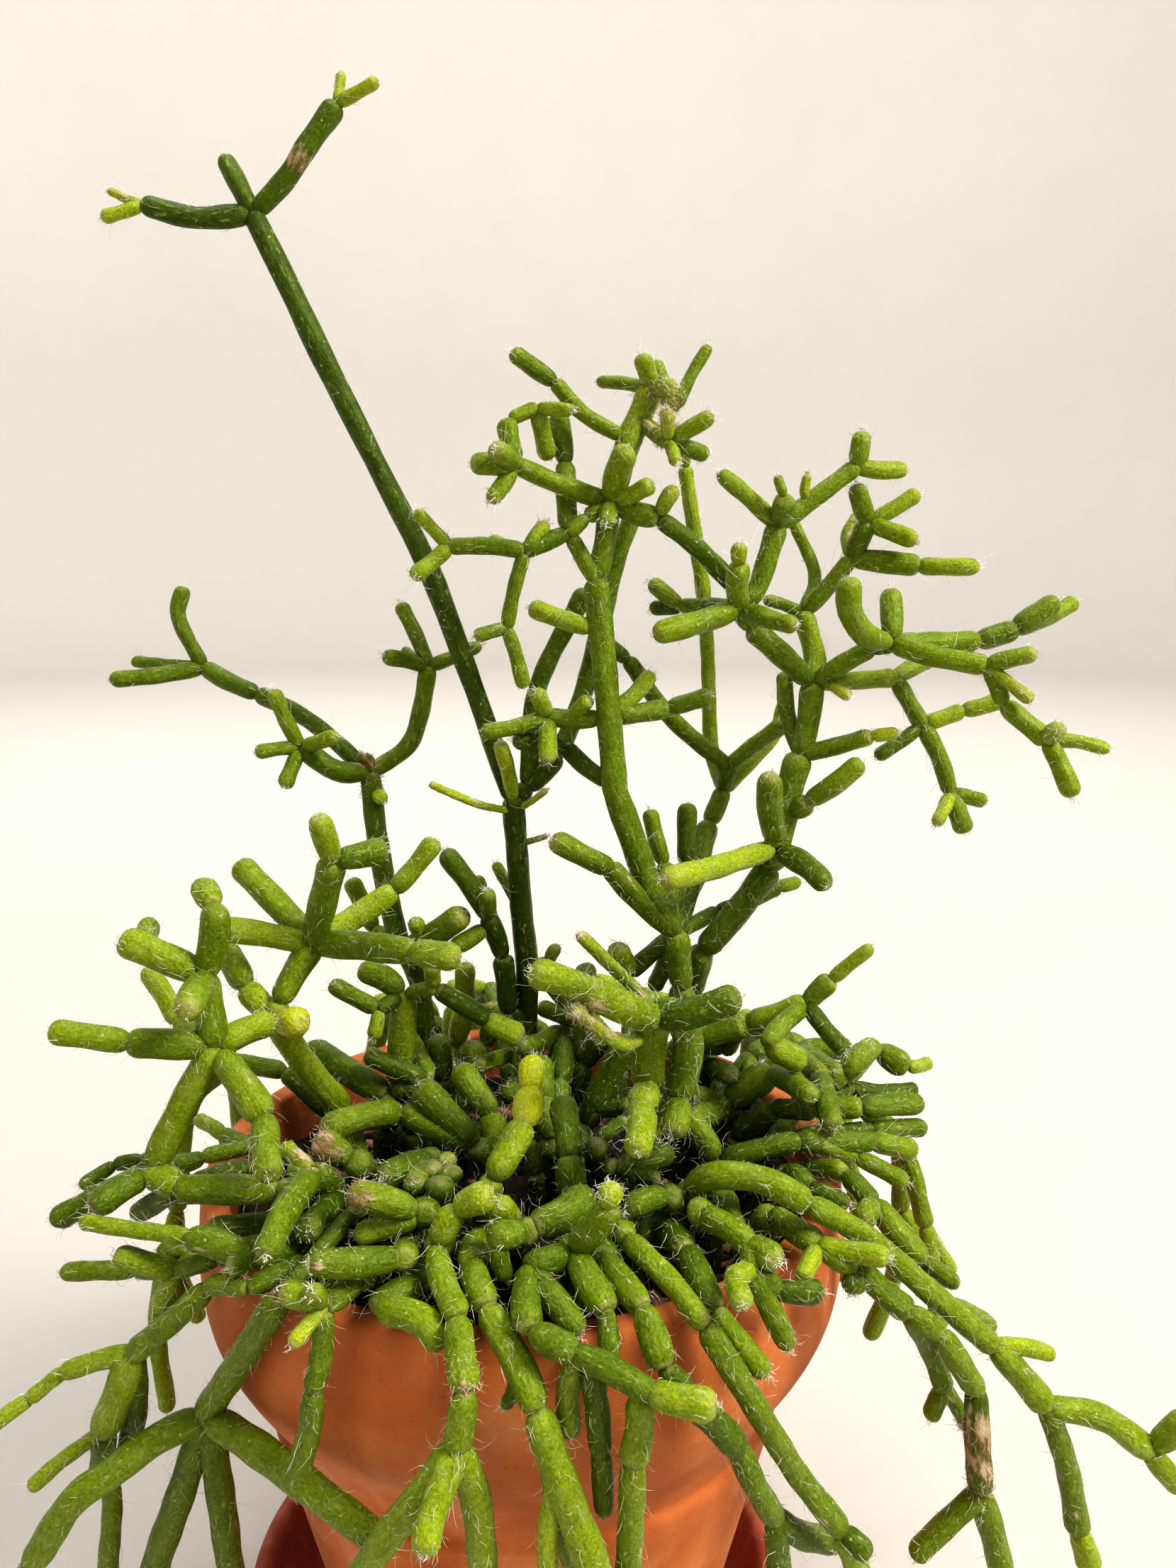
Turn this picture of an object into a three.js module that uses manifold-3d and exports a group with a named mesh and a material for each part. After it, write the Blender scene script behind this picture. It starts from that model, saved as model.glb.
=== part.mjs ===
// Mistletoe cactus in a terracotta pot that stands in a terracotta saucer.
// Millimetres, +Z up, +Y away from the viewer. The origin is on the table, under the centre of the pot.
import * as THREE from 'three';
import { mergeVertices } from 'three/addons/utils/BufferGeometryUtils.js';
import Module from 'manifold-3d';

const wasm = await Module();
wasm.setup();

// ---------------------------------------------------------------- driving dimensions

const GAP = 0.3; // clearance between pieces that touch

const SAUCER_SHIFT = -3; // the pot stands a little off the saucer's centre
const SAUCER_RIM_RADIUS = 56;
const SAUCER_RIM_WIDTH = 3.8;
const SAUCER_BASE_RADIUS = 44;
const SAUCER_HEIGHT = 23.6;
const SAUCER_FLOOR = 4;

const LIP_HEIGHT = 118;
const LIP_RADIUS = 62.8;
const COLLAR_RADIUS = 63.5; // the widest part of the rounded collar
const COLLAR_DEPTH = 46; // from the lip down to the groove under the collar
const GROOVE_RADIUS = 50.6;
const SHOULDER_RADIUS = 52;
const FOOT_RADIUS = 36.5;
const WALL = 5.4;
const POT_FLOOR = 6;
const DRAIN_RADIUS = 6;
const FOOT_HEIGHT = SAUCER_FLOOR + GAP;
const GROOVE_HEIGHT = LIP_HEIGHT - COLLAR_DEPTH;

const SOIL_HEIGHT = 108;
const SOIL_CROWN = 1.2; // the soil is a little higher in the middle
const COLLAR_STEP = 12; // the inside widens over this height above the groove
const ROOT_HEIGHT = 97; // stems reach this far down into the soil

const TURNED_SIDES = 28; // the pot and the soil in it share their facets
const SLIM = 6; // stems slimmer than this are four-sided, the others five-sided
const TWIG = 2.5; // free twigs slimmer than this are left out
const TIP_REACH = 0.7; // a stem's point reaches this share of its radius past the last joint
const NECK = 1.5; // a stem is full this many radii past the joint that it starts from
const NECK_LIMIT = 0.4; // but within this share of its first link
const SHARP_TURN = 0.3; // the cosine of the sharpest turn that one rod makes
const SOCKET_ABOVE = 6; // sockets in the soil are cut for joints up to this high above it

const EASE_ROUNDS = 90;
const EASE_GAP = 0.45; // clear space that two stems keep
const EASE_REACH = 14; // pairs of links further apart than this are left out
const EASE_ACROSS = 0.3; // a push across the line of sight is this weak against one along it
const EASE_SAMPLES = [0, 0.25, 0.5, 0.75, 1]; // where a link is tested against the pot's wall

const BACK_ROOT_RADIUS = 36; // the stems at the back stand in the soil on this circle

const OLD_GREEN = new THREE.Color(0x4f6032);
const YOUNG_GREEN = new THREE.Color(0xa3ab52);
const TERRACOTTA = 0xc98458;
const SAUCER_CLAY = 0xa9573a;
const SOIL_BROWN = 0x4a382b;

// ---------------------------------------------------------------- the stems' joints
//
// Every stem is a tree of links. A run is [thickness, freshness, joint, joint, ...]: freshness goes from
// 0, new growth, to 1, old. A joint [x, z, y] is given as it looks from EYE: x and z are where the line of
// sight crosses the pot's middle plane y = 0, and y is the joint's real depth. Thickness is given on that
// plane too. A fourth number marks a bend inside one link. A joint of two numbers, [x, y], is a real place
// in the soil. high(x, z, height) finds the depth at which the line of sight has that real height.

const EYE = new THREE.Vector3(12.7, -221.1, 232.4);

const BEND = 1;
const high = (x, z, height) => [x, z, -EYE.y * ((EYE.z - height) / (EYE.z - z) - 1)];
const highBend = (x, z, height) => [...high(x, z, height), BEND];

const STEMS = {
  tall_stem: [
    [4.2, 0.95, [1, 20], [1.5, 118, 16], [0.9, 142, 8, 1], [-1.6, 189, 0]],
    [3.6, 0.95, [-1.6, 189, 0], [-3.5, 194, 1, 1], [-15.9, 230, 3, 1], [-30.3, 260, 5, 1],
      [-46, 293.3, 7]],
    [3.8, 0.85, [-46, 293.3, 7], [-56.4, 292.7, 5, 1], [-65.2, 294.8, 3]],
    [2.2, 0.1, [-65.2, 294.8, 3], [-72, 292.8, 2]],
    [1.5, 0.1, [-65.2, 294.8, 3], [-70.7, 297, 5]], [3, 0.9, [-46, 293.3, 7], [-50.4, 302, 9]],
    [3.4, 0.8, [-46, 293.3, 7], [-39.8, 299.2, 6, 1], [-36, 304.3, 5, 1], [-30.7, 311, 5]],
    [2.3, 0.15, [-30.7, 311, 5], [-24, 314.5, 3]],
    [1.7, 0.1, [-30.7, 311, 5], [-29.7, 315.5, 7]],
    [1.4, 0.1, [-1.4, 186, 0], [-9, 188, -6, 1], [-17.2, 191.6, -10]],
    [1.2, 0.1, [-1.4, 186, 0], [4.6, 190.4, -4]], [1.2, 0.3, [-1.2, 179.5, 1], [4.6, 181.5, -3]],
    [2.6, 0.1, [-1.6, 189, 0], [-3.4, 199.5, -6]],
    [2.4, 0.35, [0.6, 155, 5], [5, 156, 1], [6.4, 159, -1]],
    [3.8, 0.85, [1, 138, 9], [-2.4, 146, 6], [-3.6, 157.2, 4], [-6.8, 165.4, 2]],
    [3.5, 0.8, [-6.8, 165.4, 2], [-14.6, 177.8, -1]],
    [3.2, 0.6, [-6.8, 165.4, 2], [-6.9, 170, -3]], [2.9, 0.5, [-3.6, 162, 5], [-9, 172.8, 8]],
    [2.3, 0.5, [-2.2, 167, 4], [-5, 175.6, 8]], [3.4, 0.5, [-6.4, 163.6, 2], [-13.5, 159.4, -1]],
    [3.7, 0.85, [-1.6, 189, 0], [1.2, 190.6, 3], [7, 197, 2]],
    [3.4, 0.6, [7, 197, 2], [12.6, 211.3, 6, 1], [17.5, 232, 8, 1], [21.5, 243, 8]],
    [3.4, 0.7, [1.2, 190.6, 3], [3.3, 210.3, 6, 1], [12, 227.5, 4]],
  ],
  left_stem: [
    [4, 0.75, [-17, 16], [-17.5, 124, 12], [-18.6, 141, 10, 1], [-20.6, 152, 9, 1],
      [-23.8, 160, 8, 1], [-27.8, 180, 8, 1], [-28.8, 193.8, 9]],
    [3.4, 0.9, [-28.8, 193.8, 9], [-29.8, 196.6, 9]],
    [3.2, 0.7, [-28.8, 193.8, 9], [-40, 203.9, 14, 1], [-49.5, 209, 17], [-59.3, 213.9, 19]],
    [2.6, 0.6, [-59.3, 213.9, 19], [-63.5, 223, 20, 1], [-62.5, 228.2, 21]],
    [2.8, 0.6, [-59.3, 213.9, 19], [-76.3, 211.7, 15]],
    [2.2, 0.5, [-59.3, 213.9, 19], [-72, 215, 25]],
    [3.6, 0.6, [-28.8, 193.8, 9], [-35.5, 194.4, 4, 1], [-41.9, 198.8, 1]],
    [2.8, 0.5, [-41.9, 198.8, 1], [-46.4, 209, -2]],
    [2.6, 0.5, [-41.9, 198.8, 1], [-49.8, 197.9, -2]],
    [2.6, 0.5, [-41.9, 198.8, 1], [-35.4, 200.8, -3]],
    [2.9, 0.5, [-41.9, 198.8, 1], [-45, 191.8, -4]],
    [3.1, 0.65, [-28.8, 193.8, 9], [-21.6, 198.9, 11, 1], [-19.1, 205, 12, 1], [-17.2, 214, 12]],
    [2.6, 0.6, [-17.2, 214, 12], [-21.9, 225.2, 14]],
    [2.9, 0.6, [-17.2, 214, 12], [-24.8, 215.9, 7]],
    [2, 0.5, [-17.2, 214, 12], [-21.5, 217, 18]], [2.7, 0.6, [-17.2, 214, 12], [-8, 217.9, 14]],
    [4.6, 0.5, [-23.6, 158, 8], [-19.5, 160.5, 3], [-12, 165.3, -1]],
    [3.1, 0.5, [-19.5, 160.5, 3], [-21, 164.2, 0]],
    [3.3, 0.5, [-23.8, 159.5, 8], [-29, 162.5, 12], [-33, 172.2, 15]],
    [2.6, 0.1, [-28.6, 191, 9], [-26.6, 188.6, 6]],
  ],
  middle_stem: [
    [5, 0.6, [30, 8], [30, 118, 4], [31.5, 140, 0], [31.3, 151, -4], [30, 162, -6]],
    [4.5, 0.6, [30, 162, -6], [25.2, 170, -8, 1], [21.5, 180, -9, 1], [18, 190, -9, 1],
      [16.1, 210, -8, 1], [14.2, 230, -6]],
    [3.9, 0.6, [14.2, 230, -6], [16.7, 244, -5]],
    [4.1, 0.45, [16.7, 244, -5], [19.4, 252.8, -13]],
    [3.2, 0.45, [16.7, 244, -5], [16.2, 240.6, -12]],
    [3.9, 0.45, [16.7, 244, -5], [25.5, 241.3, -9]],
    [3.2, 0.7, [25.5, 241.3, -9], [39.4, 229.4, -3]],
    [3, 0.4, [25.5, 241.3, -9], [28.3, 246.2, -10]],
    [2.9, 0.4, [16.7, 244, -5], [23.8, 247, -12]],
    [3, 0.45, [16.7, 244, -5], [12.6, 241.5, -8], [9.2, 238.7, -8]],
    [4.3, 0.5, [16.7, 244, -5], [21, 257, -3, 1], [24.1, 264, -2]],
    [3.4, 0.4, [24.1, 264, -2], [22.5, 269, -5]], [3.4, 0.4, [24.1, 264, -2], [27.6, 264, -7]],
    [2.3, 0.45, [24.1, 264, -2], [28.6, 260.6, 5]], [2.3, 0.6, [28.6, 260.6, 5], [34, 270.8, 8]],
    [2.3, 0.5, [28.6, 260.6, 5], [25.1, 268.2, 9]], [2.3, 0.5, [24.1, 264, -2], [15, 265.2, 3]],
    [2.9, 0.75, [20.2, 255.3, -3], [6.7, 265.1, -8], [-0.4, 269.9, -11]],
    [3, 0.4, [22, 258, -3], [27.3, 254.6, -8], [34.5, 259, -10]],
    [2.3, 0.05, [27.3, 254.6, -8], [26.8, 260, -12]],
    [2.3, 0.05, [27.3, 254.6, -8], [28.6, 251.3, -13]],
    [2.9, 0.7, [27.3, 254.6, -8], [33.8, 252.6, -5]],
    [3.6, 0.5, [16.7, 244, -5], [6, 247.8, -10, 1], [-0.4, 250.7, -13]],
    [3.9, 0.6, [-0.4, 250.7, -13], [-7.6, 250.9, -15]],
    [3.6, 0.5, [-0.4, 250.7, -13], [-3.9, 253.4, -20]],
    [3, 0.4, [-0.4, 250.7, -13], [-4.8, 244.8, -16]],
    [3.8, 0.4, [-0.4, 250.7, -13], [-2, 258.4, -11]],
    [2.6, 0.4, [-2, 258.4, -11], [3.4, 260.7, -9]],
    [3.4, 0.4, [3.4, 260.7, -9], [5.8, 252.4, -4]],
    [2.4, 0.35, [3.4, 260.7, -9], [9.3, 260.3, -12]],
    [3.5, 0.55, [9.2, 238.7, -8], [8.2, 251, -3], [7.4, 259, -2]],
    [3, 0.5, [9.2, 238.7, -8], [14.2, 230, -6]],
    [3.1, 0.65, [9.2, 238.7, -8], [1, 235.4, -11], [-12.8, 236.2, -12]],
    [2.5, 0.45, [-12.8, 236.2, -12], [-18.4, 242, -11]],
    [3, 0.4, [-12.8, 236.2, -12], [-19.2, 231, -14]],
    [2.7, 0.6, [1, 235.4, -11], [-2.4, 221.4, -9]],
    [2.5, 0.5, [-2.4, 221.4, -9], [-7.8, 219.8, -12]],
    [2.7, 0.5, [-2.4, 221.4, -9], [0.5, 210.8, -7]],
    [2.5, 0.25, [1, 235.4, -11], [4.7, 240, -9]],
    [1.8, 0.25, [1, 235.4, -11], [-4.8, 237.6, -8]],
    [3.5, 0.5, [16.6, 204.4, -7], [5.2, 204.2, -4]],
    [3.4, 0.6, [16.6, 204.4, -7], [27.7, 206.2, -3], [34.9, 208.4, -4]],
    [3.3, 0.5, [16.6, 204.4, -7], [24.2, 212.2, -3]],
    [3, 0.5, [5.2, 204.2, -4], [-6.6, 201, -8]], [3, 0.35, [5.2, 204.2, -4], [3.2, 209, -8]],
    [3.4, 0.4, [5.2, 204.2, -4], [5, 196.5, -9]],
    [2.8, 0.4, [9.5, 204.3, -5], [12.6, 207.6, -9]],
    [3.4, 0.8, [17.9, 191, -9], [8.5, 199, -5], [-1, 200.5, -6]],
    [3.5, 0.4, [14.8, 220.6, -7], [2.7, 224.8, -6]],
    [4.2, 0.6, [30, 162, -6], [17, 175.2, -14], [6.7, 180.4, -19]],
    [3.2, 0.55, [30, 162, -6], [27.4, 176, -1], [24.6, 185.8, 0]],
    [3.4, 0.6, [30, 162, -6], [31.6, 176, 2], [31.8, 187, 4]],
    [3.3, 0.7, [30, 162, -6], [21, 154, -1]], [4.6, 0.5, [21, 154, -1], [18.6, 158.4, -6]],
    [3.5, 0.75, [30, 162, -6], [26, 151.5, 1]],
    [3, 0.8, [30, 162, -6], [38, 166, 4], [49.7, 171.4, 8]],
    [2.5, 0.4, [49.7, 171.4, 8], [53.2, 172.3, 9]],
    [3.9, 0.7, [30, 162, -6], [34, 175, 6], [36, 184, 13]],
    [3.5, 0.6, [36, 184, 13], [38.5, 190.5, 16]],
    [2.6, 0.4, [38.5, 190.5, 16], [36, 200, 20, 1], [34.4, 225, 23, 1], [30.3, 250.3, 20],
      [28.9, 257, 16]],
    [3.1, 0.75, [38.5, 190.5, 16], [39.3, 195, 14]],
    [3, 0.75, [39.3, 195, 14], [28, 204.8, 10, 1], [20.1, 215.4, 6], [14.8, 219.5, 4]],
    [2.8, 0.6, [39.3, 195, 14], [49.3, 203, 12]],
    [2.8, 0.4, [38.5, 190.5, 16], [47.7, 201, 20, 1], [49.7, 207, 22]],
  ],
  right_stem: [
    [5, 0.55, [40, 16], [35, 135, 12], [33, 150, 10], [34.6, 158.5, -1], [48.3, 175, 0],
      [50.5, 187, 1, 1], [53, 197.3, 2]],
    [4.8, 0.5, [44.2, 179.5, -5], [47.4, 192.6, -8]],
    [4, 0.5, [50, 185.5, 1], [54.8, 188.3, -2], [64, 195.4, -5]],
    [4.1, 0.6, [53, 197.3, 2], [54.9, 211, 3]],
    [2.9, 0.6, [53, 197.3, 2], [50.4, 205, 6, 1], [49.6, 212.3, 8]],
    [3.3, 0.5, [53, 197.3, 2], [66.4, 200.9, -4]],
    [2.4, 0.1, [66.4, 200.9, -4], [70.8, 201.5, -5]],
    [3.7, 0.6, [54.9, 211, 3], [43.2, 221.2, -4], [41, 225, -6]],
    [3.9, 0.4, [41, 225, -6], [26, 220.3, -12]],
    [2.8, 0.5, [41, 225, -6], [34.5, 225.6, 0], [30, 225.3, 3], [24.8, 229.4, 3]],
    [2.6, 0.8, [30, 225.3, 3], [25, 225, 7]], [4, 0.4, [41, 225, -6], [40.6, 232.9, -11]],
    [3, 0.3, [40.6, 232.9, -11], [40.5, 236, -12]],
    [3.5, 0.5, [41, 225, -6], [50.7, 221.9, -12]],
    [3.4, 0.5, [41, 225, -6], [44.3, 229, -4, 1], [47.5, 240, -2]],
    [3, 0.5, [47.5, 240, -2], [37.2, 248.9, -4]], [3.9, 0.5, [47.5, 240, -2], [48.8, 244.6, -7]],
    [1.7, 0.4, [48.8, 244.6, -7], [47.3, 248.4, -6]],
    [3.2, 0.45, [47.5, 240, -2], [61.6, 250.2, 1]],
    [1.8, 0.1, [51.8, 244, -1], [52.6, 248.6, -2]],
    [3.7, 0.4, [61.6, 250.2, 1], [62.2, 255.6, 0]],
    [3.3, 0.4, [61.6, 250.2, 1], [69.7, 249.8, 4]],
    [4, 0.3, [54.9, 211, 3], [55.2, 216, 6, 1], [52.7, 224, 8]],
    [2.2, 0.3, [52.7, 224, 8], [54.6, 231, 12, 1], [50.4, 240.5, 14]],
    [2.3, 0.5, [52.7, 224, 8], [46, 226.4, 5]], [3.1, 0.5, [52.7, 224, 8], [61.2, 234, 6]],
    [3.6, 0.55, [61.2, 234, 6], [64, 240.4, 4]], [3.4, 0.45, [64, 240.4, 4], [61.8, 246.6, 2]],
    [2.8, 0.3, [64, 240.4, 4], [72.4, 245.4, 5]], [3.1, 0.3, [64, 240.4, 4], [72.4, 237.4, 0]],
    [3.6, 0.45, [61.2, 234, 6], [73.7, 232.7, 3]], [3.1, 0.25, [73.7, 232.7, 3], [84, 232.4, 2]],
    [2.1, 0.3, [61.2, 234, 6], [60.2, 238, 10, 1], [62, 241.5, 12]],
    [3.5, 0.7, [54.9, 211, 3], [65.8, 217.6, 0], [69.6, 218.2, -4]],
    [4.2, 0.35, [69.6, 218.2, -4], [64.5, 220, -7, 1], [61.4, 224.3, -9, 1], [60.9, 229.4, -10]],
    [3.9, 0.4, [69.6, 218.2, -4], [77.5, 216, -8, 1], [87.5, 214.2, -11]],
    [3.8, 0.45, [69.6, 218.2, -4], [68.8, 227.4, 0]],
    [3.7, 0.45, [69.6, 218.2, -4], [85.4, 218.8, 3]],
    [4, 0.5, [85.4, 218.8, 3], [92.3, 221, 4], [99, 225.8, 4]],
    [2.9, 0.35, [92.3, 221, 4], [102.6, 225.8, 9]],
    [3.4, 0.4, [87.5, 214.2, -11], [95.7, 216.4, -14]],
    [3, 0.45, [87.5, 214.2, -11], [91, 207, -12]],
    [2.3, 0.1, [87.5, 214.2, -11], [95.9, 208, -16]],
    [3.7, 0.4, [91, 207, -12], [99.8, 200.2, -14]],
    [3.6, 0.35, [99.8, 200.2, -14], [101.5, 202, -19]],
    [2.6, 0.2, [99.8, 200.2, -14], [111, 198.5, -14]],
    [3.5, 0.35, [99.8, 200.2, -14], [105.2, 190.2, -17]],
    [3.2, 0.4, [54.9, 211, 3], [70.3, 212, 7]], [2, 0.1, [58, 211.2, 3], [61.6, 208.6, -3]],
    [2.9, 0.4, [70.3, 212, 7], [76.5, 215.4, 12]], [3.2, 0.45, [70.3, 212, 7], [76, 203, 5]],
    [2.5, 0.6, [76, 203, 5], [68, 197.2, 3]],
    [3, 0.2, [76, 203, 5], [83.4, 205.8, 6], [90.2, 207.8, 5]],
    [3.3, 0.45, [76, 203, 5], [82, 190, 3]], [2.8, 0.4, [82, 190, 3], [88.2, 188.5, 3]],
    [3.2, 0.35, [82, 190, 3], [85, 183, 0]], [2.6, 0.2, [82, 190, 3], [79.8, 184.3, -2]],
    [4, 0.7, [35, 167.5, -13], [44.2, 179.5, -5]],
    [3.6, 0.5, [44.2, 179.5, -5], [48.5, 181, -2]],
    [4.5, 0.3, [44.2, 179.5, -5], [28.3, 173, -22]],
    [4.3, 0.5, [44.2, 179.5, -5], [58.4, 172.4, -16]],
  ],
  young_left_stem: [
    [5, 0.2, [-33, -6], high(-33.5, 112, 122), [-36, 124.5, -6], [-49.6, 144.6, -18]],
    [4.9, 0.2, [-49.6, 144.6, -18], [-48.4, 147.8, -18], [-41.1, 160, -14]],
    [5.1, 0.35, [-41.1, 160, -14], [-36.7, 176.6, -24]],
    [4.9, 0.25, [-36.7, 176.6, -24], [-38.8, 184.4, -28]],
    [4.5, 0.35, [-36.7, 176.6, -24], [-27.2, 178.8, -22]],
    [4.9, 0.3, [-41.1, 160, -14], [-54.2, 175.2, -8]],
    [4.8, 0.15, [-41.1, 160, -14], [-58.5, 162.8, -20]],
    [4.5, 0.1, [-41.1, 160, -14], [-25, 170.6, -8]],
    [3.8, 0.3, [-25, 170.6, -8], [-17.2, 179.9, -6]],
    [5.2, 0.3, [-41.1, 160, -14], [-21.5, 158.2, -28], [-14, 157.2, -33]],
    [5.4, 0, [-49.6, 144.6, -18], [-45, 143.8, -23]],
    [4.8, 0.1, [-49.6, 144.6, -18], [-54.8, 151, -16]],
    [4.8, 0.3, [-54.8, 151, -16], [-58.2, 158.4, -12]],
  ],
  old_left_stem: [
    [5.6, 0.3, [-38, -22], high(-46, 99, 120), high(-53.4, 102.3, 126), high(-70.5, 107.8, 128),
      [-76.3, 111.5, -32], [-61.6, 138.4, -32]],
    [5.8, 0.35, [-61.6, 138.4, -32], [-52.6, 123.6, -37], [-52.2, 111.6, -48]],
    [5.8, 0.4, [-61.6, 138.4, -32], [-62.8, 153.3, -30]],
    [5.8, 0.4, [-62.8, 153.3, -30], [-59.8, 167.2, -32]],
    [4.6, 0.3, [-59.8, 167.2, -32], [-62, 171.4, -26]],
    [5.8, 0.35, [-62.8, 153.3, -30], [-66.4, 146.6, -44]],
    [5.2, 0.4, [-62.8, 153.3, -30], [-77.6, 160.4, -32]],
    [4.2, 0.35, [-74, 158.5, -31], [-73, 163.5, -24]],
    [5.4, 0.4, [-61.6, 138.4, -32], [-78.7, 139.4, -36]],
    [4.8, 0.35, [-78.7, 139.4, -36], [-93, 141.7, -38]],
    [5.2, 0.15, [-61.6, 138.4, -32], [-50.6, 143.6, -24]],
    [3.9, 0.15, [-61.6, 138.4, -32], [-68.3, 143.5, -22], [-73.8, 154, -18]],
    [5.5, 0.6, [-76.3, 111.5, -32], [-88, 103.8, -40]],
    [4.8, 0.6, [-76.3, 111.5, -32], [-95.7, 101.3, -33]],
    [4.2, 0.6, high(-70.5, 107.8, 128), [-79.4, 102.5, -30]],
    [3, 0.6, high(-70.5, 107.8, 128), [-77.5, 114.3, -24], [-83.3, 113.2, -24], [-90, 108.8, -28]],
  ],
  pale_forked_stem: [
    [5, 0.3, [-24, 4], [-22.6, 120, -2], [-22.2, 131.5, -3], [-22.3, 149.4, -4]],
    [4.7, 0.6, [-22.3, 149.4, -4], [-31.2, 154.3, -2]],
    [3, 0.3, [-22.3, 149.4, -4], [-17.6, 151, -7]],
    [3.1, 0.3, [-17.6, 151, -7], [-18, 155.2, -9]],
    [3.8, 0.8, [-17.6, 151, -7], [-7.5, 144.2, -3]],
    [4.4, 0.45, [-7.5, 144.2, -3], [-1.4, 140.8, -4]],
    [3, 0.75, [-22.3, 149.4, -4], [-28.7, 146.3, -8]],
    [3.3, 0.6, [-28.7, 146.3, -8], [-37.4, 151.2, -6]],
    [2.8, 0.4, [-28.7, 146.3, -8], [-29.8, 141, -10]],
  ],
  mound_stem_a: [
    [4.9, 0.55, [-30, 12], high(-27, 121, 124), high(-26.8, 127.9, 131), high(-42, 138, 137)],
    [3.7, 0.7, high(-26.8, 127.9, 131), high(-21.3, 131, 133), high(-29.6, 137.8, 138)],
    [3.2, 0.3, high(-21.3, 131, 133), high(-26.6, 143, 139)],
  ],
  mound_stem_b: [
    [4.9, 0.6, [-12, 18], high(-15, 124, 122), high(-16.4, 131.4, 130), high(-18.8, 139, 138)],
    [3.7, 0.2, high(-16.4, 131.4, 130), [-13.5, 138, 14], [-13.6, 146.5, 18]],
    [3.9, 0.05, [-13.5, 138, 14], [-11.4, 147, 12], [-11.4, 154.8, 10]],
    [4.9, 0.4, high(-15, 124, 122), high(-12, 130, 126), high(-11.4, 138.6, 134)],
    [3.4, 0.4, high(-12, 130, 126), high(-7.6, 138.5, 132), [-6, 146.8, 16]],
  ],
  mound_stem_c: [
    [5.6, 0.45, [-8, -4], high(-7, 111, 119), high(-10, 117.5, 126), high(-20.4, 129.4, 134)],
    [5, 0.4, high(-7, 111, 119), high(-6.4, 124, 129), high(-12.4, 133.4, 136)],
    [5, 0.4, high(-10, 117.5, 126), high(-24.6, 125.2, 130), high(-39.6, 121, 131)],
  ],
  ball_tipped_stem: [
    [6, 0.25, [-8, -22], high(-9, 101, 122), high(-7, 109.5, 130), high(-0.2, 121.8, 137)],
    [5.6, 0.1, high(-0.2, 121.8, 137), high(1.3, 129, 140)],
    [4.9, 0, high(1.3, 129, 140), high(1.6, 136, 143)],
  ],
  mound_stem_d: [
    [5.6, 0.5, [7, -16], high(9, 104, 124), high(8.8, 114.6, 131), high(7.6, 126, 135)],
  ],
  mound_stem_e: [
    [4.7, 0.7, [10, 10], high(11, 113, 118), high(11.8, 121, 122), high(20.4, 139.4, 140)],
    [3.4, 0.8, high(11, 113, 118), high(9.6, 126, 124), high(10.6, 135, 132),
      high(15.4, 139.6, 138)],
    [2.9, 0.5, high(11.8, 121, 122), high(15.2, 124.6, 126), high(20.8, 126, 130)],
    [3.8, 0.7, high(10.6, 135, 132), high(10, 143, 138), high(5, 152.4, 146)],
    [3.6, 0.7, high(10, 143, 138), high(15.8, 140.4, 136)],
    [3.8, 0.7, high(10, 143, 138), high(12.4, 154.6, 146)],
    [3, 0.7, high(10, 143, 138), high(3.2, 146.4, 142)],
  ],
  front_hand_stem: [
    [6.2, 0.3, [22, -18], high(23, 104, 120), high(25, 118, 128), [25, 130, -26],
      [26.5, 144.7, -30]],
    [5.9, 0.3, [26.5, 144.7, -30], [12, 150.4, -42], [3, 153.7, -47]],
    [5.8, 0.6, [26.5, 144.7, -30], [41.2, 148.6, -36]],
    [5.4, 0.15, [25, 130, -26], [23.2, 126.5, -34], [22.7, 116.8, -46]],
    [5.6, 0.3, [26.5, 144.7, -30], [31.6, 140, -27, 1], [31, 128, -26], [30, 121, -32]],
    [2.2, 0.3, [26, 146, -28], [22.8, 149.6, -31, 1], [11.2, 161.6, -36]],
    [2.5, 0.05, [25.5, 141, -30], [19, 139.2, -36, 1], [10.2, 146.6, -44]],
  ],
  right_fan_stem: [
    [4.8, 0.3, [34, 14], high(33.5, 128, 124), high(34.8, 139.6, 136), high(44.6, 143.6, 143)],
    [4.5, 0.4, high(44.6, 143.6, 143), high(55.8, 147.6, 148)],
    [3.9, 0.55, high(55.8, 147.6, 148), high(60.7, 152.5, 153)],
    [2.7, 0.2, high(60.7, 152.5, 153), high(67.8, 158.9, 160)],
    [3.3, 0.7, high(55.8, 147.6, 148), high(63.5, 138, 143)],
    [3.8, 0.5, high(55.8, 147.6, 148), high(48.3, 139, 144)],
    [5.2, 0.3, high(48.3, 139, 144), high(54.4, 134.6, 138)],
    [4.1, 0.5, high(48, 137.5, 136), high(40.2, 137.7, 133), high(34.8, 139.6, 136)],
  ],
  right_bundle_stem_a: [
    [4, 0.5, [44, 16], high(46, 131, 126), high(54.2, 137.7, 134), high(59.7, 131, 133),
      high(60.7, 121.8, 132)],
    [4.8, 0.5, high(54.2, 137.7, 134), high(62.4, 131, 133), high(68, 137.7, 138)],
    [4.7, 0.45, high(62.4, 131, 133), high(69.4, 138.8, 134), high(76.4, 133.5, 130)],
    [2.5, 0.2, high(76.4, 133.5, 130), high(80.5, 135, 129)],
    [4, 0.5, high(54.2, 137.7, 134), high(64, 138, 132)],
  ],
  right_bundle_stem_b: [
    [4, 0.6, [38, 6], high(39, 121, 119), high(35, 134.8, 131), high(41.4, 132.4, 133)],
    [6.4, 0.45, high(39, 121, 119), high(41, 126, 126), high(49.2, 133.8, 134)],
    [4.6, 0.5, high(41, 126, 126), high(34.4, 123, 128)],
    [3.8, 0.5, high(41, 126, 126), high(34.4, 128, 130)],
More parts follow.
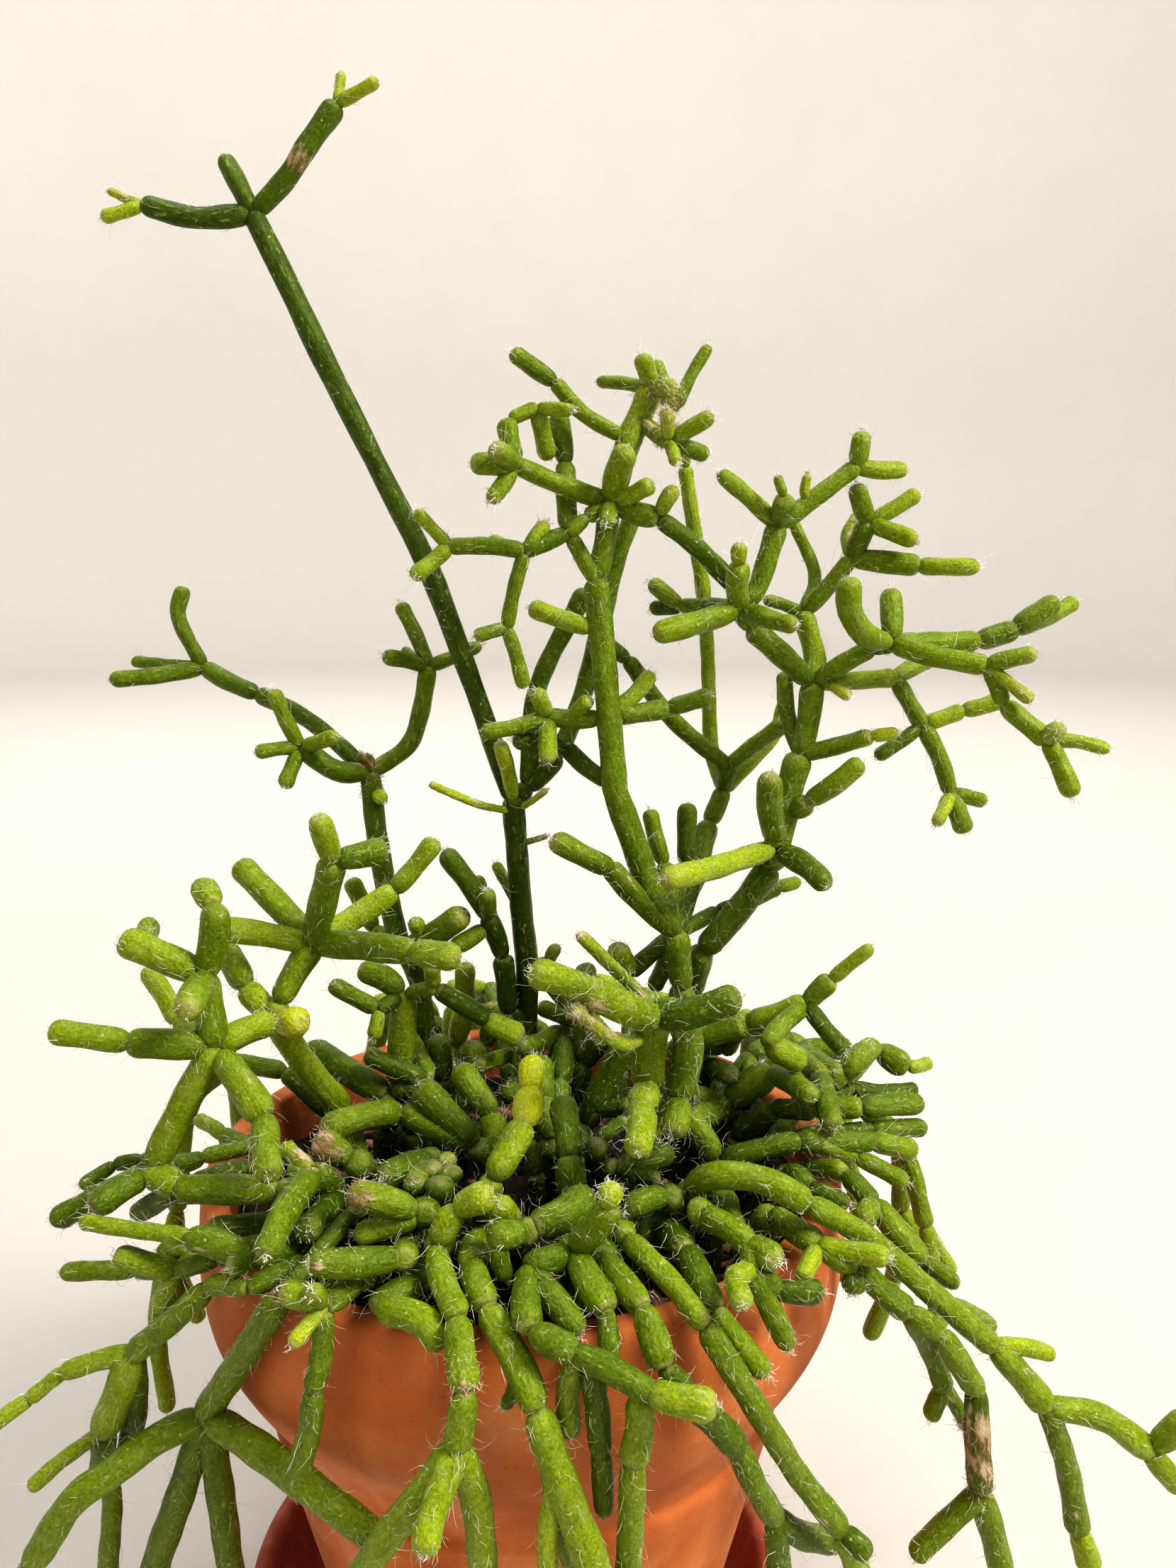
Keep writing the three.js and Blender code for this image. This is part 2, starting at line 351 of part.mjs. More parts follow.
    [4.2, 0.5, high(49.2, 133.8, 134), high(58.4, 128, 135)],
  ],
  right_bundle_stem_c: [
    [4.1, 0.55, [44, 2], high(42, 119.5, 120), high(49.6, 125.6, 128), high(58.4, 125.8, 131)],
    [4.4, 0.5, high(58.4, 125.8, 131), high(67.6, 125.4, 131), high(78.8, 126.2, 129)],
    [3.1, 0.7, high(58.4, 125.8, 131), high(65.2, 129.6, 129), high(77.8, 129.3, 126)],
  ],
  right_bundle_stem_d: [
    [3.4, 0.6, [46, -8], high(45, 116.5, 121), high(58.6, 121, 127), high(70, 121.4, 127),
      high(80, 121.2, 125)],
  ],
  right_bundle_stem_e: [
    [4.5, 0.5, [38, -14], high(38, 109, 119), high(39.2, 113.7, 125), high(55.4, 116.6, 128),
      high(70.4, 117, 126), high(78, 116.5, 124)],
    [4.8, 0.3, high(39.2, 113.7, 125), high(33.2, 122.8, 131)],
    [3.4, 0.45, high(55.4, 116.6, 128), high(66.9, 113.9, 124), high(76.8, 109.8, 121)],
  ],
  mound_stem_j: [
    [4.8, 0.4, [8, 4], high(6, 118, 124), high(5.2, 127, 129), high(4.6, 135, 134)],
    [4.6, 0.5, high(6, 118, 124), high(7.4, 131, 131), high(8.2, 142.6, 137)],
    [3.4, 0.4, high(8.2, 142.6, 137), high(-1.6, 139.2, 138)],
    [3.2, 0.4, high(5.2, 127, 129), high(-1.4, 137.4, 134), high(-9.4, 134.6, 136)],
    [3.8, 0.6, high(5.2, 127, 129), high(-3.7, 129, 131)],
  ],
  left_rear_stem: [
    [3.4, 0.6, [-40, 8], high(-50, 116, 121), [-55.7, 117, -13], [-65.3, 114.8, -16],
      [-70.6, 113.3, -19]],
    [3, 0.4, [-55.7, 117, -13], [-61, 119.5, -5], [-65.6, 122.8, 0]],
    [4.3, 0.6, high(-50, 116, 121), [-54.8, 113, -26], [-67.2, 108.8, -30]],
  ],
  left_low_stem: [
    [5.3, 0.6, [-30, -30], high(-50, 91, 121), [-56.3, 91, -50], [-69, 96.4, -45]],
    [3.3, 0.35, [-69, 96.4, -45], [-81, 98.8, -44, 1], [-90, 101.2, -42]],
    [4.4, 0.6, [-56.3, 91, -50], [-60.6, 89.3, -52]],
    [4.3, 0.6, high(-50, 91, 121), [-54, 98, -40], [-63, 95.4, -38]],
  ],
  left_corky_stem: [
    
    [5.6, 0.55, [-28, -14], high(-31, 110, 124), high(-34.5, 113.4, 132), high(-41.8, 117.2, 134)],
    [5.4, 0.45, high(-31, 110, 124), high(-39, 106, 124), high(-42.5, 112, 132),
      high(-53.4, 94.2, 130)],
    [5.2, 0.65, high(-39, 106, 124), high(-46.5, 96, 124)],
    [3.2, 0.1, high(-42.5, 112, 132), high(-47.9, 117, 133)],
    [3.9, 0.15, high(-42.5, 112, 132), high(-47.2, 110.6, 130)],
  ],
  left_trailing_stem: [
    [3.4, 0.7, [-26, -22], high(-32, 104, 124), [-36, 102.7, -42], [-50.6, 84, -57]],
    [6, 0.45, [-50.6, 84, -57], [-59, 70, -51, 1], [-67.8, 56.3, -43]],
    [5.8, 0.5, [-67.8, 56.3, -43], [-79.2, 49.8, -47, 1], [-89.2, 41.8, -49, 1],
      [-98.1, 34.8, -49, 1], [-107.7, 20, -48]],
    [5.4, 0.45, [-107.7, 20, -48], [-113, 4, -46]],
    [5.4, 0.4, [-67.8, 56.3, -43], [-72.7, 42.6, -42, 1], [-81.5, 18, -40, 1], [-84, 2, -40]],
    [5.3, 0.6, [-67.8, 56.3, -43], [-65.1, 50, -42, 1], [-63.9, 18, -40, 1], [-62, -2, -40]],
    [6.1, 0.5, [-67.8, 56.3, -43], [-51.6, 44.5, -56, 1], [-33, 27, -64]],
  ],
  left_hanging_stem: [
    [6, 0.55, [-22, -30], high(-31, 92, 122), high(-34.8, 88, 124), high(-41.8, 81.8, 124)],
    [5.8, 0.4, high(-41.8, 81.8, 124), high(-49.8, 84.2, 126)],
    [4.5, 0.45, high(-41.8, 81.8, 124), [-45.3, 61.3, -64], [-49.3, 41.8, -62]],
    [3.4, 0.1, high(-41.8, 81.8, 124), [-48.8, 73, -66]],
    [4, 0.4, high(-41.8, 81.8, 124), high(-44.3, 85.4, 128)],
  ],
  left_wispy_stem_a: [
    [4.2, 0.6, [-34, -34], high(-50, 87, 120), [-57.3, 86.4, -52], [-66, 85.8, -49]],
    [4.4, 0.4, [-66, 85.8, -49], [-74, 78.5, -47, 1], [-82.4, 71, -45]],
    [4.1, 0.35, [-82.4, 71, -45], [-97.7, 66, -44]],
    [3.2, 0.25, [-97.7, 66, -44], [-105.2, 59.6, -44], [-114, 52.8, -45]],
    [5.9, 0.25, [-82.4, 71, -45], [-90.4, 52, -43]],
    [3.2, 0.25, [-90.4, 52, -43], [-106.2, 38.8, -43]],
    [4.6, 0.6, [-82.4, 71, -45], [-85, 48, -37]], [4.7, 0.6, [-90.4, 52, -43], [-91.4, 41, -39]],
    [4, 0.45, [-91.4, 41, -39], [-89.6, 36, -38, 1], [-91.7, 18, -37, 1], [-92.5, 3, -37]],
  ],
  left_wispy_stem_b: [
    [4, 0.5, [-42, -26], high(-55, 92, 120), [-63.2, 90.3, -46], [-71.8, 89.2, -43]],
    [5.1, 0.4, [-71.8, 89.2, -43], [-76.3, 79.7, -44]],
    [4.6, 0.35, [-71.8, 89.2, -43], [-83.7, 92.8, -44]],
    [3.5, 0.5, [-71.8, 89.2, -43], [-80.5, 89.6, -36], [-95.2, 89.2, -35]],
    [2.8, 0.6, [-71.8, 89.2, -43], [-69, 93.5, -40], [-75, 94, -37]],
  ],
  front_stem_a: [
    [5.6, 0.5, [-12, -36], high(-17, 98, 122), high(-20, 94.6, 128)],
    [5.7, 0.35, high(-20, 94.6, 128), high(-14.2, 103.3, 134), high(-8.3, 106, 137)],
    [5.4, 0.45, high(-20, 94.6, 128), [-14.3, 79, -66]],
    [5.8, 0.35, [-14.3, 79, -66], [-13.5, 61.8, -72]],
    [6, 0.3, [-13.5, 61.8, -72], [-15.4, 48, -73]],
    [6.4, 0.3, [-15.4, 48, -73], [-24, 35, -73, 1], [-32, 24, -71, 1], [-43, 4, -68]],
    [6, 0.25, [-15.4, 48, -73], [-20.8, 32, -77, 1], [-22.6, 23.5, -81]],
    [6.3, 0.25, [-15.4, 48, -73], [-11.6, 36, -71, 1], [-10, 17, -70, 1], [-9, -6, -68]],
  ],
  front_stem_b: [
    [5.4, 0.45, [-24, -28], high(-24, 96, 122), high(-22.5, 93.3, 129), high(-43.4, 90.2, 130)],
    [5.4, 0.6, high(-24, 96, 122), high(-20.5, 88, 124), high(-31.8, 81.2, 123)],
    [5.8, 0.3, high(-31.8, 81.2, 123), [-22.6, 78.8, -65, 1], [-17, 74.2, -67]],
  ],
  front_stem_c: [
    [5.4, 0.5, [-2, -34], high(-2, 98, 122), high(0.5, 98.5, 131), high(-7.4, 96.8, 132)],
    [6.5, 0.6, high(0.5, 98.5, 131), high(12, 105.5, 131)],
    [5, 0.15, high(-2, 98, 122), high(-5.2, 104, 130)],
    [4, 0.5, high(-7.4, 96.8, 132), high(-5.8, 88, 126)],
  ],
  front_stem_d: [
    [5.8, 0.5, [10, -38], high(11, 97, 122), high(10.8, 94, 128)],
    [5.9, 0.6, high(10.8, 94, 128), high(0, 90.5, 128)],
    [5.8, 0.65, high(0, 90.5, 128), [0.4, 76, -69]],
    [5.5, 0.55, [0.4, 76, -69], [10, 70.5, -72], [17.5, 66.5, -74, 1], [26, 61, -76]],
    [6.2, 0.2, [26, 61, -76], [38.2, 58.2, -79]], [4.6, 0.45, [10, 70.5, -72], [8.4, 51.6, -71]],
    [4.7, 0.65, [13.4, 68.5, -73], [15.3, 47.2, -72], [16, 33, -71]],
    [5.7, 0.4, [24, 62.5, -75], [22.2, 44.6, -74], [20.8, 18, -73, 1], [20, -4, -71]],
    [5.2, 0.6, high(0, 90.5, 128), high(10.2, 76.3, 122)],
    [5.9, 0.45, high(10.8, 94, 128), high(17.6, 104, 137)],
    [5, 0.1, high(17.6, 104, 137), high(17.2, 107.6, 140)],
    [5.9, 0.45, high(10.8, 94, 128), high(16.8, 80.6, 124)],
    [4.1, 0.7, high(16.8, 80.6, 124), [17.3, 69.8, -68]],
  ],
  front_stem_e: [
    [6, 0.4, [-4, -42], high(-9, 97, 121), high(-11.2, 91, 127), high(-7.4, 82, 125)],
    [6, 0.35, high(-7.4, 82, 125), [2, 57.3, -73]],
    [6.8, 0.35, [2, 57.3, -73], [15, 18, -74, 1], [21.5, -5, -72]],
    [4.5, 0.4, [2, 57.3, -73], [9.4, 18, -69, 1], [11, 2, -68]],
    [4.2, 0.2, [6.2, 44, -73], [4, 14, -74]], [2.8, 0.6, [-2, 67, -70], [-4.7, 58.3, -70]],
  ],
  front_stem_f: [
    [5.6, 0.55, [18, -38], high(15.5, 97, 122), high(15.3, 93, 127), high(24, 81.2, 124)],
    [6, 0.45, high(24, 81.2, 124), [28.4, 67.2, -69]],
    [5.6, 0.7, [28.4, 67.2, -69], [33.4, 61.4, -69]],
    [6.4, 0.6, [33.4, 61.4, -69], [44.6, 48, -64]],
    [5.3, 0.55, [44.6, 48, -64], [53.2, 30.6, -59]],
    [5, 0.6, [53.2, 30.6, -59], [54.2, 18, -57, 1], [54.6, 0, -56]],
    [5.6, 0.65, [53.2, 30.6, -59], [65.4, 25.4, -50]],
  ],
  front_stem_g: [
    [4.5, 0.35, [22, -34], high(20.5, 100, 122), high(20.3, 97.8, 128), high(37.5, 77.3, 122)],
    [5.2, 0.4, high(37.5, 77.3, 122), [51.6, 53.8, -62, 1], [58.1, 40.5, -60, 1],
      [67.6, 27.7, -59]],
    [4.8, 0.6, [67.6, 27.7, -59], [72.9, 22.3, -61]],
    [5, 0.35, [67.6, 27.7, -59], [72, 16, -56, 1], [76, 2, -54]],
  ],
  front_stem_h: [
    [4.9, 0.6, [26, -26], high(30, 103, 122), high(31.6, 106.6, 130), high(21, 101.2, 128)],
    [5.6, 0.7, high(30, 103, 122), high(33, 94, 124), high(38.5, 81, 122)],
    [4.4, 0.4, high(38.5, 81, 122), [48.6, 65.3, -62]],
    [5, 0.65, high(30, 103, 122), high(22, 98.6, 122)],
  ],
  front_stem_i: [
    [5.2, 0.45, [34, -24], high(37, 101, 122), high(34.2, 104.2, 129), high(46, 95.5, 127),
      high(50.9, 92, 127)],
    [4.5, 0.5, high(46, 95.5, 127), [46.3, 89.8, -55], [54.4, 72.8, -57]],
    [4.7, 0.65, [46.3, 89.8, -55], [51.3, 85, -54], [59.9, 85.1, -52]],
    [4.4, 0.2, [46.3, 89.8, -55], [42.6, 87.5, -60], [44.6, 82.5, -66]],
    [4.9, 0.55, high(37, 101, 122), high(43.8, 97.5, 125), high(40.5, 106, 126)],
  ],
  right_trailing_stem_a: [
    [5.1, 0.45, [28, -14], high(31, 103, 122), high(32.8, 106.6, 129), highBend(38, 110.5, 133),
      highBend(47.5, 110, 133), high(57.6, 104.6, 129)],
    [4.8, 0.45, high(57.6, 104.6, 129), [71, 96.3, -42, 1], [82, 86, -41, 1], [97.6, 72, -39]],
    [4.9, 0.4, [97.6, 72, -39], [109.8, 57.8, -39]],
    [5.4, 0.4, [109.8, 57.8, -39], [121, 55.5, -38, 1], [132.2, 47.3, -37]],
    [4.4, 0.3, [132.2, 47.3, -37], [139, 38.8, -37]],
    [5.2, 0.3, [132.2, 47.3, -37], [139.5, 54.2, -39]],
    [4.7, 0.4, [109.8, 57.8, -39], [118.8, 27.6, -37]],
    [4.8, 0.15, [118.8, 27.6, -37], [121.8, 19.2, -37]],
    [3.5, 0.2, [97.6, 72, -39], [109.3, 70.3, -35]],
    [3.6, 0.5, [86, 83, -40], [96.5, 76.6, -34]],
  ],
  right_trailing_stem_b: [
    [5.3, 0.5, [38, -24], high(50, 102, 122), high(60, 95, 122), [68, 90.5, -45]],
    [4.4, 0.25, high(60, 95, 122), [73.5, 92.7, -48]],
    [3.9, 0.15, high(60, 95, 122), [57.5, 87.6, -50]],
    [4.6, 0.7, [68, 90.5, -45], [67.8, 85.5, -47]],
    [4.8, 0.6, [68, 90.5, -45], [79.5, 79.8, -46]],
    [4.7, 0.45, [79.5, 79.8, -46], [86.4, 75, -46]],
    [4.7, 0.4, [86.4, 75, -46], [94.6, 61.8, -43]], [5, 0.8, [94.6, 61.8, -43], [97, 37.2, -41]],
    [4.8, 0.65, [97, 37.2, -41], [84.2, 22, -41]],
    [5.3, 0.45, [97, 37.2, -41], [102.6, 18, -40, 1], [105.5, 2, -39]],
    [4.5, 0.65, [79.5, 79.8, -46], [84.4, 71, -40, 1], [87.8, 62.3, -38]],
    [3.6, 0.5, [87.8, 62.3, -38], [85.4, 55.8, -38]],
    [3, 0.45, [87.8, 62.3, -38], [93.2, 53.2, -36]],
  ],
  right_trailing_stem_c: [
    [4.1, 0.5, [48, -12], high(60, 113, 123), [64.5, 114.2, -22], [71, 104.7, -29]],
    [5.2, 0.5, [71, 104.7, -29], [81.6, 91.8, -34]],
    [5, 0.5, [71, 104.7, -29], [67.6, 102.4, -33]],
    [3.9, 0.7, [81.6, 91.8, -34], [88.4, 86.8, -35]],
  ],
  right_short_stem: [
    [5.2, 0.6, [44, -12], high(54, 112, 123), high(57.2, 108.4, 124)],
    [3.8, 0.7, high(57.2, 108.4, 124), [66.4, 103.6, -32]],
  ],
  mound_stem_f: [
    
    [6.2, 0.5, [-20, -26], high(-22, 103, 124), high(-20.5, 102.5, 130), high(-34.6, 106.5, 133)],
    [4.8, 0.05, high(-20.5, 102.5, 130), high(-33.4, 96.6, 125)],
    [5, 0.6, high(-22, 103, 124), high(-28.5, 98, 124)],
  ],
  mound_stem_g: [
    [5.5, 0.5, [-16, -16], high(-18.5, 112, 124), high(-19.6, 114.6, 131),
      high(-28.2, 110.6, 132)],
    [4.8, 0.6, high(-18.5, 112, 124), high(-18.8, 110, 131)],
    [4.8, 0.6, high(-18.5, 112, 124), high(-22.2, 106.7, 130)],
    [4.8, 0.6, high(-18.5, 112, 124), high(-17.8, 106.7, 130)],
    [3.6, 0.3, high(-18.5, 112, 124), high(-15.8, 114, 132)],
  ],
  mound_stem_h: [
    [3.8, 0.6, [14, -14], high(14, 112, 122), high(18.2, 112.4, 127), high(26.4, 109.8, 126)],
    [4.6, 0.5, high(14, 112, 122), high(14.5, 117, 129)],
    [4.8, 0.5, high(18.2, 112.4, 127), high(28.4, 115.8, 128)],
    [3, 0.6, high(14, 112, 122), high(15, 118.8, 126), high(20, 122.4, 128)],
  ],
  mound_stem_i: [
    [3.4, 0.4, [2, -12], high(2.3, 110.8, 122), high(1, 117.4, 127)],
  ],
};
// ---------------------------------------------------------------- stems at the back of the pot

// The stems behind hang over the back rim. Each is one pattern, turned to its own angle round the pot and
// leaned to one side. Its places are (out, side, up) from the pot's axis, in real millimetres.
const BACK_STEMS = [
  { angle: 6, lean: -6, drop: 0 },
  { angle: 27, lean: 4, drop: 8 },
  { angle: 47, lean: -5, drop: 2 },
  { angle: 63, lean: 5, drop: 14 },
  { angle: 80, lean: -4, drop: 6 },
  { angle: 98, lean: 3, drop: 16 },
  { angle: 121, lean: -3, drop: 4 },
  { angle: 158, lean: 5, drop: 12 },
];

function backStem({ angle, lean, drop }) {
  const turn = THREE.MathUtils.degToRad(angle);
  const at = (out, side, up, ...bend) => {
    const x = out * Math.cos(turn) - side * Math.sin(turn);
    const y = out * Math.sin(turn) + side * Math.cos(turn);
    const depth = (y - EYE.y) / -EYE.y;
    return [EYE.x + (x - EYE.x) / depth, EYE.z + (up - EYE.z) / depth, y, ...bend];
  };
  const root = [BACK_ROOT_RADIUS * Math.cos(turn), BACK_ROOT_RADIUS * Math.sin(turn)];
  const crest = at(68, lean, 126);
  const hip = at(56, lean / 2, 125);
  const knee = at(80, lean + 7, 98 - drop / 2);
  const elbow = at(77, lean - 13, 106 - drop);
  return [
    [3.6, 0.6, root, at(46, 0, 115), hip, crest],
    [3.5, 0.5, crest, at(77, lean + 4, 116, BEND), knee],
    [3.5, 0.4, knee, at(82, lean + 13, 80 - drop, BEND), at(78, lean + 16, 62 - drop)],
    [3.2, 0.35, knee, at(86, lean + 2, 86 - drop), at(85, lean - 3, 70 - drop)],
    [3.4, 0.45, crest, at(74, lean - 8, 119, BEND), elbow],
    [3.1, 0.3, elbow, at(79, lean - 18, 88 - drop)],
    [2.8, 0.2, elbow, at(84, lean - 10, 94 - drop)],
    [3, 0.15, crest, at(62, lean + 10, 129)],
    [3.2, 0.5, hip, at(49, -9, 121)],
  ];
}

// ---------------------------------------------------------------- joints and links

// place turns a joint into real millimetres and returns it with its depth factor.
function place(joint) {
  if (joint.length === 2) {
    return { at: [joint[0], joint[1], ROOT_HEIGHT], scale: 1 + joint[1] / -EYE.y };
  }
  const [x, z, y] = joint;
  const scale = (y - EYE.y) / -EYE.y;
  return { at: [EYE.x + (x - EYE.x) * scale, y, EYE.z + (z - EYE.z) * scale], scale };
}

const less = (a, b) => a.map((value, i) => value - b[i]);
const dot = (a, b) => a[0] * b[0] + a[1] * b[1] + a[2] * b[2];
const along = (a, b, share) => a.map((value, i) => value + (b[i] - value) * share);
const clamp01 = (value) => Math.min(1, Math.max(0, value));

// nearest gives the shares along two straight links at which they are nearest, and the way between.
function nearest(p1, q1, p2, q2) {
  const d1 = less(q1, p1);
  const d2 = less(q2, p2);
  const r = less(p1, p2);
  const a = dot(d1, d1);
  const e = dot(d2, d2);
  const b = dot(d1, d2);
  const c = dot(d1, r);
  const f = dot(d2, r);
  const denominator = a * e - b * b;
  let s = denominator > 1e-9 ? clamp01((b * f - c * e) / denominator) : 0.5;
  let t = clamp01((b * s + f) / e);
  s = clamp01((b * t - c) / a);
  t = clamp01((b * s + f) / e);
  return { s, t, way: less(along(p1, q1, s), along(p2, q2, t)) };
}

// growStems reads the runs into one list of joints and one list of links. A run that starts beside an
// older link, and not at a joint, is grafted on: that link gets a joint of its own there.
function growStems(stems) {
  const joints = [];
  const links = [];
  Object.entries(stems).forEach(([tree, runs]) => {
    const known = new Map();
    runs.forEach(([thickness, freshness, ...route]) => {
      let last = null;
      route.forEach((joint, step) => {
        const key = joint.slice(0, 3).join();
        if (!known.has(key)) {
          const { at, scale } = place(joint);
          const isGraft = step === 0 && known.size > 0 && joint.length > 2;
          joints.push({ at: isGraft ? graft(at, tree, joints, links) : at, rooted: joint.length === 2 });
          known.set(key, { index: joints.length - 1, scale });
        }
        const { index, scale } = known.get(key);
        if (last) {
          const radius = (thickness / 4) * (last.scale + scale);
          links.push({ tree, a: last.index, b: index, radius, freshness });
        }
        last = { index, scale };
      });
    });
  });
  return { joints, links };
}

function graft(at, tree, joints, links) {
  let best = null;
  links.forEach((link) => {
    if (link.tree !== tree) return;
    const a = joints[link.a].at;
    const b = joints[link.b].at;
    const ab = less(b, a);
    const share = clamp01(dot(less(at, a), ab) / dot(ab, ab));
    const spot = along(a, b, share);
    const miss = Math.hypot(...less(at, spot));
    if (!best || miss < best.miss) best = { miss, link, spot };
  });
  links.push({ ...best.link, a: joints.length });
  best.link.b = joints.length;
  return best.spot;
}

// ---------------------------------------------------------------- easing crossed stems apart

// Links that share a joint, or whose joints are one link apart, may touch. All other pairs are kept clear.
function loosePairs(joints, links) {
  const beside = joints.map(() => new Set());
  links.forEach(({ a, b }) => {
    beside[a].add(b);
    beside[b].add(a);
  });
  const touches = (one, two) =>
    [one.a, one.b].some((i) => i === two.a || i === two.b || beside[i].has(two.a) || beside[i].has(two.b));
  const pairs = [];
  links.forEach((one, i) => {
    for (let j = i + 1; j < links.length; j += 1) {
      const two = links[j];
      const { way } = nearest(joints[one.a].at, joints[one.b].at, joints[two.a].at, joints[two.b].at);
      if (Math.hypot(...way) < EASE_REACH && !touches(one, two)) pairs.push([one, two]);
    }
  });
  return pairs;
}

// The pot and saucer as straight walls in (radius, height), each with half its thickness.
const WALLS = [
  { from: [60.2, GROOVE_HEIGHT + 2], to: [60.2, LIP_HEIGHT - 2], half: 3.8 },
  { from: [50, GROOVE_HEIGHT], to: [35, FOOT_HEIGHT], half: 3.8 },
];

// outOfWalls gives the push that takes one point, with its link's radius, out of the pot's wall.
function outOfWalls(point, radius) {
  const reach = Math.hypot(point[0], point[1]);
  for (const { from, to, half } of WALLS) {
    const run = [to[0] - from[0], to[1] - from[1]];
    const off = [reach - from[0], point[2] - from[1]];
    const share = clamp01((off[0] * run[0] + off[1] * run[1]) / (run[0] ** 2 + run[1] ** 2));
    const away = [off[0] - run[0] * share, off[1] - run[1] * share];
    const distance = Math.hypot(...away);
    const short = half + radius + EASE_GAP - distance;
    if (short > 0 && distance > 1e-6) {
      const push = (away[0] / distance) * short;
      return [(push * point[0]) / reach, (push * point[1]) / reach, (away[1] / distance) * short];
    }
  }
  return null;
}

function easeApart(joints, links) {
  const pairs = loosePairs(joints, links);
  for (let round = 0; round < EASE_ROUNDS; round += 1) {
    const shifts = joints.map(() => [0, 0, 0, 0]);
    const pushLink = (link, share, push) => {
      const spread = (1 - share) ** 2 + share ** 2;
      [[link.a, 1 - share], [link.b, share]].forEach(([index, weight]) => {
        if (weight < 1e-6) return;
        push.forEach((value, i) => {
          shifts[index][i] += (value * weight) / spread;
        });
        shifts[index][3] += 1;
      });
    };
    pairs.forEach(([one, two]) => {
      const [p1, q1, p2, q2] = [one.a, one.b, two.a, two.b].map((i) => joints[i].at);
      const { s, t, way } = nearest(p1, q1, p2, q2);
      const distance = Math.hypot(...way);
      const short = one.radius + two.radius + EASE_GAP - distance;
      if (short <= 0) return;
      const sight = less(along(p1, q1, s), EYE.toArray());
      const sightLength = Math.hypot(...sight);
      const view = sight.map((value) => value / sightLength);
      const apart = distance > 1e-3 ? way.map((value) => value / distance) : view;
      const facing = dot(apart, view);
      const eased = apart.map((v, i) => EASE_ACROSS * v + (1 - EASE_ACROSS) * facing * view[i]);
      const scale = short / 2 / (EASE_ACROSS + (1 - EASE_ACROSS) * facing * facing);
      pushLink(one, s, eased.map((value) => value * scale));
      pushLink(two, t, eased.map((value) => -value * scale));
    });
    links.forEach((link) => {
      EASE_SAMPLES.forEach((share) => {
        const push = outOfWalls(along(joints[link.a].at, joints[link.b].at, share), link.radius);
        if (push) pushLink(link, share, push);
      });
    });
    joints.forEach((joint, index) => {
      const [x, y, z, count] = shifts[index];
      if (count === 0) return;
      const soften = 2 / (1 + count);
      joint.at[0] += x * soften;
      joint.at[1] += y * soften;
      if (!joint.rooted) joint.at[2] += z * soften;
    });
  }
}

// ---------------------------------------------------------------- solids

// solidOf makes a closed solid of a geometry: shared vertices merged, collapsed triangles dropped.
function solidOf(geometry) {
  const bare = geometry.index ? geometry : geometry.clone();
  bare.deleteAttribute('normal');
  bare.deleteAttribute('uv');
  const merged = mergeVertices(bare, 1e-4);
  const index = merged.index.array;
  const kept = [];
  for (let i = 0; i < index.length; i += 3) {
    const [a, b, c] = [index[i], index[i + 1], index[i + 2]];
    if (a !== b && b !== c && c !== a) kept.push(a, b, c);
  }
  const mesh = new wasm.Mesh({
    numProp: 3,
    vertProperties: new Float32Array(merged.attributes.position.array),
    triVerts: new Uint32Array(kept),
  });
  return new wasm.Manifold(mesh);
}

function geometryOf(solid) {
  const { vertProperties, triVerts } = solid.getMesh();
  const geometry = new THREE.BufferGeometry();
  geometry.setAttribute('position', new THREE.BufferAttribute(new Float32Array(vertProperties), 3));
  geometry.setIndex(new THREE.BufferAttribute(new Uint32Array(triVerts), 1));
  return geometry;
}

// turned spins a closed profile of [radius, height] pairs round +Z.
function turned(profile, sides) {
  const points = profile.map(([radius, height]) => new THREE.Vector2(radius, height));
  const geometry = new THREE.LatheGeometry(points, sides);
  geometry.rotateX(Math.PI / 2);
  return geometry;
}

// rod sweeps a slim prism through the joints of a chain. It starts as a point at the first joint, is full a
// little further on, and ends in a blunt point. It is a turned profile whose rings are carried to their
// stations one by one.
function rod({ route, radii }, grow = 0) {
  const stops = route.map((at) => new THREE.Vector3(...at));
  const last = stops.length - 1;
  const ways = stops.slice(1).map((stop, i) => stop.clone().sub(stops[i]).normalize());
  const neck = Math.min(NECK * radii[0], NECK_LIMIT * stops[0].distanceTo(stops[1]));
  const tip = stops[last].clone().addScaledVector(ways[last - 1], TIP_REACH * radii[last] + grow);
  const root = stops[0].clone().addScaledVector(ways[0], -grow);
  const stations = [root, stops[0].clone().addScaledVector(ways[0], neck), ...stops.slice(1), tip];
  const profile = [0, ...radii.map((radius) => radius + grow), 0].map((r, i) => new THREE.Vector2(r, i));
  const sides = Math.max(...radii) * 2 < SLIM ? 4 : 5;
  const geometry = new THREE.LatheGeometry(profile, sides);
  const side = new THREE.Vector3(ways[0].y, ways[0].z, ways[0].x).cross(ways[0]).normalize();
  const frames = stations.map((station, i) => {
    const before = ways[Math.max(0, Math.min(i - 2, last - 1))];
    const after = ways[Math.max(0, Math.min(i - 1, last - 1))];
    const along = before.clone().add(after).normalize();
    side.addScaledVector(along, -side.dot(along)).normalize();
    return [station, side.clone(), side.clone().cross(along)];
  });
  const { position } = geometry.attributes;
  for (let i = 0; i < position.count; i += 1) {
    const [station, across, over] = frames[Math.round(position.getY(i))];
    const spot = station.clone().addScaledVector(across, position.getX(i));
    spot.addScaledVector(over, position.getZ(i));
    position.setXYZ(i, spot.x, spot.y, spot.z);
  }
  return geometry;
}

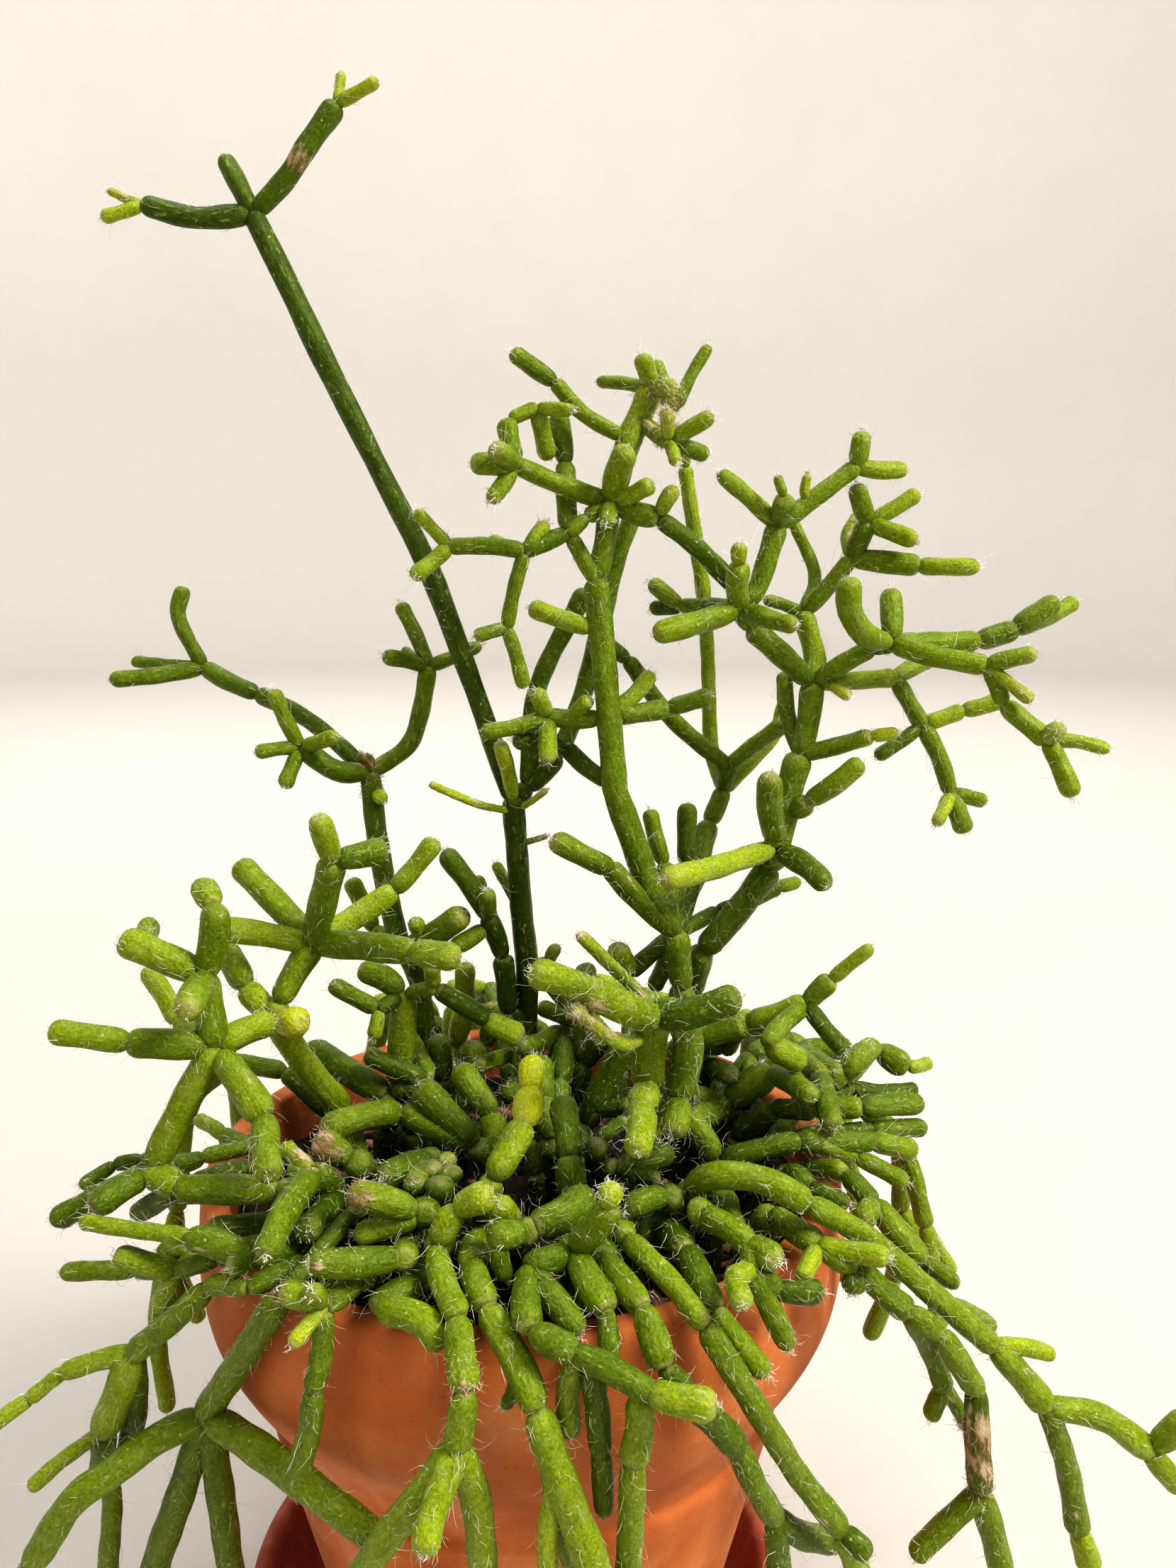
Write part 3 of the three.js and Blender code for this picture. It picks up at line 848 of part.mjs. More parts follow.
// chainsOf strings a tree's links into long chains. A chain goes on through the straightest next link and
// ends at a tip or before a sharp turn. Twigs that end free and are too slim to carry anything stay out.
function chainsOf(own, joints) {
  let kept = own;
  for (let before = -1; before !== kept.length; ) {
    before = kept.length;
    const uses = new Map();
    kept.forEach(({ a, b }) => [a, b].forEach((i) => uses.set(i, (uses.get(i) ?? 0) + 1)));
    kept = kept.filter(({ b, radius }) => radius * 2 >= TWIG || uses.get(b) > 1);
  }
  const wayOf = ({ a, b }) => {
    const way = less(joints[b].at, joints[a].at);
    return way.map((value) => value / Math.hypot(...way));
  };
  const unused = new Set(kept);
  const chains = [];
  kept.forEach((first) => {
    if (!unused.delete(first)) return;
    const chain = [first];
    for (;;) {
      const end = chain[chain.length - 1];
      const straight = (link) => dot(wayOf(end), wayOf(link));
      const next = [...unused].filter((link) => link.a === end.b && straight(link) > SHARP_TURN);
      if (next.length === 0) break;
      next.sort((one, two) => straight(two) - straight(one));
      unused.delete(next[0]);
      chain.push(next[0]);
    }
    const radii = [first, ...chain].map(({ radius }, i) => (radius + (chain[i] ?? chain[i - 1]).radius) / 2);
    chains.push({ route: [first.a, ...chain.map(({ b }) => b)].map((i) => joints[i].at), radii });
  });
  return chains;
}

function meshOf(name, geometry, color, roughness) {
  const material = new THREE.MeshStandardMaterial({ color, roughness, metalness: 0 });
  const mesh = new THREE.Mesh(geometry, material);
  mesh.name = name;
  return mesh;
}

// ---------------------------------------------------------------- pot, saucer and soil

function saucer() {
  const inner = SAUCER_RIM_RADIUS - SAUCER_RIM_WIDTH;
  const geometry = turned([
    [0, 0],
    [SAUCER_BASE_RADIUS, 0],
    [SAUCER_BASE_RADIUS + 2, 1.2],
    [SAUCER_RIM_RADIUS - 0.6, SAUCER_HEIGHT - 2],
    [SAUCER_RIM_RADIUS - 0.8, SAUCER_HEIGHT],
    [inner + 0.4, SAUCER_HEIGHT],
    [inner - 0.4, SAUCER_HEIGHT - 2],
    [SAUCER_BASE_RADIUS - 2, SAUCER_FLOOR + 1],
    [SAUCER_BASE_RADIUS - 4, SAUCER_FLOOR],
    [0, SAUCER_FLOOR],
  ], TURNED_SIDES);
  geometry.translate(SAUCER_SHIFT, 0, 0);
  return meshOf('saucer', geometryOf(solidOf(geometry)), SAUCER_CLAY, 0.7);
}

// innerRadius is the radius of the pot's inside at a height.
function innerRadius(height) {
  if (height >= GROOVE_HEIGHT + COLLAR_STEP) return LIP_RADIUS - WALL;
  if (height >= GROOVE_HEIGHT) {
    const share = (height - GROOVE_HEIGHT) / COLLAR_STEP;
    return GROOVE_RADIUS - WALL + share * (LIP_RADIUS - GROOVE_RADIUS);
  }
  const share = (height - FOOT_HEIGHT) / (GROOVE_HEIGHT - FOOT_HEIGHT);
  return FOOT_RADIUS - WALL + share * (GROOVE_RADIUS - FOOT_RADIUS);
}

function pot() {
  const floor = FOOT_HEIGHT + POT_FLOOR;
  const geometry = turned([
    [DRAIN_RADIUS, FOOT_HEIGHT],
    [FOOT_RADIUS - 1, FOOT_HEIGHT],
    [FOOT_RADIUS, FOOT_HEIGHT + 1.2],
    [SHOULDER_RADIUS, GROOVE_HEIGHT - 1.5],
    [GROOVE_RADIUS, GROOVE_HEIGHT],
    [GROOVE_RADIUS + 2.4, GROOVE_HEIGHT + 5],
    [GROOVE_RADIUS + 5.4, GROOVE_HEIGHT + 10],
    [COLLAR_RADIUS - 3.7, GROOVE_HEIGHT + 16],
    [COLLAR_RADIUS - 1, GROOVE_HEIGHT + 22],
    [COLLAR_RADIUS - 0.1, GROOVE_HEIGHT + 29],
    [COLLAR_RADIUS, GROOVE_HEIGHT + 34],
    [LIP_RADIUS, LIP_HEIGHT - 5],
    [LIP_RADIUS - 0.4, LIP_HEIGHT - 0.6],
    [LIP_RADIUS - 1.2, LIP_HEIGHT],
    [LIP_RADIUS - WALL + 0.8, LIP_HEIGHT],
    [innerRadius(LIP_HEIGHT), LIP_HEIGHT - 1],
    [innerRadius(GROOVE_HEIGHT + COLLAR_STEP), GROOVE_HEIGHT + COLLAR_STEP],
    [innerRadius(GROOVE_HEIGHT), GROOVE_HEIGHT],
    [innerRadius(floor), floor],
    [DRAIN_RADIUS, floor],
    [DRAIN_RADIUS, FOOT_HEIGHT],
  ], TURNED_SIDES);
  return meshOf('pot', geometryOf(solidOf(geometry)), TERRACOTTA, 0.85);
}

// soil fills the pot, with a socket round each stem.
function soil(chains) {
  const floor = FOOT_HEIGHT + POT_FLOOR + GAP;
  const edge = innerRadius(SOIL_HEIGHT) - GAP;
  const ball = turned([
    [0, floor],
    [innerRadius(floor) - GAP, floor],
    [innerRadius(GROOVE_HEIGHT) - GAP, GROOVE_HEIGHT],
    [edge, GROOVE_HEIGHT + COLLAR_STEP],
    [edge, SOIL_HEIGHT - 1.5],
    [edge * 0.8, SOIL_HEIGHT],
    [edge * 0.4, SOIL_HEIGHT + SOIL_CROWN * 0.8],
    [0, SOIL_HEIGHT + SOIL_CROWN],
  ], TURNED_SIDES);
  const low = chains.filter(({ route }) => route.some((at) => at[2] < SOIL_HEIGHT + SOCKET_ABOVE));
  const sockets = low.map((chain) => solidOf(rod(chain, GAP)));
  const cut = solidOf(ball).subtract(wasm.Manifold.union(sockets));
  const largest = cut.decompose().reduce((best, piece) => (piece.volume() > best.volume() ? piece : best));
  return meshOf('soil', geometryOf(largest), SOIL_BROWN, 1);
}

// ---------------------------------------------------------------- the whole

const stems = { ...STEMS };
BACK_STEMS.forEach((settings, i) => {
  stems[`back_stem_${i + 1}`] = backStem(settings);
});
const { joints, links } = growStems(stems);
easeApart(joints, links);

const chains = Object.keys(stems).map((tree) => chainsOf(links.filter((link) => link.tree === tree), joints));

const cactus = new THREE.Group();
cactus.add(saucer());
cactus.add(pot());
cactus.add(soil(chains.flat()));
Object.entries(stems).forEach(([tree, runs], i) => {
  const rods = chains[i].map((chain) => solidOf(rod(chain)));
  const freshness = runs.reduce((sum, run) => sum + run[1], 0) / runs.length;
  const color = YOUNG_GREEN.clone().lerp(OLD_GREEN, freshness);
  cactus.add(meshOf(tree, geometryOf(wasm.Manifold.union(rods)), color, 0.65));
});

export default cactus;
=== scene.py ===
# %% [markdown]
# # A mistletoe cactus in its clay pot
# A mistletoe cactus grows as chains of green, pencil-like links. Each link is pinched where the next one
# starts, and old plants make a dense mound that spills over the rim of the pot. We build the plant link by
# link from a list of joints, turn the pot and saucer like pottery on a wheel, and fill the pot with loose
# potting mix. The hidden frame says where every piece is, in metres, so we load it first and keep its size to
# print beside the new size at the end.

import math

import bpy
import numpy as np
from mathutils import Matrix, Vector, noise


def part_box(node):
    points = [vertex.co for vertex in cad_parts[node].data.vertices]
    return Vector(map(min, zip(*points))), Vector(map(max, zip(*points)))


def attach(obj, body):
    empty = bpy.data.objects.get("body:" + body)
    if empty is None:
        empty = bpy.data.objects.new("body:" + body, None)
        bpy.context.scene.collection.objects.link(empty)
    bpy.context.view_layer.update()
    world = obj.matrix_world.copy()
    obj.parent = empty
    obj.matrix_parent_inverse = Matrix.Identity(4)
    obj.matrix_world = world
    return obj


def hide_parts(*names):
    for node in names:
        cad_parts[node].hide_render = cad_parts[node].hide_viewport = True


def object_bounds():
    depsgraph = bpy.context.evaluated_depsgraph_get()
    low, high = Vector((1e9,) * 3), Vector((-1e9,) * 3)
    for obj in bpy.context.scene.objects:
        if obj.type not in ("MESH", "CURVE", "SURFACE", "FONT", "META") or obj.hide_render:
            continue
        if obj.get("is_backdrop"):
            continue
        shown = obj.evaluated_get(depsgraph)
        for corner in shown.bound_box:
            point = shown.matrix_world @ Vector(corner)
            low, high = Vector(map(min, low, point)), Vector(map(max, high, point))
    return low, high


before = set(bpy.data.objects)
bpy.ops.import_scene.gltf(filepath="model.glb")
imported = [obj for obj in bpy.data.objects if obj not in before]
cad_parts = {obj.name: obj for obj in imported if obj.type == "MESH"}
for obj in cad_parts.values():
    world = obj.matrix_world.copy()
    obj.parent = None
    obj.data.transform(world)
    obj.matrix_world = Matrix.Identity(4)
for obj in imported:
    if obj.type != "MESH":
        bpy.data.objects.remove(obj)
CAD_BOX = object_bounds()
MM = 0.001
print("frame nodes:", len(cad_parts), "box:", [[round(v, 4) for v in corner] for corner in CAD_BOX])

# %% [markdown]
# ## Helpers for modelling
# An operator works on everything that is selected, so each piece starts from a clean selection. We also need
# a quick way to take a mesh out as plain arrays and to put arrays back as a new mesh, because hundreds of
# links are copies of one modelled link.

# %% Selection and mesh helpers
def deselect():
    if bpy.context.object and bpy.context.object.mode != "OBJECT":
        bpy.ops.object.mode_set(mode="OBJECT")
    bpy.ops.object.select_all(action="DESELECT")


def apply_all(piece):
    """Applies the modifiers and puts the piece's place into its mesh."""
    deselect()
    piece.select_set(True)
    bpy.context.view_layer.objects.active = piece
    for modifier in list(piece.modifiers):
        bpy.ops.object.modifier_apply(modifier=modifier.name)
    bpy.ops.object.transform_apply(location=True, rotation=True, scale=True)
    return piece


def arrays_of(piece):
    """The vertices of a mesh as an array and its faces as lists, and the object is thrown away."""
    points = np.array([v.co for v in piece.data.vertices], float)
    faces = [list(p.vertices) for p in piece.data.polygons]
    bpy.data.objects.remove(piece)
    return points, faces


class Batch:
    """Collects copies of small templates until they become one mesh with named point values."""

    def __init__(self):
        self.points, self.faces, self.slots, self.values, self.count = [], [], [], {}, 0

    def add(self, points, faces, slot=0, **values):
        self.points.append(points)
        self.faces.extend([[i + self.count for i in face] for face in faces])
        self.slots.extend([slot] * len(faces))
        for name, value in values.items():
            self.values.setdefault(name, []).append((self.count, np.asarray(value, float)))
        self.count += len(points)

    def mesh(self, name, materials):
        data = bpy.data.meshes.new(name)
        points = np.concatenate(self.points)
        data.from_pydata((points * MM).tolist(), [], self.faces)
        for material in materials:
            data.materials.append(material)
        data.polygons.foreach_set("material_index", self.slots)
        data.polygons.foreach_set("use_smooth", [True] * len(self.faces))
        for key, parts in self.values.items():
            wide = parts[0][1].ndim == 2
            whole = np.zeros((self.count, 3) if wide else self.count, np.float32)
            for start, value in parts:
                whole[start:start + len(value)] = value
            kind, field = ("FLOAT_VECTOR", "vector") if wide else ("FLOAT", "value")
            data.attributes.new(key, kind, "POINT").data.foreach_set(field, whole.ravel())
        data.update()
        piece = bpy.data.objects.new(name, data)
        bpy.context.scene.collection.objects.link(piece)
        return piece


def triangles(piece):
    return sum(len(p.vertices) - 2 for p in piece.data.polygons)


def place(piece, *nodes, slot=None):
    """Every piece rides on the root and stands for its node; the slot is not used."""
    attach(piece, "root")
    if nodes:
        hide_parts(*nodes)
    return piece


print("an empty batch keeps:", ", ".join(vars(Batch())))

# %% [markdown]
# ## Helpers for materials
# A material is a chain of nodes. Writing the chain is easier with one helper that adds a node, plugs in what
# it is given, and hands the node back. Colours are written as a painter would pick them, in the usual
# eight-bit values.

# %% Node helpers
def paint(red, green, blue):
    """Eight-bit values made into the linear light that shaders work in."""
    shares = (value / 255 for value in (red, green, blue))
    return (*(v / 12.92 if v <= 0.04 else ((v + 0.055) / 1.055) ** 2.4 for v in shares), 1.0)


def add(tree, kind, inputs=None, **settings):
    made = tree.nodes.new("ShaderNode" + kind)
    for name, value in settings.items():
        setattr(made, name, value)
    for name, value in (inputs or {}).items():
        if isinstance(value, bpy.types.NodeSocket):
            tree.links.new(value, made.inputs[name])
        else:
            made.inputs[name].default_value = value
    return made


def cloud(tree, vector, scale, detail=3.0, rough=0.55):
    inputs = {"Vector": vector, "Scale": scale, "Detail": detail, "Roughness": rough}
    return add(tree, "TexNoise", inputs).outputs["Fac"]


def stretch(tree, vector, scale):
    return add(tree, "Mapping", {"Vector": vector, "Scale": scale}).outputs["Vector"]


def span(tree, value, low, high, to_low=0.0, to_high=1.0):
    inputs = {"Value": value, "From Min": low, "From Max": high, "To Min": to_low, "To Max": to_high}
    return add(tree, "MapRange", inputs).outputs["Result"]


def maths(tree, operation, a, b):
    return add(tree, "Math", {0: a, 1: b}, operation=operation).outputs[0]


def weighted(tree, *pairs):
    """The sum of values, each times its weight."""
    total = None
    for value, weight in pairs:
        part = value if weight == 1 else maths(tree, "MULTIPLY", value, weight)
        total = part if total is None else maths(tree, "ADD", total, part)
    return total


def mixed(tree, share, a, b, blend="MIX"):
    return add(tree, "Mix", {0: share, 6: a, 7: b}, data_type="RGBA", blend_type=blend).outputs[2]


def ramp(tree, value, *stops):
    made = add(tree, "ValToRGB", {"Fac": value})
    while len(made.color_ramp.elements) < len(stops):
        made.color_ramp.elements.new(0.5)
    for element, (position, colour) in zip(made.color_ramp.elements, stops):
        element.position, element.color = position, colour
    return made.outputs["Color"]


def material(name):
    """A new material, its tree, its shader and Object coordinates."""
    made = bpy.data.materials.new(name)
    made.use_nodes = True
    tree = made.node_tree
    shader = tree.nodes["Principled BSDF"]
    return made, tree, shader, add(tree, "TexCoord").outputs["Object"]


def bumped(tree, shader, height, strength, distance):
    bump = add(tree, "Bump", {"Height": height, "Strength": strength, "Distance": distance})
    tree.links.new(bump.outputs["Normal"], shader.inputs["Normal"])


print("middle grey in linear light:", [round(v, 3) for v in paint(128, 128, 128)])

# %% [markdown]
# ## Two effects that every finish shares
# Clay, soil, bark and plant skin all have uneven patches and small light specks. Both effects are node
# groups, made once and placed in each material with its own scale, so the whole object ages in the same way.

# %% Shared node groups
def new_group(name, inputs):
    group = bpy.data.node_groups.new(name, "ShaderNodeTree")
    group.interface.new_socket("Vector", in_out="INPUT", socket_type="NodeSocketVector")
    for label, value in inputs:
        group.interface.new_socket(label, in_out="INPUT", socket_type="NodeSocketFloat").default_value = value
    group.interface.new_socket("Value", in_out="OUTPUT", socket_type="NodeSocketFloat")
    return group, group.nodes.new("NodeGroupInput"), group.nodes.new("NodeGroupOutput")


def patches_group():
    group, given, out = new_group("patches", [("Scale", 100.0), ("Contrast", 1.0)])
    wide = cloud(group, given.outputs["Vector"], given.outputs["Scale"], 2.0, 0.5)
    finer = maths(group, "MULTIPLY", given.outputs["Scale"], 3.7)
    small = cloud(group, given.outputs["Vector"], finer, 3.0, 0.6)
    centred = maths(group, "SUBTRACT", weighted(group, (wide, 0.6), (small, 0.4)), 0.5)
    strong = add(group, "Math", {0: centred, 1: given.outputs["Contrast"], 2: 0.5}, operation="MULTIPLY_ADD")
    group.links.new(strong.outputs[0], out.inputs["Value"])
    return group


def specks_group():
    group, given, out = new_group("specks", [("Scale", 400.0), ("Size", 0.12), ("Share", 0.5)])
    cells = add(group, "TexVoronoi", {"Vector": given.outputs["Vector"], "Scale": given.outputs["Scale"]})
    dot = add(group, "Math", {0: cells.outputs["Distance"], 1: given.outputs["Size"]}, operation="LESS_THAN")
    colour = add(group, "SeparateColor", {"Color": cells.outputs["Color"]})
    chosen = add(group, "Math", {0: colour.outputs["Red"], 1: given.outputs["Share"]}, operation="LESS_THAN")
    group.links.new(maths(group, "MULTIPLY", dot.outputs[0], chosen.outputs[0]), out.inputs["Value"])
    return group


PATCHES, SPECKS = patches_group(), specks_group()


def use(tree, group, vector, **values):
    made = add(tree, "Group", node_tree=group)
    tree.links.new(vector, made.inputs["Vector"])
    for name, value in values.items():
        made.inputs[name.capitalize()].default_value = value
    return made.outputs["Value"]


print("node groups:", [g.name for g in bpy.data.node_groups])

# %% [markdown]
# ## Fired clay
# Terracotta is dry and matt, orange where it is clean and browner where water has crept through it. A flat
# orange would look like plastic, so the colour comes from a ramp driven by wide patches and streaks drawn out
# lengthwise, with fine grit on top. The saucer is the same clay in darker, redder colours and a little less
# rough.

# %% Clay materials
def clay(name, dark, middle, light, rough, chalk):
    made, tree, shader, place_of = material(name)
    wide = use(tree, PATCHES, place_of, scale=22.0, contrast=1.5)
    drawn = cloud(tree, stretch(tree, place_of, (1.0, 1.0, 0.16)), 95.0, 3.0, 0.6)
    colour = ramp(tree, weighted(tree, (wide, 0.7), (drawn, 0.3)), (0.22, dark), (0.5, middle), (0.78, light))
    grit = use(tree, SPECKS, place_of, scale=620.0, size=0.2, share=0.35)
    colour = mixed(tree, maths(tree, "MULTIPLY", grit, 0.35), colour, dark)
    bloom = span(tree, use(tree, PATCHES, place_of, scale=45.0, contrast=3.0), 0.62, 0.95, 0.0, chalk)
    colour = mixed(tree, bloom, colour, paint(232, 196, 164))
    tree.links.new(colour, shader.inputs["Base Color"])
    tree.links.new(span(tree, wide, 0.2, 0.8, rough + 0.1, rough - 0.08), shader.inputs["Roughness"])
    shader.inputs["Specular IOR Level"].default_value = 0.35
    rings = cloud(tree, stretch(tree, place_of, (0.25, 0.25, 3.2)), 130.0, 2.0, 0.5)
    grain = cloud(tree, place_of, 1900.0, 2.0, 0.6)
    bumped(tree, shader, weighted(tree, (rings, 0.7), (grain, 0.3)), 0.5, 0.0005)
    return made


TERRACOTTA = clay("terracotta", paint(144, 71, 25), paint(190, 104, 46), paint(218, 136, 77), 0.76, 0.12)
SAUCER_CLAY = clay("saucer_clay", paint(104, 40, 26), paint(146, 64, 40), paint(178, 88, 56), 0.62, 0.08)
print("clay nodes:", len(TERRACOTTA.node_tree.nodes))

# %% [markdown]
# ## The pot
# The pot is thrown round one axis: a tapered foot, a groove, and a tall collar that swells out and rolls in
# at the lip. A potter pulls one outline round the wheel, and so do we. We extrude a single point along the
# outline of the wall, inside and out, spin it a full turn, and let one level of subdivision round the edges
# that a thumb would.

# %% Pot sizes and outline
SAUCER_SHIFT, SAUCER_BASE, SAUCER_HEIGHT, SAUCER_FLOOR = -3.0, 44.0, 23.6, 4.0
SAUCER_RIM, SAUCER_RIM_WIDTH = 56.0, 3.8
LIP_HEIGHT, LIP_RADIUS, COLLAR_RADIUS, GROOVE_HEIGHT, GROOVE_RADIUS = 118.0, 62.8, 63.5, 72.0, 50.6
SHOULDER_RADIUS, FOOT_RADIUS, FOOT_HEIGHT, WALL, POT_FLOOR, DRAIN_RADIUS = 52.0, 36.5, 4.3, 5.4, 6.0, 6.0
SOIL_HEIGHT, SOIL_CROWN, ROOT_HEIGHT = 108.0, 1.2, 97.0
TURNS = 96

INSIDE = [(LIP_RADIUS - WALL, LIP_HEIGHT - 1), (LIP_RADIUS - WALL, GROOVE_HEIGHT + 12),
          (GROOVE_RADIUS - WALL, GROOVE_HEIGHT), (FOOT_RADIUS - WALL, FOOT_HEIGHT + POT_FLOOR)]
POT_OUTLINE = [
    (DRAIN_RADIUS, FOOT_HEIGHT), (DRAIN_RADIUS + 1, FOOT_HEIGHT), (FOOT_RADIUS - 1.5, FOOT_HEIGHT),
    (FOOT_RADIUS - 0.5, FOOT_HEIGHT + 0.3), (FOOT_RADIUS, FOOT_HEIGHT + 1.4), (44.1, 38.0),
    (SHOULDER_RADIUS, 69.8), (SHOULDER_RADIUS, 70.8), (GROOVE_RADIUS + 0.4, 71.6),
    (GROOVE_RADIUS + 0.1, 72.4), (GROOVE_RADIUS + 1.3, 75.0), (GROOVE_RADIUS + 3.4, 79.0),
    (GROOVE_RADIUS + 6.6, 84.0), (COLLAR_RADIUS - 3.7, 88.2), (COLLAR_RADIUS - 1.6, 92.6),
    (COLLAR_RADIUS - 0.5, 97.0), (COLLAR_RADIUS, 102.0), (COLLAR_RADIUS, 107.0),
    (LIP_RADIUS + 0.2, 112.8), (LIP_RADIUS - 0.1, 116.4), (LIP_RADIUS - 0.7, 117.6),
    (LIP_RADIUS - 1.8, LIP_HEIGHT), (LIP_RADIUS - WALL + 1.6, LIP_HEIGHT),
    (LIP_RADIUS - WALL + 0.4, LIP_HEIGHT - 0.4), *INSIDE[:2], (53.0, 79.0), *INSIDE[2:],
    (DRAIN_RADIUS + 1, FOOT_HEIGHT + POT_FLOOR), (DRAIN_RADIUS, FOOT_HEIGHT + POT_FLOOR),
    (DRAIN_RADIUS, FOOT_HEIGHT),
]
print("the wall's outline has", len(POT_OUTLINE), "points")


def turned(name, outline, shift=0.0):
    """Extrudes one point along (radius, height) places and spins the line round a vertical axis."""
    deselect()
    bpy.ops.mesh.primitive_plane_add(size=MM, location=(outline[0][0] * MM, 0, outline[0][1] * MM))
    bpy.ops.object.transform_apply(location=True)
    piece = bpy.context.object
    piece.name = name
    bpy.ops.object.mode_set(mode="EDIT")
    bpy.ops.mesh.merge(type="CENTER")
    for (r0, z0), (r1, z1) in zip(outline, outline[1:]):
        step = ((r1 - r0) * MM, 0, (z1 - z0) * MM)
        bpy.ops.mesh.extrude_region_move(TRANSFORM_OT_translate={"value": step})
    bpy.ops.mesh.select_all(action="SELECT")
    bpy.ops.mesh.spin(steps=TURNS, angle=math.tau, center=(0, 0, 0), axis=(0, 0, 1))
    bpy.ops.mesh.select_all(action="SELECT")
    bpy.ops.mesh.remove_doubles(threshold=2e-6)
    bpy.ops.mesh.normals_make_consistent(inside=False)
    bpy.ops.object.mode_set(mode="OBJECT")
    piece.location.x = shift * MM
    return piece

# %% Turn the pot
def softened(piece, finish):
    piece.modifiers.new("rounding", "SUBSURF").levels = 1
    piece.modifiers["rounding"].render_levels = 1
    apply_all(piece)
    bpy.ops.object.shade_smooth()
    piece.data.materials.append(finish)
    return piece


pot = softened(turned("clay_pot", POT_OUTLINE), TERRACOTTA)
place(pot, "pot", slot="terracotta")
print("pot:", triangles(pot), "triangles, widest", round(pot.dimensions.x, 4), "m")

# %% [markdown]
# ## The saucer
# The saucer is a shallow dish with a thick rounded rim. It is turned in the same way, from the middle of its
# underside out to the rim and back to the middle, and set a few millimetres to the left, as it was put down.

# %% Turn the saucer
BOWL = SAUCER_RIM - SAUCER_RIM_WIDTH
SAUCER_OUTLINE = [
    (0, 0), (20, 0), (SAUCER_BASE - 2, 0), (SAUCER_BASE - 0.2, 0), (SAUCER_BASE + 1.4, 0.5),
    (SAUCER_BASE + 2.6, 2.0), (50.4, 11.0), (SAUCER_RIM - 1.3, 19.6), (SAUCER_RIM - 0.5, 21.2),
    (SAUCER_RIM - 0.2, 22.4), (SAUCER_RIM - 0.8, 23.3), (SAUCER_RIM - 1.9, SAUCER_HEIGHT), (BOWL + 0.8, 23.4),
    (BOWL - 0.2, 22.4), (BOWL - 0.8, 20.8), (47.4, 13.0), (SAUCER_BASE - 1.2, SAUCER_FLOOR + 1.6),
    (SAUCER_BASE - 3, SAUCER_FLOOR + 0.2), (SAUCER_BASE - 6, SAUCER_FLOOR), (20, SAUCER_FLOOR),
    (0, SAUCER_FLOOR),
]
saucer = softened(turned("clay_saucer", SAUCER_OUTLINE, SAUCER_SHIFT), SAUCER_CLAY)
place(saucer, "saucer", slot="saucer_clay")
print("saucer:", triangles(saucer), "triangles, height", round(saucer.dimensions.z, 4), "m")

# %% [markdown]
# ## Potting mix
# The mix is dark, crumbly peat with flakes of pinkish bark. Under the stems little of it shows, but it must
# look loose from every side. The body is a turned plug whose top is roughened, and one crumb and one bark
# flake, modelled once each, are scattered over it with their own sizes and turns.

# %% Soil and bark materials
def earth(name, dark, middle, light, scale):
    made, tree, shader, place_of = material(name)
    tone = use(tree, PATCHES, place_of, scale=scale, contrast=2.4)
    colour = ramp(tree, tone, (0.2, dark), (0.55, middle), (0.85, light))
    flecks = use(tree, SPECKS, place_of, scale=700.0, size=0.22, share=0.2)
    colour = mixed(tree, maths(tree, "MULTIPLY", flecks, 0.5), colour, light)
    tree.links.new(colour, shader.inputs["Base Color"])
    tree.links.new(span(tree, tone, 0.2, 0.8, 0.95, 0.75), shader.inputs["Roughness"])
    shader.inputs["Specular IOR Level"].default_value = 0.25
    bumped(tree, shader, cloud(tree, place_of, scale * 5, 4.0, 0.65), 0.8, 0.0008)
    return made


SOIL = earth("potting_mix", paint(14, 9, 6), paint(32, 22, 15), paint(62, 44, 31), 160.0)
BARK = earth("bark", paint(72, 42, 30), paint(122, 80, 60), paint(168, 124, 100), 230.0)
print("earth nodes:", len(SOIL.node_tree.nodes))

# %% Crumb and bark flake templates
def crumb_template():
    deselect()
    bpy.ops.mesh.primitive_ico_sphere_add(subdivisions=1, radius=1)
    points, faces = arrays_of(bpy.context.object)
    rng = np.random.default_rng(3)
    return points * rng.uniform(0.7, 1.2, (len(points), 1)), faces


def flake_template():
    """A cube pressed flat, its ends pulled to blunt points and its edges bevelled."""
    deselect()
    bpy.ops.mesh.primitive_cube_add(size=2)
    piece = bpy.context.object
    bpy.ops.object.mode_set(mode="EDIT")
    bpy.ops.transform.resize(value=(1.0, 0.55, 0.2))
    bpy.ops.mesh.subdivide(number_cuts=1)
    bpy.ops.object.mode_set(mode="OBJECT")
    for vertex in piece.data.vertices:
        vertex.co.y *= 1.0 - 0.35 * abs(vertex.co.x)
        vertex.co.z += 0.16 * vertex.co.x ** 2
    bevel = piece.modifiers.new("worn", "BEVEL")
    bevel.width, bevel.segments = 0.07, 1
    return arrays_of(apply_all(piece))


def turn_of(rng, flat=1.0):
    """A random turn; flat near 0 keeps a flake lying down."""
    a, b, c = rng.uniform(0, math.tau), rng.normal(0, 0.9 * flat), rng.normal(0, 0.9 * flat)
    around = np.array([[math.cos(a), -math.sin(a), 0], [math.sin(a), math.cos(a), 0], [0, 0, 1]])
    tip = np.array([[1, 0, 0], [0, math.cos(b), -math.sin(b)], [0, math.sin(b), math.cos(b)]])
    nod = np.array([[math.cos(c), 0, math.sin(c)], [0, 1, 0], [-math.sin(c), 0, math.cos(c)]])
    return around @ tip @ nod


CRUMB, FLAKE = crumb_template(), flake_template()
print("crumb faces:", len(CRUMB[1]), "flake faces:", len(FLAKE[1]))

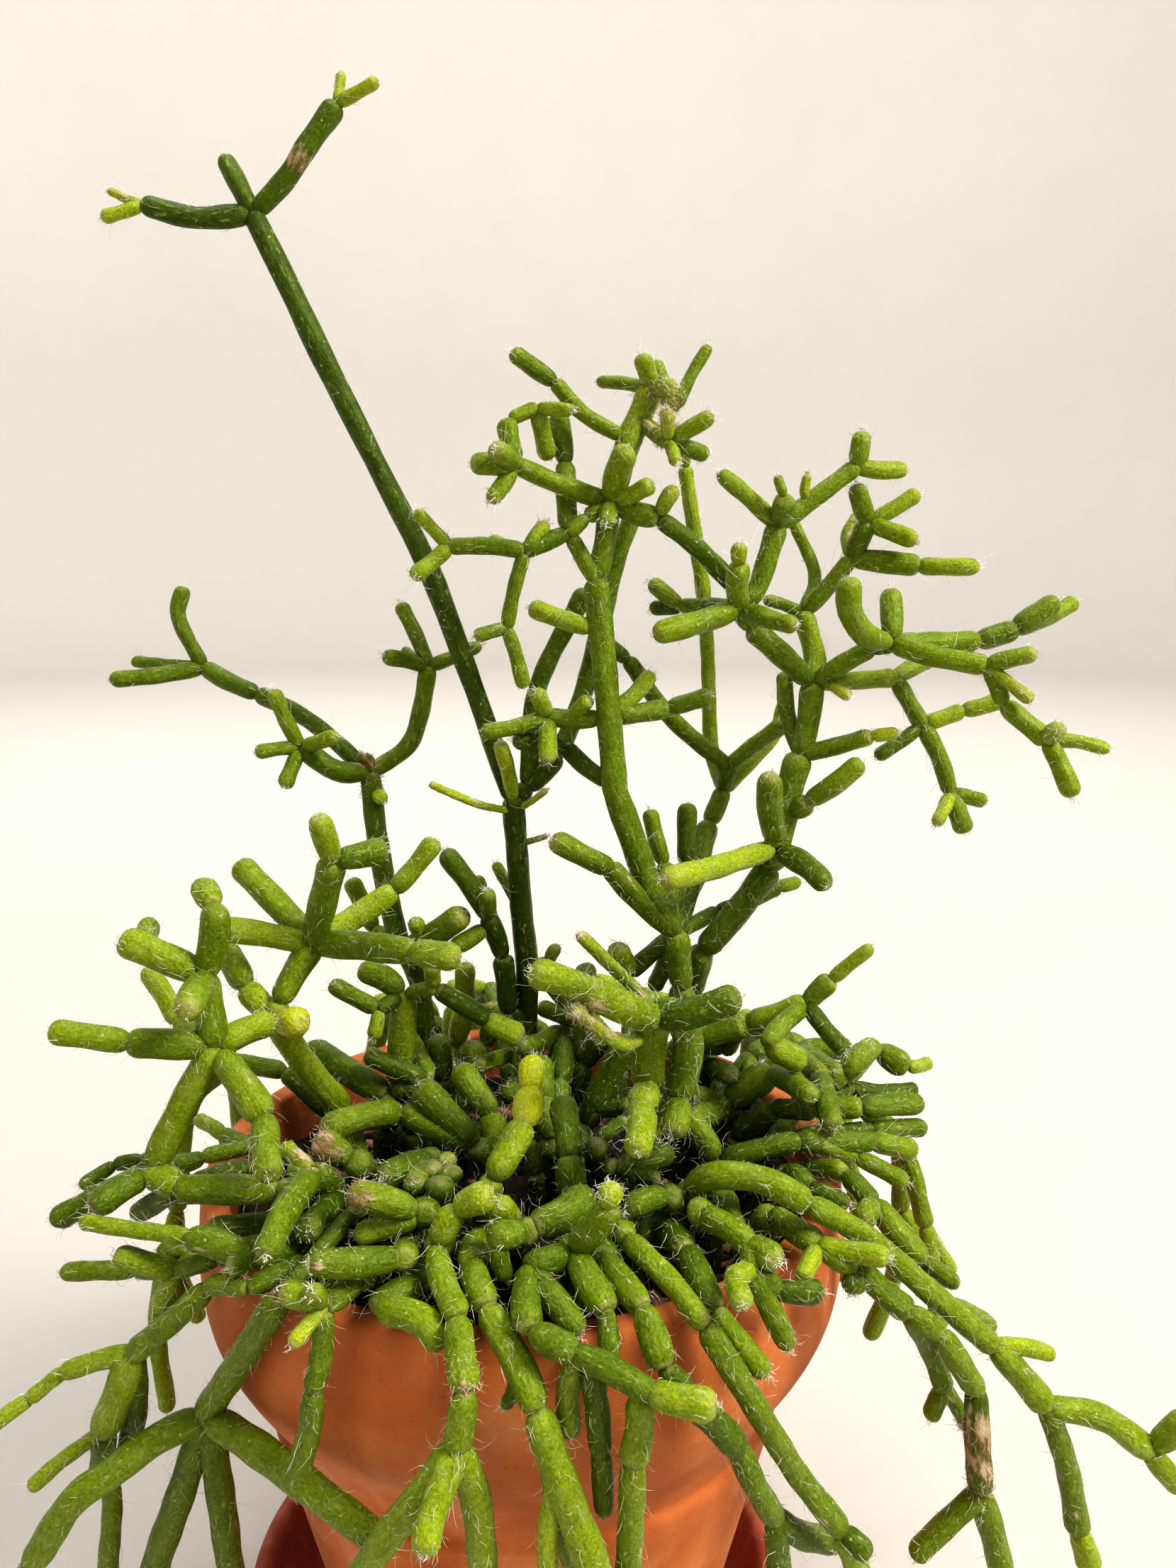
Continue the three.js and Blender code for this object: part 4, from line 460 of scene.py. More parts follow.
# %% Fill the pot
EDGE = LIP_RADIUS - WALL - 0.4
SOIL_OUTLINE = [
    (0, 10.7), (FOOT_RADIUS - WALL - 0.6, 10.7), (44.6, GROOVE_HEIGHT), (EDGE, 84.6), (EDGE, 104.0),
    (EDGE, SOIL_HEIGHT - 1.2),
    *[(EDGE * s, SOIL_HEIGHT + SOIL_CROWN * (1 - s)) for s in np.linspace(0.97, 0, 24)],
]


def soil_level(x, y):
    """The height of the roughened soil at a place, in millimetres."""
    reach = min(1.0, math.hypot(x, y) / EDGE)
    spot = Vector((x * 0.09, y * 0.09, 3.1))
    rough = 1.6 * noise.noise(spot) + 0.8 * noise.noise(spot * 3.3) + 0.4 * noise.noise(spot * 9)
    return SOIL_HEIGHT + SOIL_CROWN * (1 - reach) + rough - 1.5 * reach ** 6


plug = turned("soil_plug", SOIL_OUTLINE)
for vertex in plug.data.vertices:
    if vertex.co.z > (SOIL_HEIGHT - 2) * MM:
        vertex.co.z = soil_level(vertex.co.x / MM, vertex.co.y / MM) * MM
plug_points, plug_faces = arrays_of(apply_all(plug))

mix = Batch()
mix.add(plug_points / MM, plug_faces)
rng = np.random.default_rng(11)
for points, faces, slot, count, low, high_size, flat in (
    (*CRUMB, 0, 620, 0.5, 1.7, 1.0), (*FLAKE, 1, 64, 1.6, 4.6, 0.35),
):
    for _ in range(count):
        reach, angle = (EDGE - 3.5) * math.sqrt(rng.uniform()), rng.uniform(0, math.tau)
        x, y = reach * math.cos(angle), reach * math.sin(angle)
        size = rng.uniform(low, high_size)
        spot = np.array([x, y, soil_level(x, y) + 0.12 * size])
        mix.add((points * size) @ turn_of(rng, flat).T + spot, faces, slot)
soil = mix.mesh("potting_mix", [SOIL, BARK])
place(soil, "soil", slot="soil")
print("soil:", triangles(soil), "triangles")

# %% [markdown]
# ## Where the links are
# The shape of a plant like this is its branching, so we keep it as data. Every stem is a list of runs. A run
# is its thickness, its age from 0 (new yellow growth) to 1 (old dark green), and the joints that it passes
# through. A joint (x, z, y) is read as it looks from the eye: x and z on the upright plane through the pot's
# axis, and y its real depth. A fourth number marks a bend inside one link, and a pair of numbers is a root in
# the mix. Where a joint is known by its real height, high() works out its depth.

# %% Joints of every stem
EYE = np.array([12.7, -221.1, 232.4])


def high(x, z, height):
    return (x, z, -EYE[1] * ((EYE[2] - height) / (EYE[2] - z) - 1))


def high_bend(x, z, height):
    return (*high(x, z, height), 1)


STEMS = {
    "tall_stem": [
        (4.2, 0.95, (1, 20), (1.5, 118, 16), (0.9, 142, 8, 1), (-1.6, 189, 0)),
        (3.6, 0.95, (-1.6, 189, 0), (-3.5, 194, 1, 1), (-15.9, 230, 3, 1), (-30.3, 260, 5, 1),
         (-46, 293.3, 7)), (3.8, 0.85, (-46, 293.3, 7), (-56.4, 292.7, 5, 1), (-65.2, 294.8, 3)),
        (2.2, 0.1, (-65.2, 294.8, 3), (-72, 292.8, 2)), (1.5, 0.1, (-65.2, 294.8, 3), (-70.7, 297, 5)),
        (3, 0.9, (-46, 293.3, 7), (-50.4, 302, 9)),
        (3.4, 0.8, (-46, 293.3, 7), (-39.8, 299.2, 6, 1), (-36, 304.3, 5, 1), (-30.7, 311, 5)),
        (2.3, 0.15, (-30.7, 311, 5), (-24, 314.5, 3)), (1.7, 0.1, (-30.7, 311, 5), (-29.7, 315.5, 7)),
        (1.4, 0.1, (-1.4, 186, 0), (-9, 188, -6, 1), (-17.2, 191.6, -10)),
        (1.2, 0.1, (-1.4, 186, 0), (4.6, 190.4, -4)), (1.2, 0.3, (-1.2, 179.5, 1), (4.6, 181.5, -3)),
        (2.6, 0.1, (-1.6, 189, 0), (-3.4, 199.5, -6)),
        (2.4, 0.35, (0.6, 155, 5), (5, 156, 1), (6.4, 159, -1)),
        (3.8, 0.85, (1, 138, 9), (-2.4, 146, 6), (-3.6, 157.2, 4), (-6.8, 165.4, 2)),
        (3.5, 0.8, (-6.8, 165.4, 2), (-14.6, 177.8, -1)), (3.2, 0.6, (-6.8, 165.4, 2), (-6.9, 170, -3)),
        (2.9, 0.5, (-3.6, 162, 5), (-9, 172.8, 8)), (2.3, 0.5, (-2.2, 167, 4), (-5, 175.6, 8)),
        (3.4, 0.5, (-6.4, 163.6, 2), (-13.5, 159.4, -1)),
        (3.7, 0.85, (-1.6, 189, 0), (1.2, 190.6, 3), (7, 197, 2)),
        (3.4, 0.6, (7, 197, 2), (12.6, 211.3, 6, 1), (17.5, 232, 8, 1), (21.5, 243, 8)),
        (3.4, 0.7, (1.2, 190.6, 3), (3.3, 210.3, 6, 1), (12, 227.5, 4)),
    ],
    "left_stem": [
        (4, 0.75, (-17, 16), (-17.5, 124, 12), (-18.6, 141, 10, 1), (-20.6, 152, 9, 1), (-23.8, 160, 8, 1),
         (-27.8, 180, 8, 1), (-28.8, 193.8, 9)), (3.4, 0.9, (-28.8, 193.8, 9), (-29.8, 196.6, 9)),
        (3.2, 0.7, (-28.8, 193.8, 9), (-40, 203.9, 14, 1), (-49.5, 209, 17), (-59.3, 213.9, 19)),
        (2.6, 0.6, (-59.3, 213.9, 19), (-63.5, 223, 20, 1), (-62.5, 228.2, 21)),
        (2.8, 0.6, (-59.3, 213.9, 19), (-76.3, 211.7, 15)), (2.2, 0.5, (-59.3, 213.9, 19), (-72, 215, 25)),
        (3.6, 0.6, (-28.8, 193.8, 9), (-35.5, 194.4, 4, 1), (-41.9, 198.8, 1)),
        (2.8, 0.5, (-41.9, 198.8, 1), (-46.4, 209, -2)), (2.6, 0.5, (-41.9, 198.8, 1), (-49.8, 197.9, -2)),
        (2.6, 0.5, (-41.9, 198.8, 1), (-35.4, 200.8, -3)), (2.9, 0.5, (-41.9, 198.8, 1), (-45, 191.8, -4)),
        (3.1, 0.65, (-28.8, 193.8, 9), (-21.6, 198.9, 11, 1), (-19.1, 205, 12, 1), (-17.2, 214, 12)),
        (2.6, 0.6, (-17.2, 214, 12), (-21.9, 225.2, 14)), (2.9, 0.6, (-17.2, 214, 12), (-24.8, 215.9, 7)),
        (2, 0.5, (-17.2, 214, 12), (-21.5, 217, 18)), (2.7, 0.6, (-17.2, 214, 12), (-8, 217.9, 14)),
        (4.6, 0.5, (-23.6, 158, 8), (-19.5, 160.5, 3), (-12, 165.3, -1)),
        (3.1, 0.5, (-19.5, 160.5, 3), (-21, 164.2, 0)),
        (3.3, 0.5, (-23.8, 159.5, 8), (-29, 162.5, 12), (-33, 172.2, 15)),
        (2.6, 0.1, (-28.6, 191, 9), (-26.6, 188.6, 6)),
    ],
    "middle_stem": [
        (5, 0.6, (30, 8), (30, 118, 4), (31.5, 140, 0), (31.3, 151, -4), (30, 162, -6)),
        (4.5, 0.6, (30, 162, -6), (25.2, 170, -8, 1), (21.5, 180, -9, 1), (18, 190, -9, 1),
         (16.1, 210, -8, 1), (14.2, 230, -6)), (3.9, 0.6, (14.2, 230, -6), (16.7, 244, -5)),
        (4.1, 0.45, (16.7, 244, -5), (19.4, 252.8, -13)), (3.2, 0.45, (16.7, 244, -5), (16.2, 240.6, -12)),
        (3.9, 0.45, (16.7, 244, -5), (25.5, 241.3, -9)), (3.2, 0.7, (25.5, 241.3, -9), (39.4, 229.4, -3)),
        (3, 0.4, (25.5, 241.3, -9), (28.3, 246.2, -10)), (2.9, 0.4, (16.7, 244, -5), (23.8, 247, -12)),
        (3, 0.45, (16.7, 244, -5), (12.6, 241.5, -8), (9.2, 238.7, -8)),
        (4.3, 0.5, (16.7, 244, -5), (21, 257, -3, 1), (24.1, 264, -2)),
        (3.4, 0.4, (24.1, 264, -2), (22.5, 269, -5)), (3.4, 0.4, (24.1, 264, -2), (27.6, 264, -7)),
        (2.3, 0.45, (24.1, 264, -2), (28.6, 260.6, 5)), (2.3, 0.6, (28.6, 260.6, 5), (34, 270.8, 8)),
        (2.3, 0.5, (28.6, 260.6, 5), (25.1, 268.2, 9)), (2.3, 0.5, (24.1, 264, -2), (15, 265.2, 3)),
        (2.9, 0.75, (20.2, 255.3, -3), (6.7, 265.1, -8), (-0.4, 269.9, -11)),
        (3, 0.4, (22, 258, -3), (27.3, 254.6, -8), (34.5, 259, -10)),
        (2.3, 0.1, (27.3, 254.6, -8), (26.8, 260, -12)), (2.3, 0.25, (27.3, 254.6, -8), (28.6, 251.3, -13)),
        (2.9, 0.7, (27.3, 254.6, -8), (33.8, 252.6, -5)),
        (3.6, 0.5, (16.7, 244, -5), (6, 247.8, -10, 1), (-0.4, 250.7, -13)),
        (3.9, 0.6, (-0.4, 250.7, -13), (-7.6, 250.9, -15)),
        (3.6, 0.5, (-0.4, 250.7, -13), (-3.9, 253.4, -20)), (3, 0.4, (-0.4, 250.7, -13), (-4.8, 244.8, -16)),
        (3.8, 0.4, (-0.4, 250.7, -13), (-2, 258.4, -11)), (2.6, 0.4, (-2, 258.4, -11), (3.4, 260.7, -9)),
        (3.4, 0.4, (3.4, 260.7, -9), (5.8, 252.4, -4)), (2.4, 0.35, (3.4, 260.7, -9), (9.3, 260.3, -12)),
        (3.5, 0.55, (9.2, 238.7, -8), (8.2, 251, -3), (7.4, 259, -2)),
        (3, 0.5, (9.2, 238.7, -8), (14.2, 230, -6)),
        (3.1, 0.65, (9.2, 238.7, -8), (1, 235.4, -11), (-12.8, 236.2, -12)),
        (2.5, 0.45, (-12.8, 236.2, -12), (-18.4, 242, -11)), (3, 0.4, (-12.8, 236.2, -12), (-19.2, 231, -14)),
        (2.7, 0.6, (1, 235.4, -11), (-2.4, 221.4, -9)), (2.5, 0.5, (-2.4, 221.4, -9), (-7.8, 219.8, -12)),
        (2.7, 0.5, (-2.4, 221.4, -9), (0.5, 210.8, -7)), (2.5, 0.25, (1, 235.4, -11), (4.7, 240, -9)),
        (1.8, 0.25, (1, 235.4, -11), (-4.8, 237.6, -8)), (3.5, 0.5, (16.6, 204.4, -7), (5.2, 204.2, -4)),
        (3.4, 0.6, (16.6, 204.4, -7), (27.7, 206.2, -3), (34.9, 208.4, -4)),
        (3.3, 0.5, (16.6, 204.4, -7), (24.2, 212.2, -3)), (3, 0.5, (5.2, 204.2, -4), (-6.6, 201, -8)),
        (3, 0.35, (5.2, 204.2, -4), (3.2, 209, -8)), (3.4, 0.4, (5.2, 204.2, -4), (5, 196.5, -9)),
        (2.8, 0.4, (9.5, 204.3, -5), (12.6, 207.6, -9)),
        (3.4, 0.8, (17.9, 191, -9), (8.5, 199, -5), (-1, 200.5, -6)),
        (3.5, 0.4, (14.8, 220.6, -7), (2.7, 224.8, -6)),
        (4.2, 0.6, (30, 162, -6), (17, 175.2, -14), (6.7, 180.4, -19)),
        (3.2, 0.55, (30, 162, -6), (27.4, 176, -1), (24.6, 185.8, 0)),
        (3.4, 0.6, (30, 162, -6), (31.6, 176, 2), (31.8, 187, 4)), (3.3, 0.7, (30, 162, -6), (21, 154, -1)),
        (4.6, 0.5, (21, 154, -1), (18.6, 158.4, -6)), (3.5, 0.75, (30, 162, -6), (26, 151.5, 1)),
        (3, 0.8, (30, 162, -6), (38, 166, 4), (49.7, 171.4, 8)),
        (2.5, 0.4, (49.7, 171.4, 8), (53.2, 172.3, 9)),
        (3.9, 0.7, (30, 162, -6), (34, 175, 6), (36, 184, 13)), (3.5, 0.6, (36, 184, 13), (38.5, 190.5, 16)),
        (2.6, 0.4, (38.5, 190.5, 16), (36, 200, 20, 1), (34.4, 225, 23, 1), (30.3, 250.3, 20),
         (28.9, 257, 16)), (3.1, 0.75, (38.5, 190.5, 16), (39.3, 195, 14)),
        (3, 0.75, (39.3, 195, 14), (28, 204.8, 10, 1), (20.1, 215.4, 6), (14.8, 219.5, 4)),
        (2.8, 0.6, (39.3, 195, 14), (49.3, 203, 12)),
        (2.8, 0.4, (38.5, 190.5, 16), (47.7, 201, 20, 1), (49.7, 207, 22)),
    ],
    "right_stem": [
        (5, 0.55, (40, 16), (35, 135, 12), (33, 150, 10), (34.6, 158.5, -1), (48.3, 175, 0),
         (50.5, 187, 1, 1), (53, 197.3, 2)), (4.8, 0.5, (44.2, 179.5, -5), (47.4, 192.6, -8)),
        (4, 0.5, (50, 185.5, 1), (54.8, 188.3, -2), (64, 195.4, -5)),
        (4.1, 0.6, (53, 197.3, 2), (54.9, 211, 3)),
        (2.9, 0.6, (53, 197.3, 2), (50.4, 205, 6, 1), (49.6, 212.3, 8)),
        (3.3, 0.5, (53, 197.3, 2), (66.4, 200.9, -4)), (2.4, 0.1, (66.4, 200.9, -4), (70.8, 201.5, -5)),
        (3.7, 0.6, (54.9, 211, 3), (43.2, 221.2, -4), (41, 225, -6)),
        (3.9, 0.4, (41, 225, -6), (26, 220.3, -12)),
        (2.8, 0.5, (41, 225, -6), (34.5, 225.6, 0), (30, 225.3, 3), (24.8, 229.4, 3)),
        (2.6, 0.8, (30, 225.3, 3), (25, 225, 7)), (4, 0.4, (41, 225, -6), (40.6, 232.9, -11)),
        (3, 0.3, (40.6, 232.9, -11), (40.5, 236, -12)), (3.5, 0.5, (41, 225, -6), (50.7, 221.9, -12)),
        (3.4, 0.5, (41, 225, -6), (44.3, 229, -4, 1), (47.5, 240, -2)),
        (3, 0.5, (47.5, 240, -2), (37.2, 248.9, -4)), (3.9, 0.5, (47.5, 240, -2), (48.8, 244.6, -7)),
        (1.7, 0.4, (48.8, 244.6, -7), (47.3, 248.4, -6)), (3.2, 0.45, (47.5, 240, -2), (61.6, 250.2, 1)),
        (1.8, 0.1, (51.8, 244, -1), (52.6, 248.6, -2)), (3.7, 0.4, (61.6, 250.2, 1), (62.2, 255.6, 0)),
        (3.3, 0.4, (61.6, 250.2, 1), (69.7, 249.8, 4)),
        (4, 0.3, (54.9, 211, 3), (55.2, 216, 6, 1), (52.7, 224, 8)),
        (2.2, 0.3, (52.7, 224, 8), (54.6, 231, 12, 1), (50.4, 240.5, 14)),
        (2.3, 0.5, (52.7, 224, 8), (46, 226.4, 5)), (3.1, 0.5, (52.7, 224, 8), (61.2, 234, 6)),
        (3.6, 0.55, (61.2, 234, 6), (64, 240.4, 4)), (3.4, 0.45, (64, 240.4, 4), (61.8, 246.6, 2)),
        (2.8, 0.3, (64, 240.4, 4), (72.4, 245.4, 5)), (3.1, 0.3, (64, 240.4, 4), (72.4, 237.4, 0)),
        (3.6, 0.45, (61.2, 234, 6), (73.7, 232.7, 3)), (3.1, 0.25, (73.7, 232.7, 3), (84, 232.4, 2)),
        (2.1, 0.3, (61.2, 234, 6), (60.2, 238, 10, 1), (62, 241.5, 12)),
        (3.5, 0.7, (54.9, 211, 3), (65.8, 217.6, 0), (69.6, 218.2, -4)),
        (4.2, 0.35, (69.6, 218.2, -4), (64.5, 220, -7, 1), (61.4, 224.3, -9, 1), (60.9, 229.4, -10)),
        (3.9, 0.4, (69.6, 218.2, -4), (77.5, 216, -8, 1), (87.5, 214.2, -11)),
        (3.8, 0.45, (69.6, 218.2, -4), (68.8, 227.4, 0)), (3.7, 0.45, (69.6, 218.2, -4), (85.4, 218.8, 3)),
        (4, 0.5, (85.4, 218.8, 3), (92.3, 221, 4), (99, 225.8, 4)),
        (2.9, 0.35, (92.3, 221, 4), (102.6, 225.8, 9)), (3.4, 0.4, (87.5, 214.2, -11), (95.7, 216.4, -14)),
        (3, 0.45, (87.5, 214.2, -11), (91, 207, -12)), (2.3, 0.1, (87.5, 214.2, -11), (95.9, 208, -16)),
        (3.7, 0.4, (91, 207, -12), (99.8, 200.2, -14)), (3.6, 0.35, (99.8, 200.2, -14), (101.5, 202, -19)),
        (2.6, 0.2, (99.8, 200.2, -14), (111, 198.5, -14)),
        (3.5, 0.35, (99.8, 200.2, -14), (105.2, 190.2, -17)), (3.2, 0.4, (54.9, 211, 3), (70.3, 212, 7)),
        (2, 0.1, (58, 211.2, 3), (61.6, 208.6, -3)), (2.9, 0.4, (70.3, 212, 7), (76.5, 215.4, 12)),
        (3.2, 0.45, (70.3, 212, 7), (76, 203, 5)), (2.5, 0.6, (76, 203, 5), (68, 197.2, 3)),
        (3, 0.2, (76, 203, 5), (83.4, 205.8, 6), (90.2, 207.8, 5)), (3.3, 0.45, (76, 203, 5), (82, 190, 3)),
        (2.8, 0.4, (82, 190, 3), (88.2, 188.5, 3)), (3.2, 0.35, (82, 190, 3), (85, 183, 0)),
        (2.6, 0.2, (82, 190, 3), (79.8, 184.3, -2)), (4, 0.7, (35, 167.5, -13), (44.2, 179.5, -5)),
        (3.6, 0.5, (44.2, 179.5, -5), (48.5, 181, -2)), (4.5, 0.3, (44.2, 179.5, -5), (28.3, 173, -22)),
        (4.3, 0.5, (44.2, 179.5, -5), (58.4, 172.4, -16)),
    ],
    "young_left_stem": [
        (5, 0.2, (-33, -6), high(-33.5, 112, 122), (-36, 124.5, -6), (-49.6, 144.6, -18)),
        (4.9, 0.2, (-49.6, 144.6, -18), (-48.4, 147.8, -18), (-41.1, 160, -14)),
        (5.1, 0.35, (-41.1, 160, -14), (-36.7, 176.6, -24)),
        (4.9, 0.25, (-36.7, 176.6, -24), (-38.8, 184.4, -28)),
        (4.5, 0.35, (-36.7, 176.6, -24), (-27.2, 178.8, -22)),
        (4.9, 0.3, (-41.1, 160, -14), (-54.2, 175.2, -8)),
        (4.8, 0.15, (-41.1, 160, -14), (-58.5, 162.8, -20)), (4.5, 0.1, (-41.1, 160, -14), (-25, 170.6, -8)),
        (3.8, 0.3, (-25, 170.6, -8), (-17.2, 179.9, -6)),
        (5.2, 0.3, (-41.1, 160, -14), (-21.5, 158.2, -28), (-14, 157.2, -33)),
        (5.4, 0, (-49.6, 144.6, -18), (-45, 143.8, -23)), (4.8, 0.1, (-49.6, 144.6, -18), (-54.8, 151, -16)),
        (4.8, 0.3, (-54.8, 151, -16), (-58.2, 158.4, -12)),
    ],
    "old_left_stem": [
        (5.6, 0.3, (-38, -22), high(-46, 99, 120), high(-53.4, 102.3, 126), high(-70.5, 107.8, 128),
         (-76.3, 111.5, -32), (-61.6, 138.4, -32)),
        (5.8, 0.35, (-61.6, 138.4, -32), (-52.6, 123.6, -37), (-52.2, 111.6, -48)),
        (5.8, 0.4, (-61.6, 138.4, -32), (-62.8, 153.3, -30)),
        (5.8, 0.4, (-62.8, 153.3, -30), (-59.8, 167.2, -32)),
        (4.6, 0.3, (-59.8, 167.2, -32), (-62, 171.4, -26)),
        (5.8, 0.35, (-62.8, 153.3, -30), (-66.4, 146.6, -44)),
        (5.2, 0.4, (-62.8, 153.3, -30), (-77.6, 160.4, -32)),
        (4.2, 0.35, (-74, 158.5, -31), (-73, 163.5, -24)),
        (5.4, 0.4, (-61.6, 138.4, -32), (-78.7, 139.4, -36)),
        (4.8, 0.35, (-78.7, 139.4, -36), (-93, 141.7, -38)),
        (5.2, 0.15, (-61.6, 138.4, -32), (-50.6, 143.6, -24)),
        (3.9, 0.15, (-61.6, 138.4, -32), (-68.3, 143.5, -22), (-73.8, 154, -18)),
        (5.5, 0.6, (-76.3, 111.5, -32), (-88, 103.8, -40)),
        (4.8, 0.6, (-76.3, 111.5, -32), (-95.7, 101.3, -33)),
        (4.2, 0.6, high(-70.5, 107.8, 128), (-79.4, 102.5, -30)),
        (3, 0.6, high(-70.5, 107.8, 128), (-77.5, 114.3, -24), (-83.3, 113.2, -24), (-90, 108.8, -28)),
    ],
    "pale_forked_stem": [
        (5, 0.3, (-24, 4), (-22.6, 120, -2), (-22.2, 131.5, -3), (-22.3, 149.4, -4)),
        (4.7, 0.6, (-22.3, 149.4, -4), (-31.2, 154.3, -2)), (3, 0.3, (-22.3, 149.4, -4), (-17.6, 151, -7)),
        (3.1, 0.3, (-17.6, 151, -7), (-18, 155.2, -9)), (3.8, 0.8, (-17.6, 151, -7), (-7.5, 144.2, -3)),
        (4.4, 0.45, (-7.5, 144.2, -3), (-1.4, 140.8, -4)), (3, 0.75, (-22.3, 149.4, -4), (-28.7, 146.3, -8)),
        (3.3, 0.6, (-28.7, 146.3, -8), (-37.4, 151.2, -6)), (2.8, 0.4, (-28.7, 146.3, -8), (-29.8, 141, -10)),
    ],
    "mound_stem_a": [
        (4.9, 0.55, (-30, 12), high(-27, 121, 124), high(-26.8, 127.9, 131), high(-42, 138, 137)),
        (3.7, 0.7, high(-26.8, 127.9, 131), high(-21.3, 131, 133), high(-29.6, 137.8, 138)),
        (3.2, 0.3, high(-21.3, 131, 133), high(-26.6, 143, 139)),
    ],
    "mound_stem_b": [
        (4.9, 0.6, (-12, 18), high(-15, 124, 122), high(-16.4, 131.4, 130), high(-18.8, 139, 138)),
        (3.7, 0.2, high(-16.4, 131.4, 130), (-13.5, 138, 14), (-13.6, 146.5, 18)),
        (3.9, 0.05, (-13.5, 138, 14), (-11.4, 147, 12), (-11.4, 154.8, 10)),
        (4.9, 0.4, high(-15, 124, 122), high(-12, 130, 126), high(-11.4, 138.6, 134)),
        (3.4, 0.4, high(-12, 130, 126), high(-7.6, 138.5, 132), (-6, 146.8, 16)),
    ],
    "mound_stem_c": [
        (5.6, 0.45, (-8, -4), high(-7, 111, 119), high(-10, 117.5, 126), high(-20.4, 129.4, 134)),
        (5, 0.4, high(-7, 111, 119), high(-6.4, 124, 129), high(-12.4, 133.4, 136)),
        (5, 0.4, high(-10, 117.5, 126), high(-24.6, 125.2, 130), high(-39.6, 121, 131)),
    ],
    "ball_tipped_stem": [
        (6, 0.25, (-8, -22), high(-9, 101, 122), high(-7, 109.5, 130), high(-0.2, 121.8, 137)),
        (5.6, 0.03, high(-0.2, 121.8, 137), high(1.3, 129, 140)),
        (5.4, 0, high(1.3, 129, 140), high(1.5, 134.8, 143)),
    ],
    "mound_stem_d": [
        (5.6, 0.5, (7, -16), high(9, 104, 124), high(8.8, 114.6, 131), high(7.6, 126, 135)),
    ],
    "mound_stem_e": [
        (4.7, 0.7, (10, 10), high(11, 113, 118), high(11.8, 121, 122), high(20.4, 139.4, 140)),
        (3.4, 0.8, high(11, 113, 118), high(9.6, 126, 124), high(10.6, 135, 132), high(15.4, 139.6, 138)),
        (2.9, 0.5, high(11.8, 121, 122), high(15.2, 124.6, 126), high(20.8, 126, 130)),
        (3.8, 0.7, high(10.6, 135, 132), high(10, 143, 138), high(5, 152.4, 146)),
        (3.6, 0.7, high(10, 143, 138), high(15.8, 140.4, 136)),
        (3.8, 0.7, high(10, 143, 138), high(12.4, 154.6, 146)),
        (3, 0.7, high(10, 143, 138), high(3.2, 146.4, 142)),
    ],
    "front_hand_stem": [
        (6.2, 0.3, (22, -18), high(23, 104, 120), high(25, 118, 128), (25, 130, -26), (26.5, 144.7, -30)),
        (5.9, 0.3, (26.5, 144.7, -30), (12, 150.4, -42), (3, 153.7, -47)),
        (5.8, 0.6, (26.5, 144.7, -30), (41.2, 148.6, -36)),
        (5.4, 0.15, (25, 130, -26), (23.2, 126.5, -34), (22.7, 116.8, -46)),
        (5.6, 0.3, (26.5, 144.7, -30), (31.6, 140, -27, 1), (31, 128, -26), (30, 121, -32)),
        (2.2, 0.3, (26, 146, -28), (22.8, 149.6, -31, 1), (11.2, 161.6, -36)),
        (2.5, 0.14, (25.5, 141, -30), (19, 139.2, -36, 1), (10.2, 146.6, -44)),
    ],
    "right_fan_stem": [
        (4.8, 0.3, (34, 14), high(33.5, 128, 124), high(34.8, 139.6, 136), high(44.6, 143.6, 143)),
        (4.5, 0.4, high(44.6, 143.6, 143), high(55.8, 147.6, 148)),
        (3.9, 0.55, high(55.8, 147.6, 148), high(60.7, 152.5, 153)),
        (2.7, 0.2, high(60.7, 152.5, 153), high(67.8, 158.9, 160)),
        (3.3, 0.7, high(55.8, 147.6, 148), high(63.5, 138, 143)),
        (3.8, 0.5, high(55.8, 147.6, 148), high(48.3, 139, 144)),
        (5.2, 0.3, high(48.3, 139, 144), high(54.4, 134.6, 138)),
        (4.1, 0.5, high(48, 137.5, 136), high(40.2, 137.7, 133), high(34.8, 139.6, 136)),
    ],
    "right_bundle_stem_a": [
        (4, 0.5, (44, 16), high(46, 131, 126), high(54.2, 137.7, 134), high(59.7, 131, 133),
         high(60.7, 121.8, 132)),
        (4.8, 0.5, high(54.2, 137.7, 134), high(62.4, 131, 133), high(68, 137.7, 138)),
        (4.7, 0.45, high(62.4, 131, 133), high(69.4, 138.8, 134), high(76.4, 133.5, 130)),
        (2.5, 0.2, high(76.4, 133.5, 130), high(80.5, 135, 129)),
        (4, 0.5, high(54.2, 137.7, 134), high(64, 138, 132)),
    ],
    "right_bundle_stem_b": [
        (4, 0.6, (38, 6), high(39, 121, 119), high(35, 134.8, 131), high(41.4, 132.4, 133)),
        (6.4, 0.45, high(39, 121, 119), high(41, 126, 126), high(49.2, 133.8, 134)),
        (4.6, 0.5, high(41, 126, 126), high(34.4, 123, 128)),
        (3.8, 0.5, high(41, 126, 126), high(34.4, 128, 130)),
        (4.2, 0.5, high(49.2, 133.8, 134), high(58.4, 128, 135)),
    ],
    "right_bundle_stem_c": [
        (4.1, 0.55, (44, 2), high(42, 119.5, 120), high(49.6, 125.6, 128), high(58.4, 125.8, 131)),
        (4.4, 0.5, high(58.4, 125.8, 131), high(67.6, 125.4, 131), high(78.8, 126.2, 129)),
        (3.1, 0.7, high(58.4, 125.8, 131), high(65.2, 129.6, 129), high(77.8, 129.3, 126)),
    ],
    "right_bundle_stem_d": [
        (3.4, 0.6, (46, -8), high(45, 116.5, 121), high(58.6, 121, 127), high(70, 121.4, 127),
         high(80, 121.2, 125)),
    ],
    "right_bundle_stem_e": [
        (4.5, 0.5, (38, -14), high(38, 109, 119), high(39.2, 113.7, 125), high(55.4, 116.6, 128),
         high(70.4, 117, 126), high(78, 116.5, 124)),
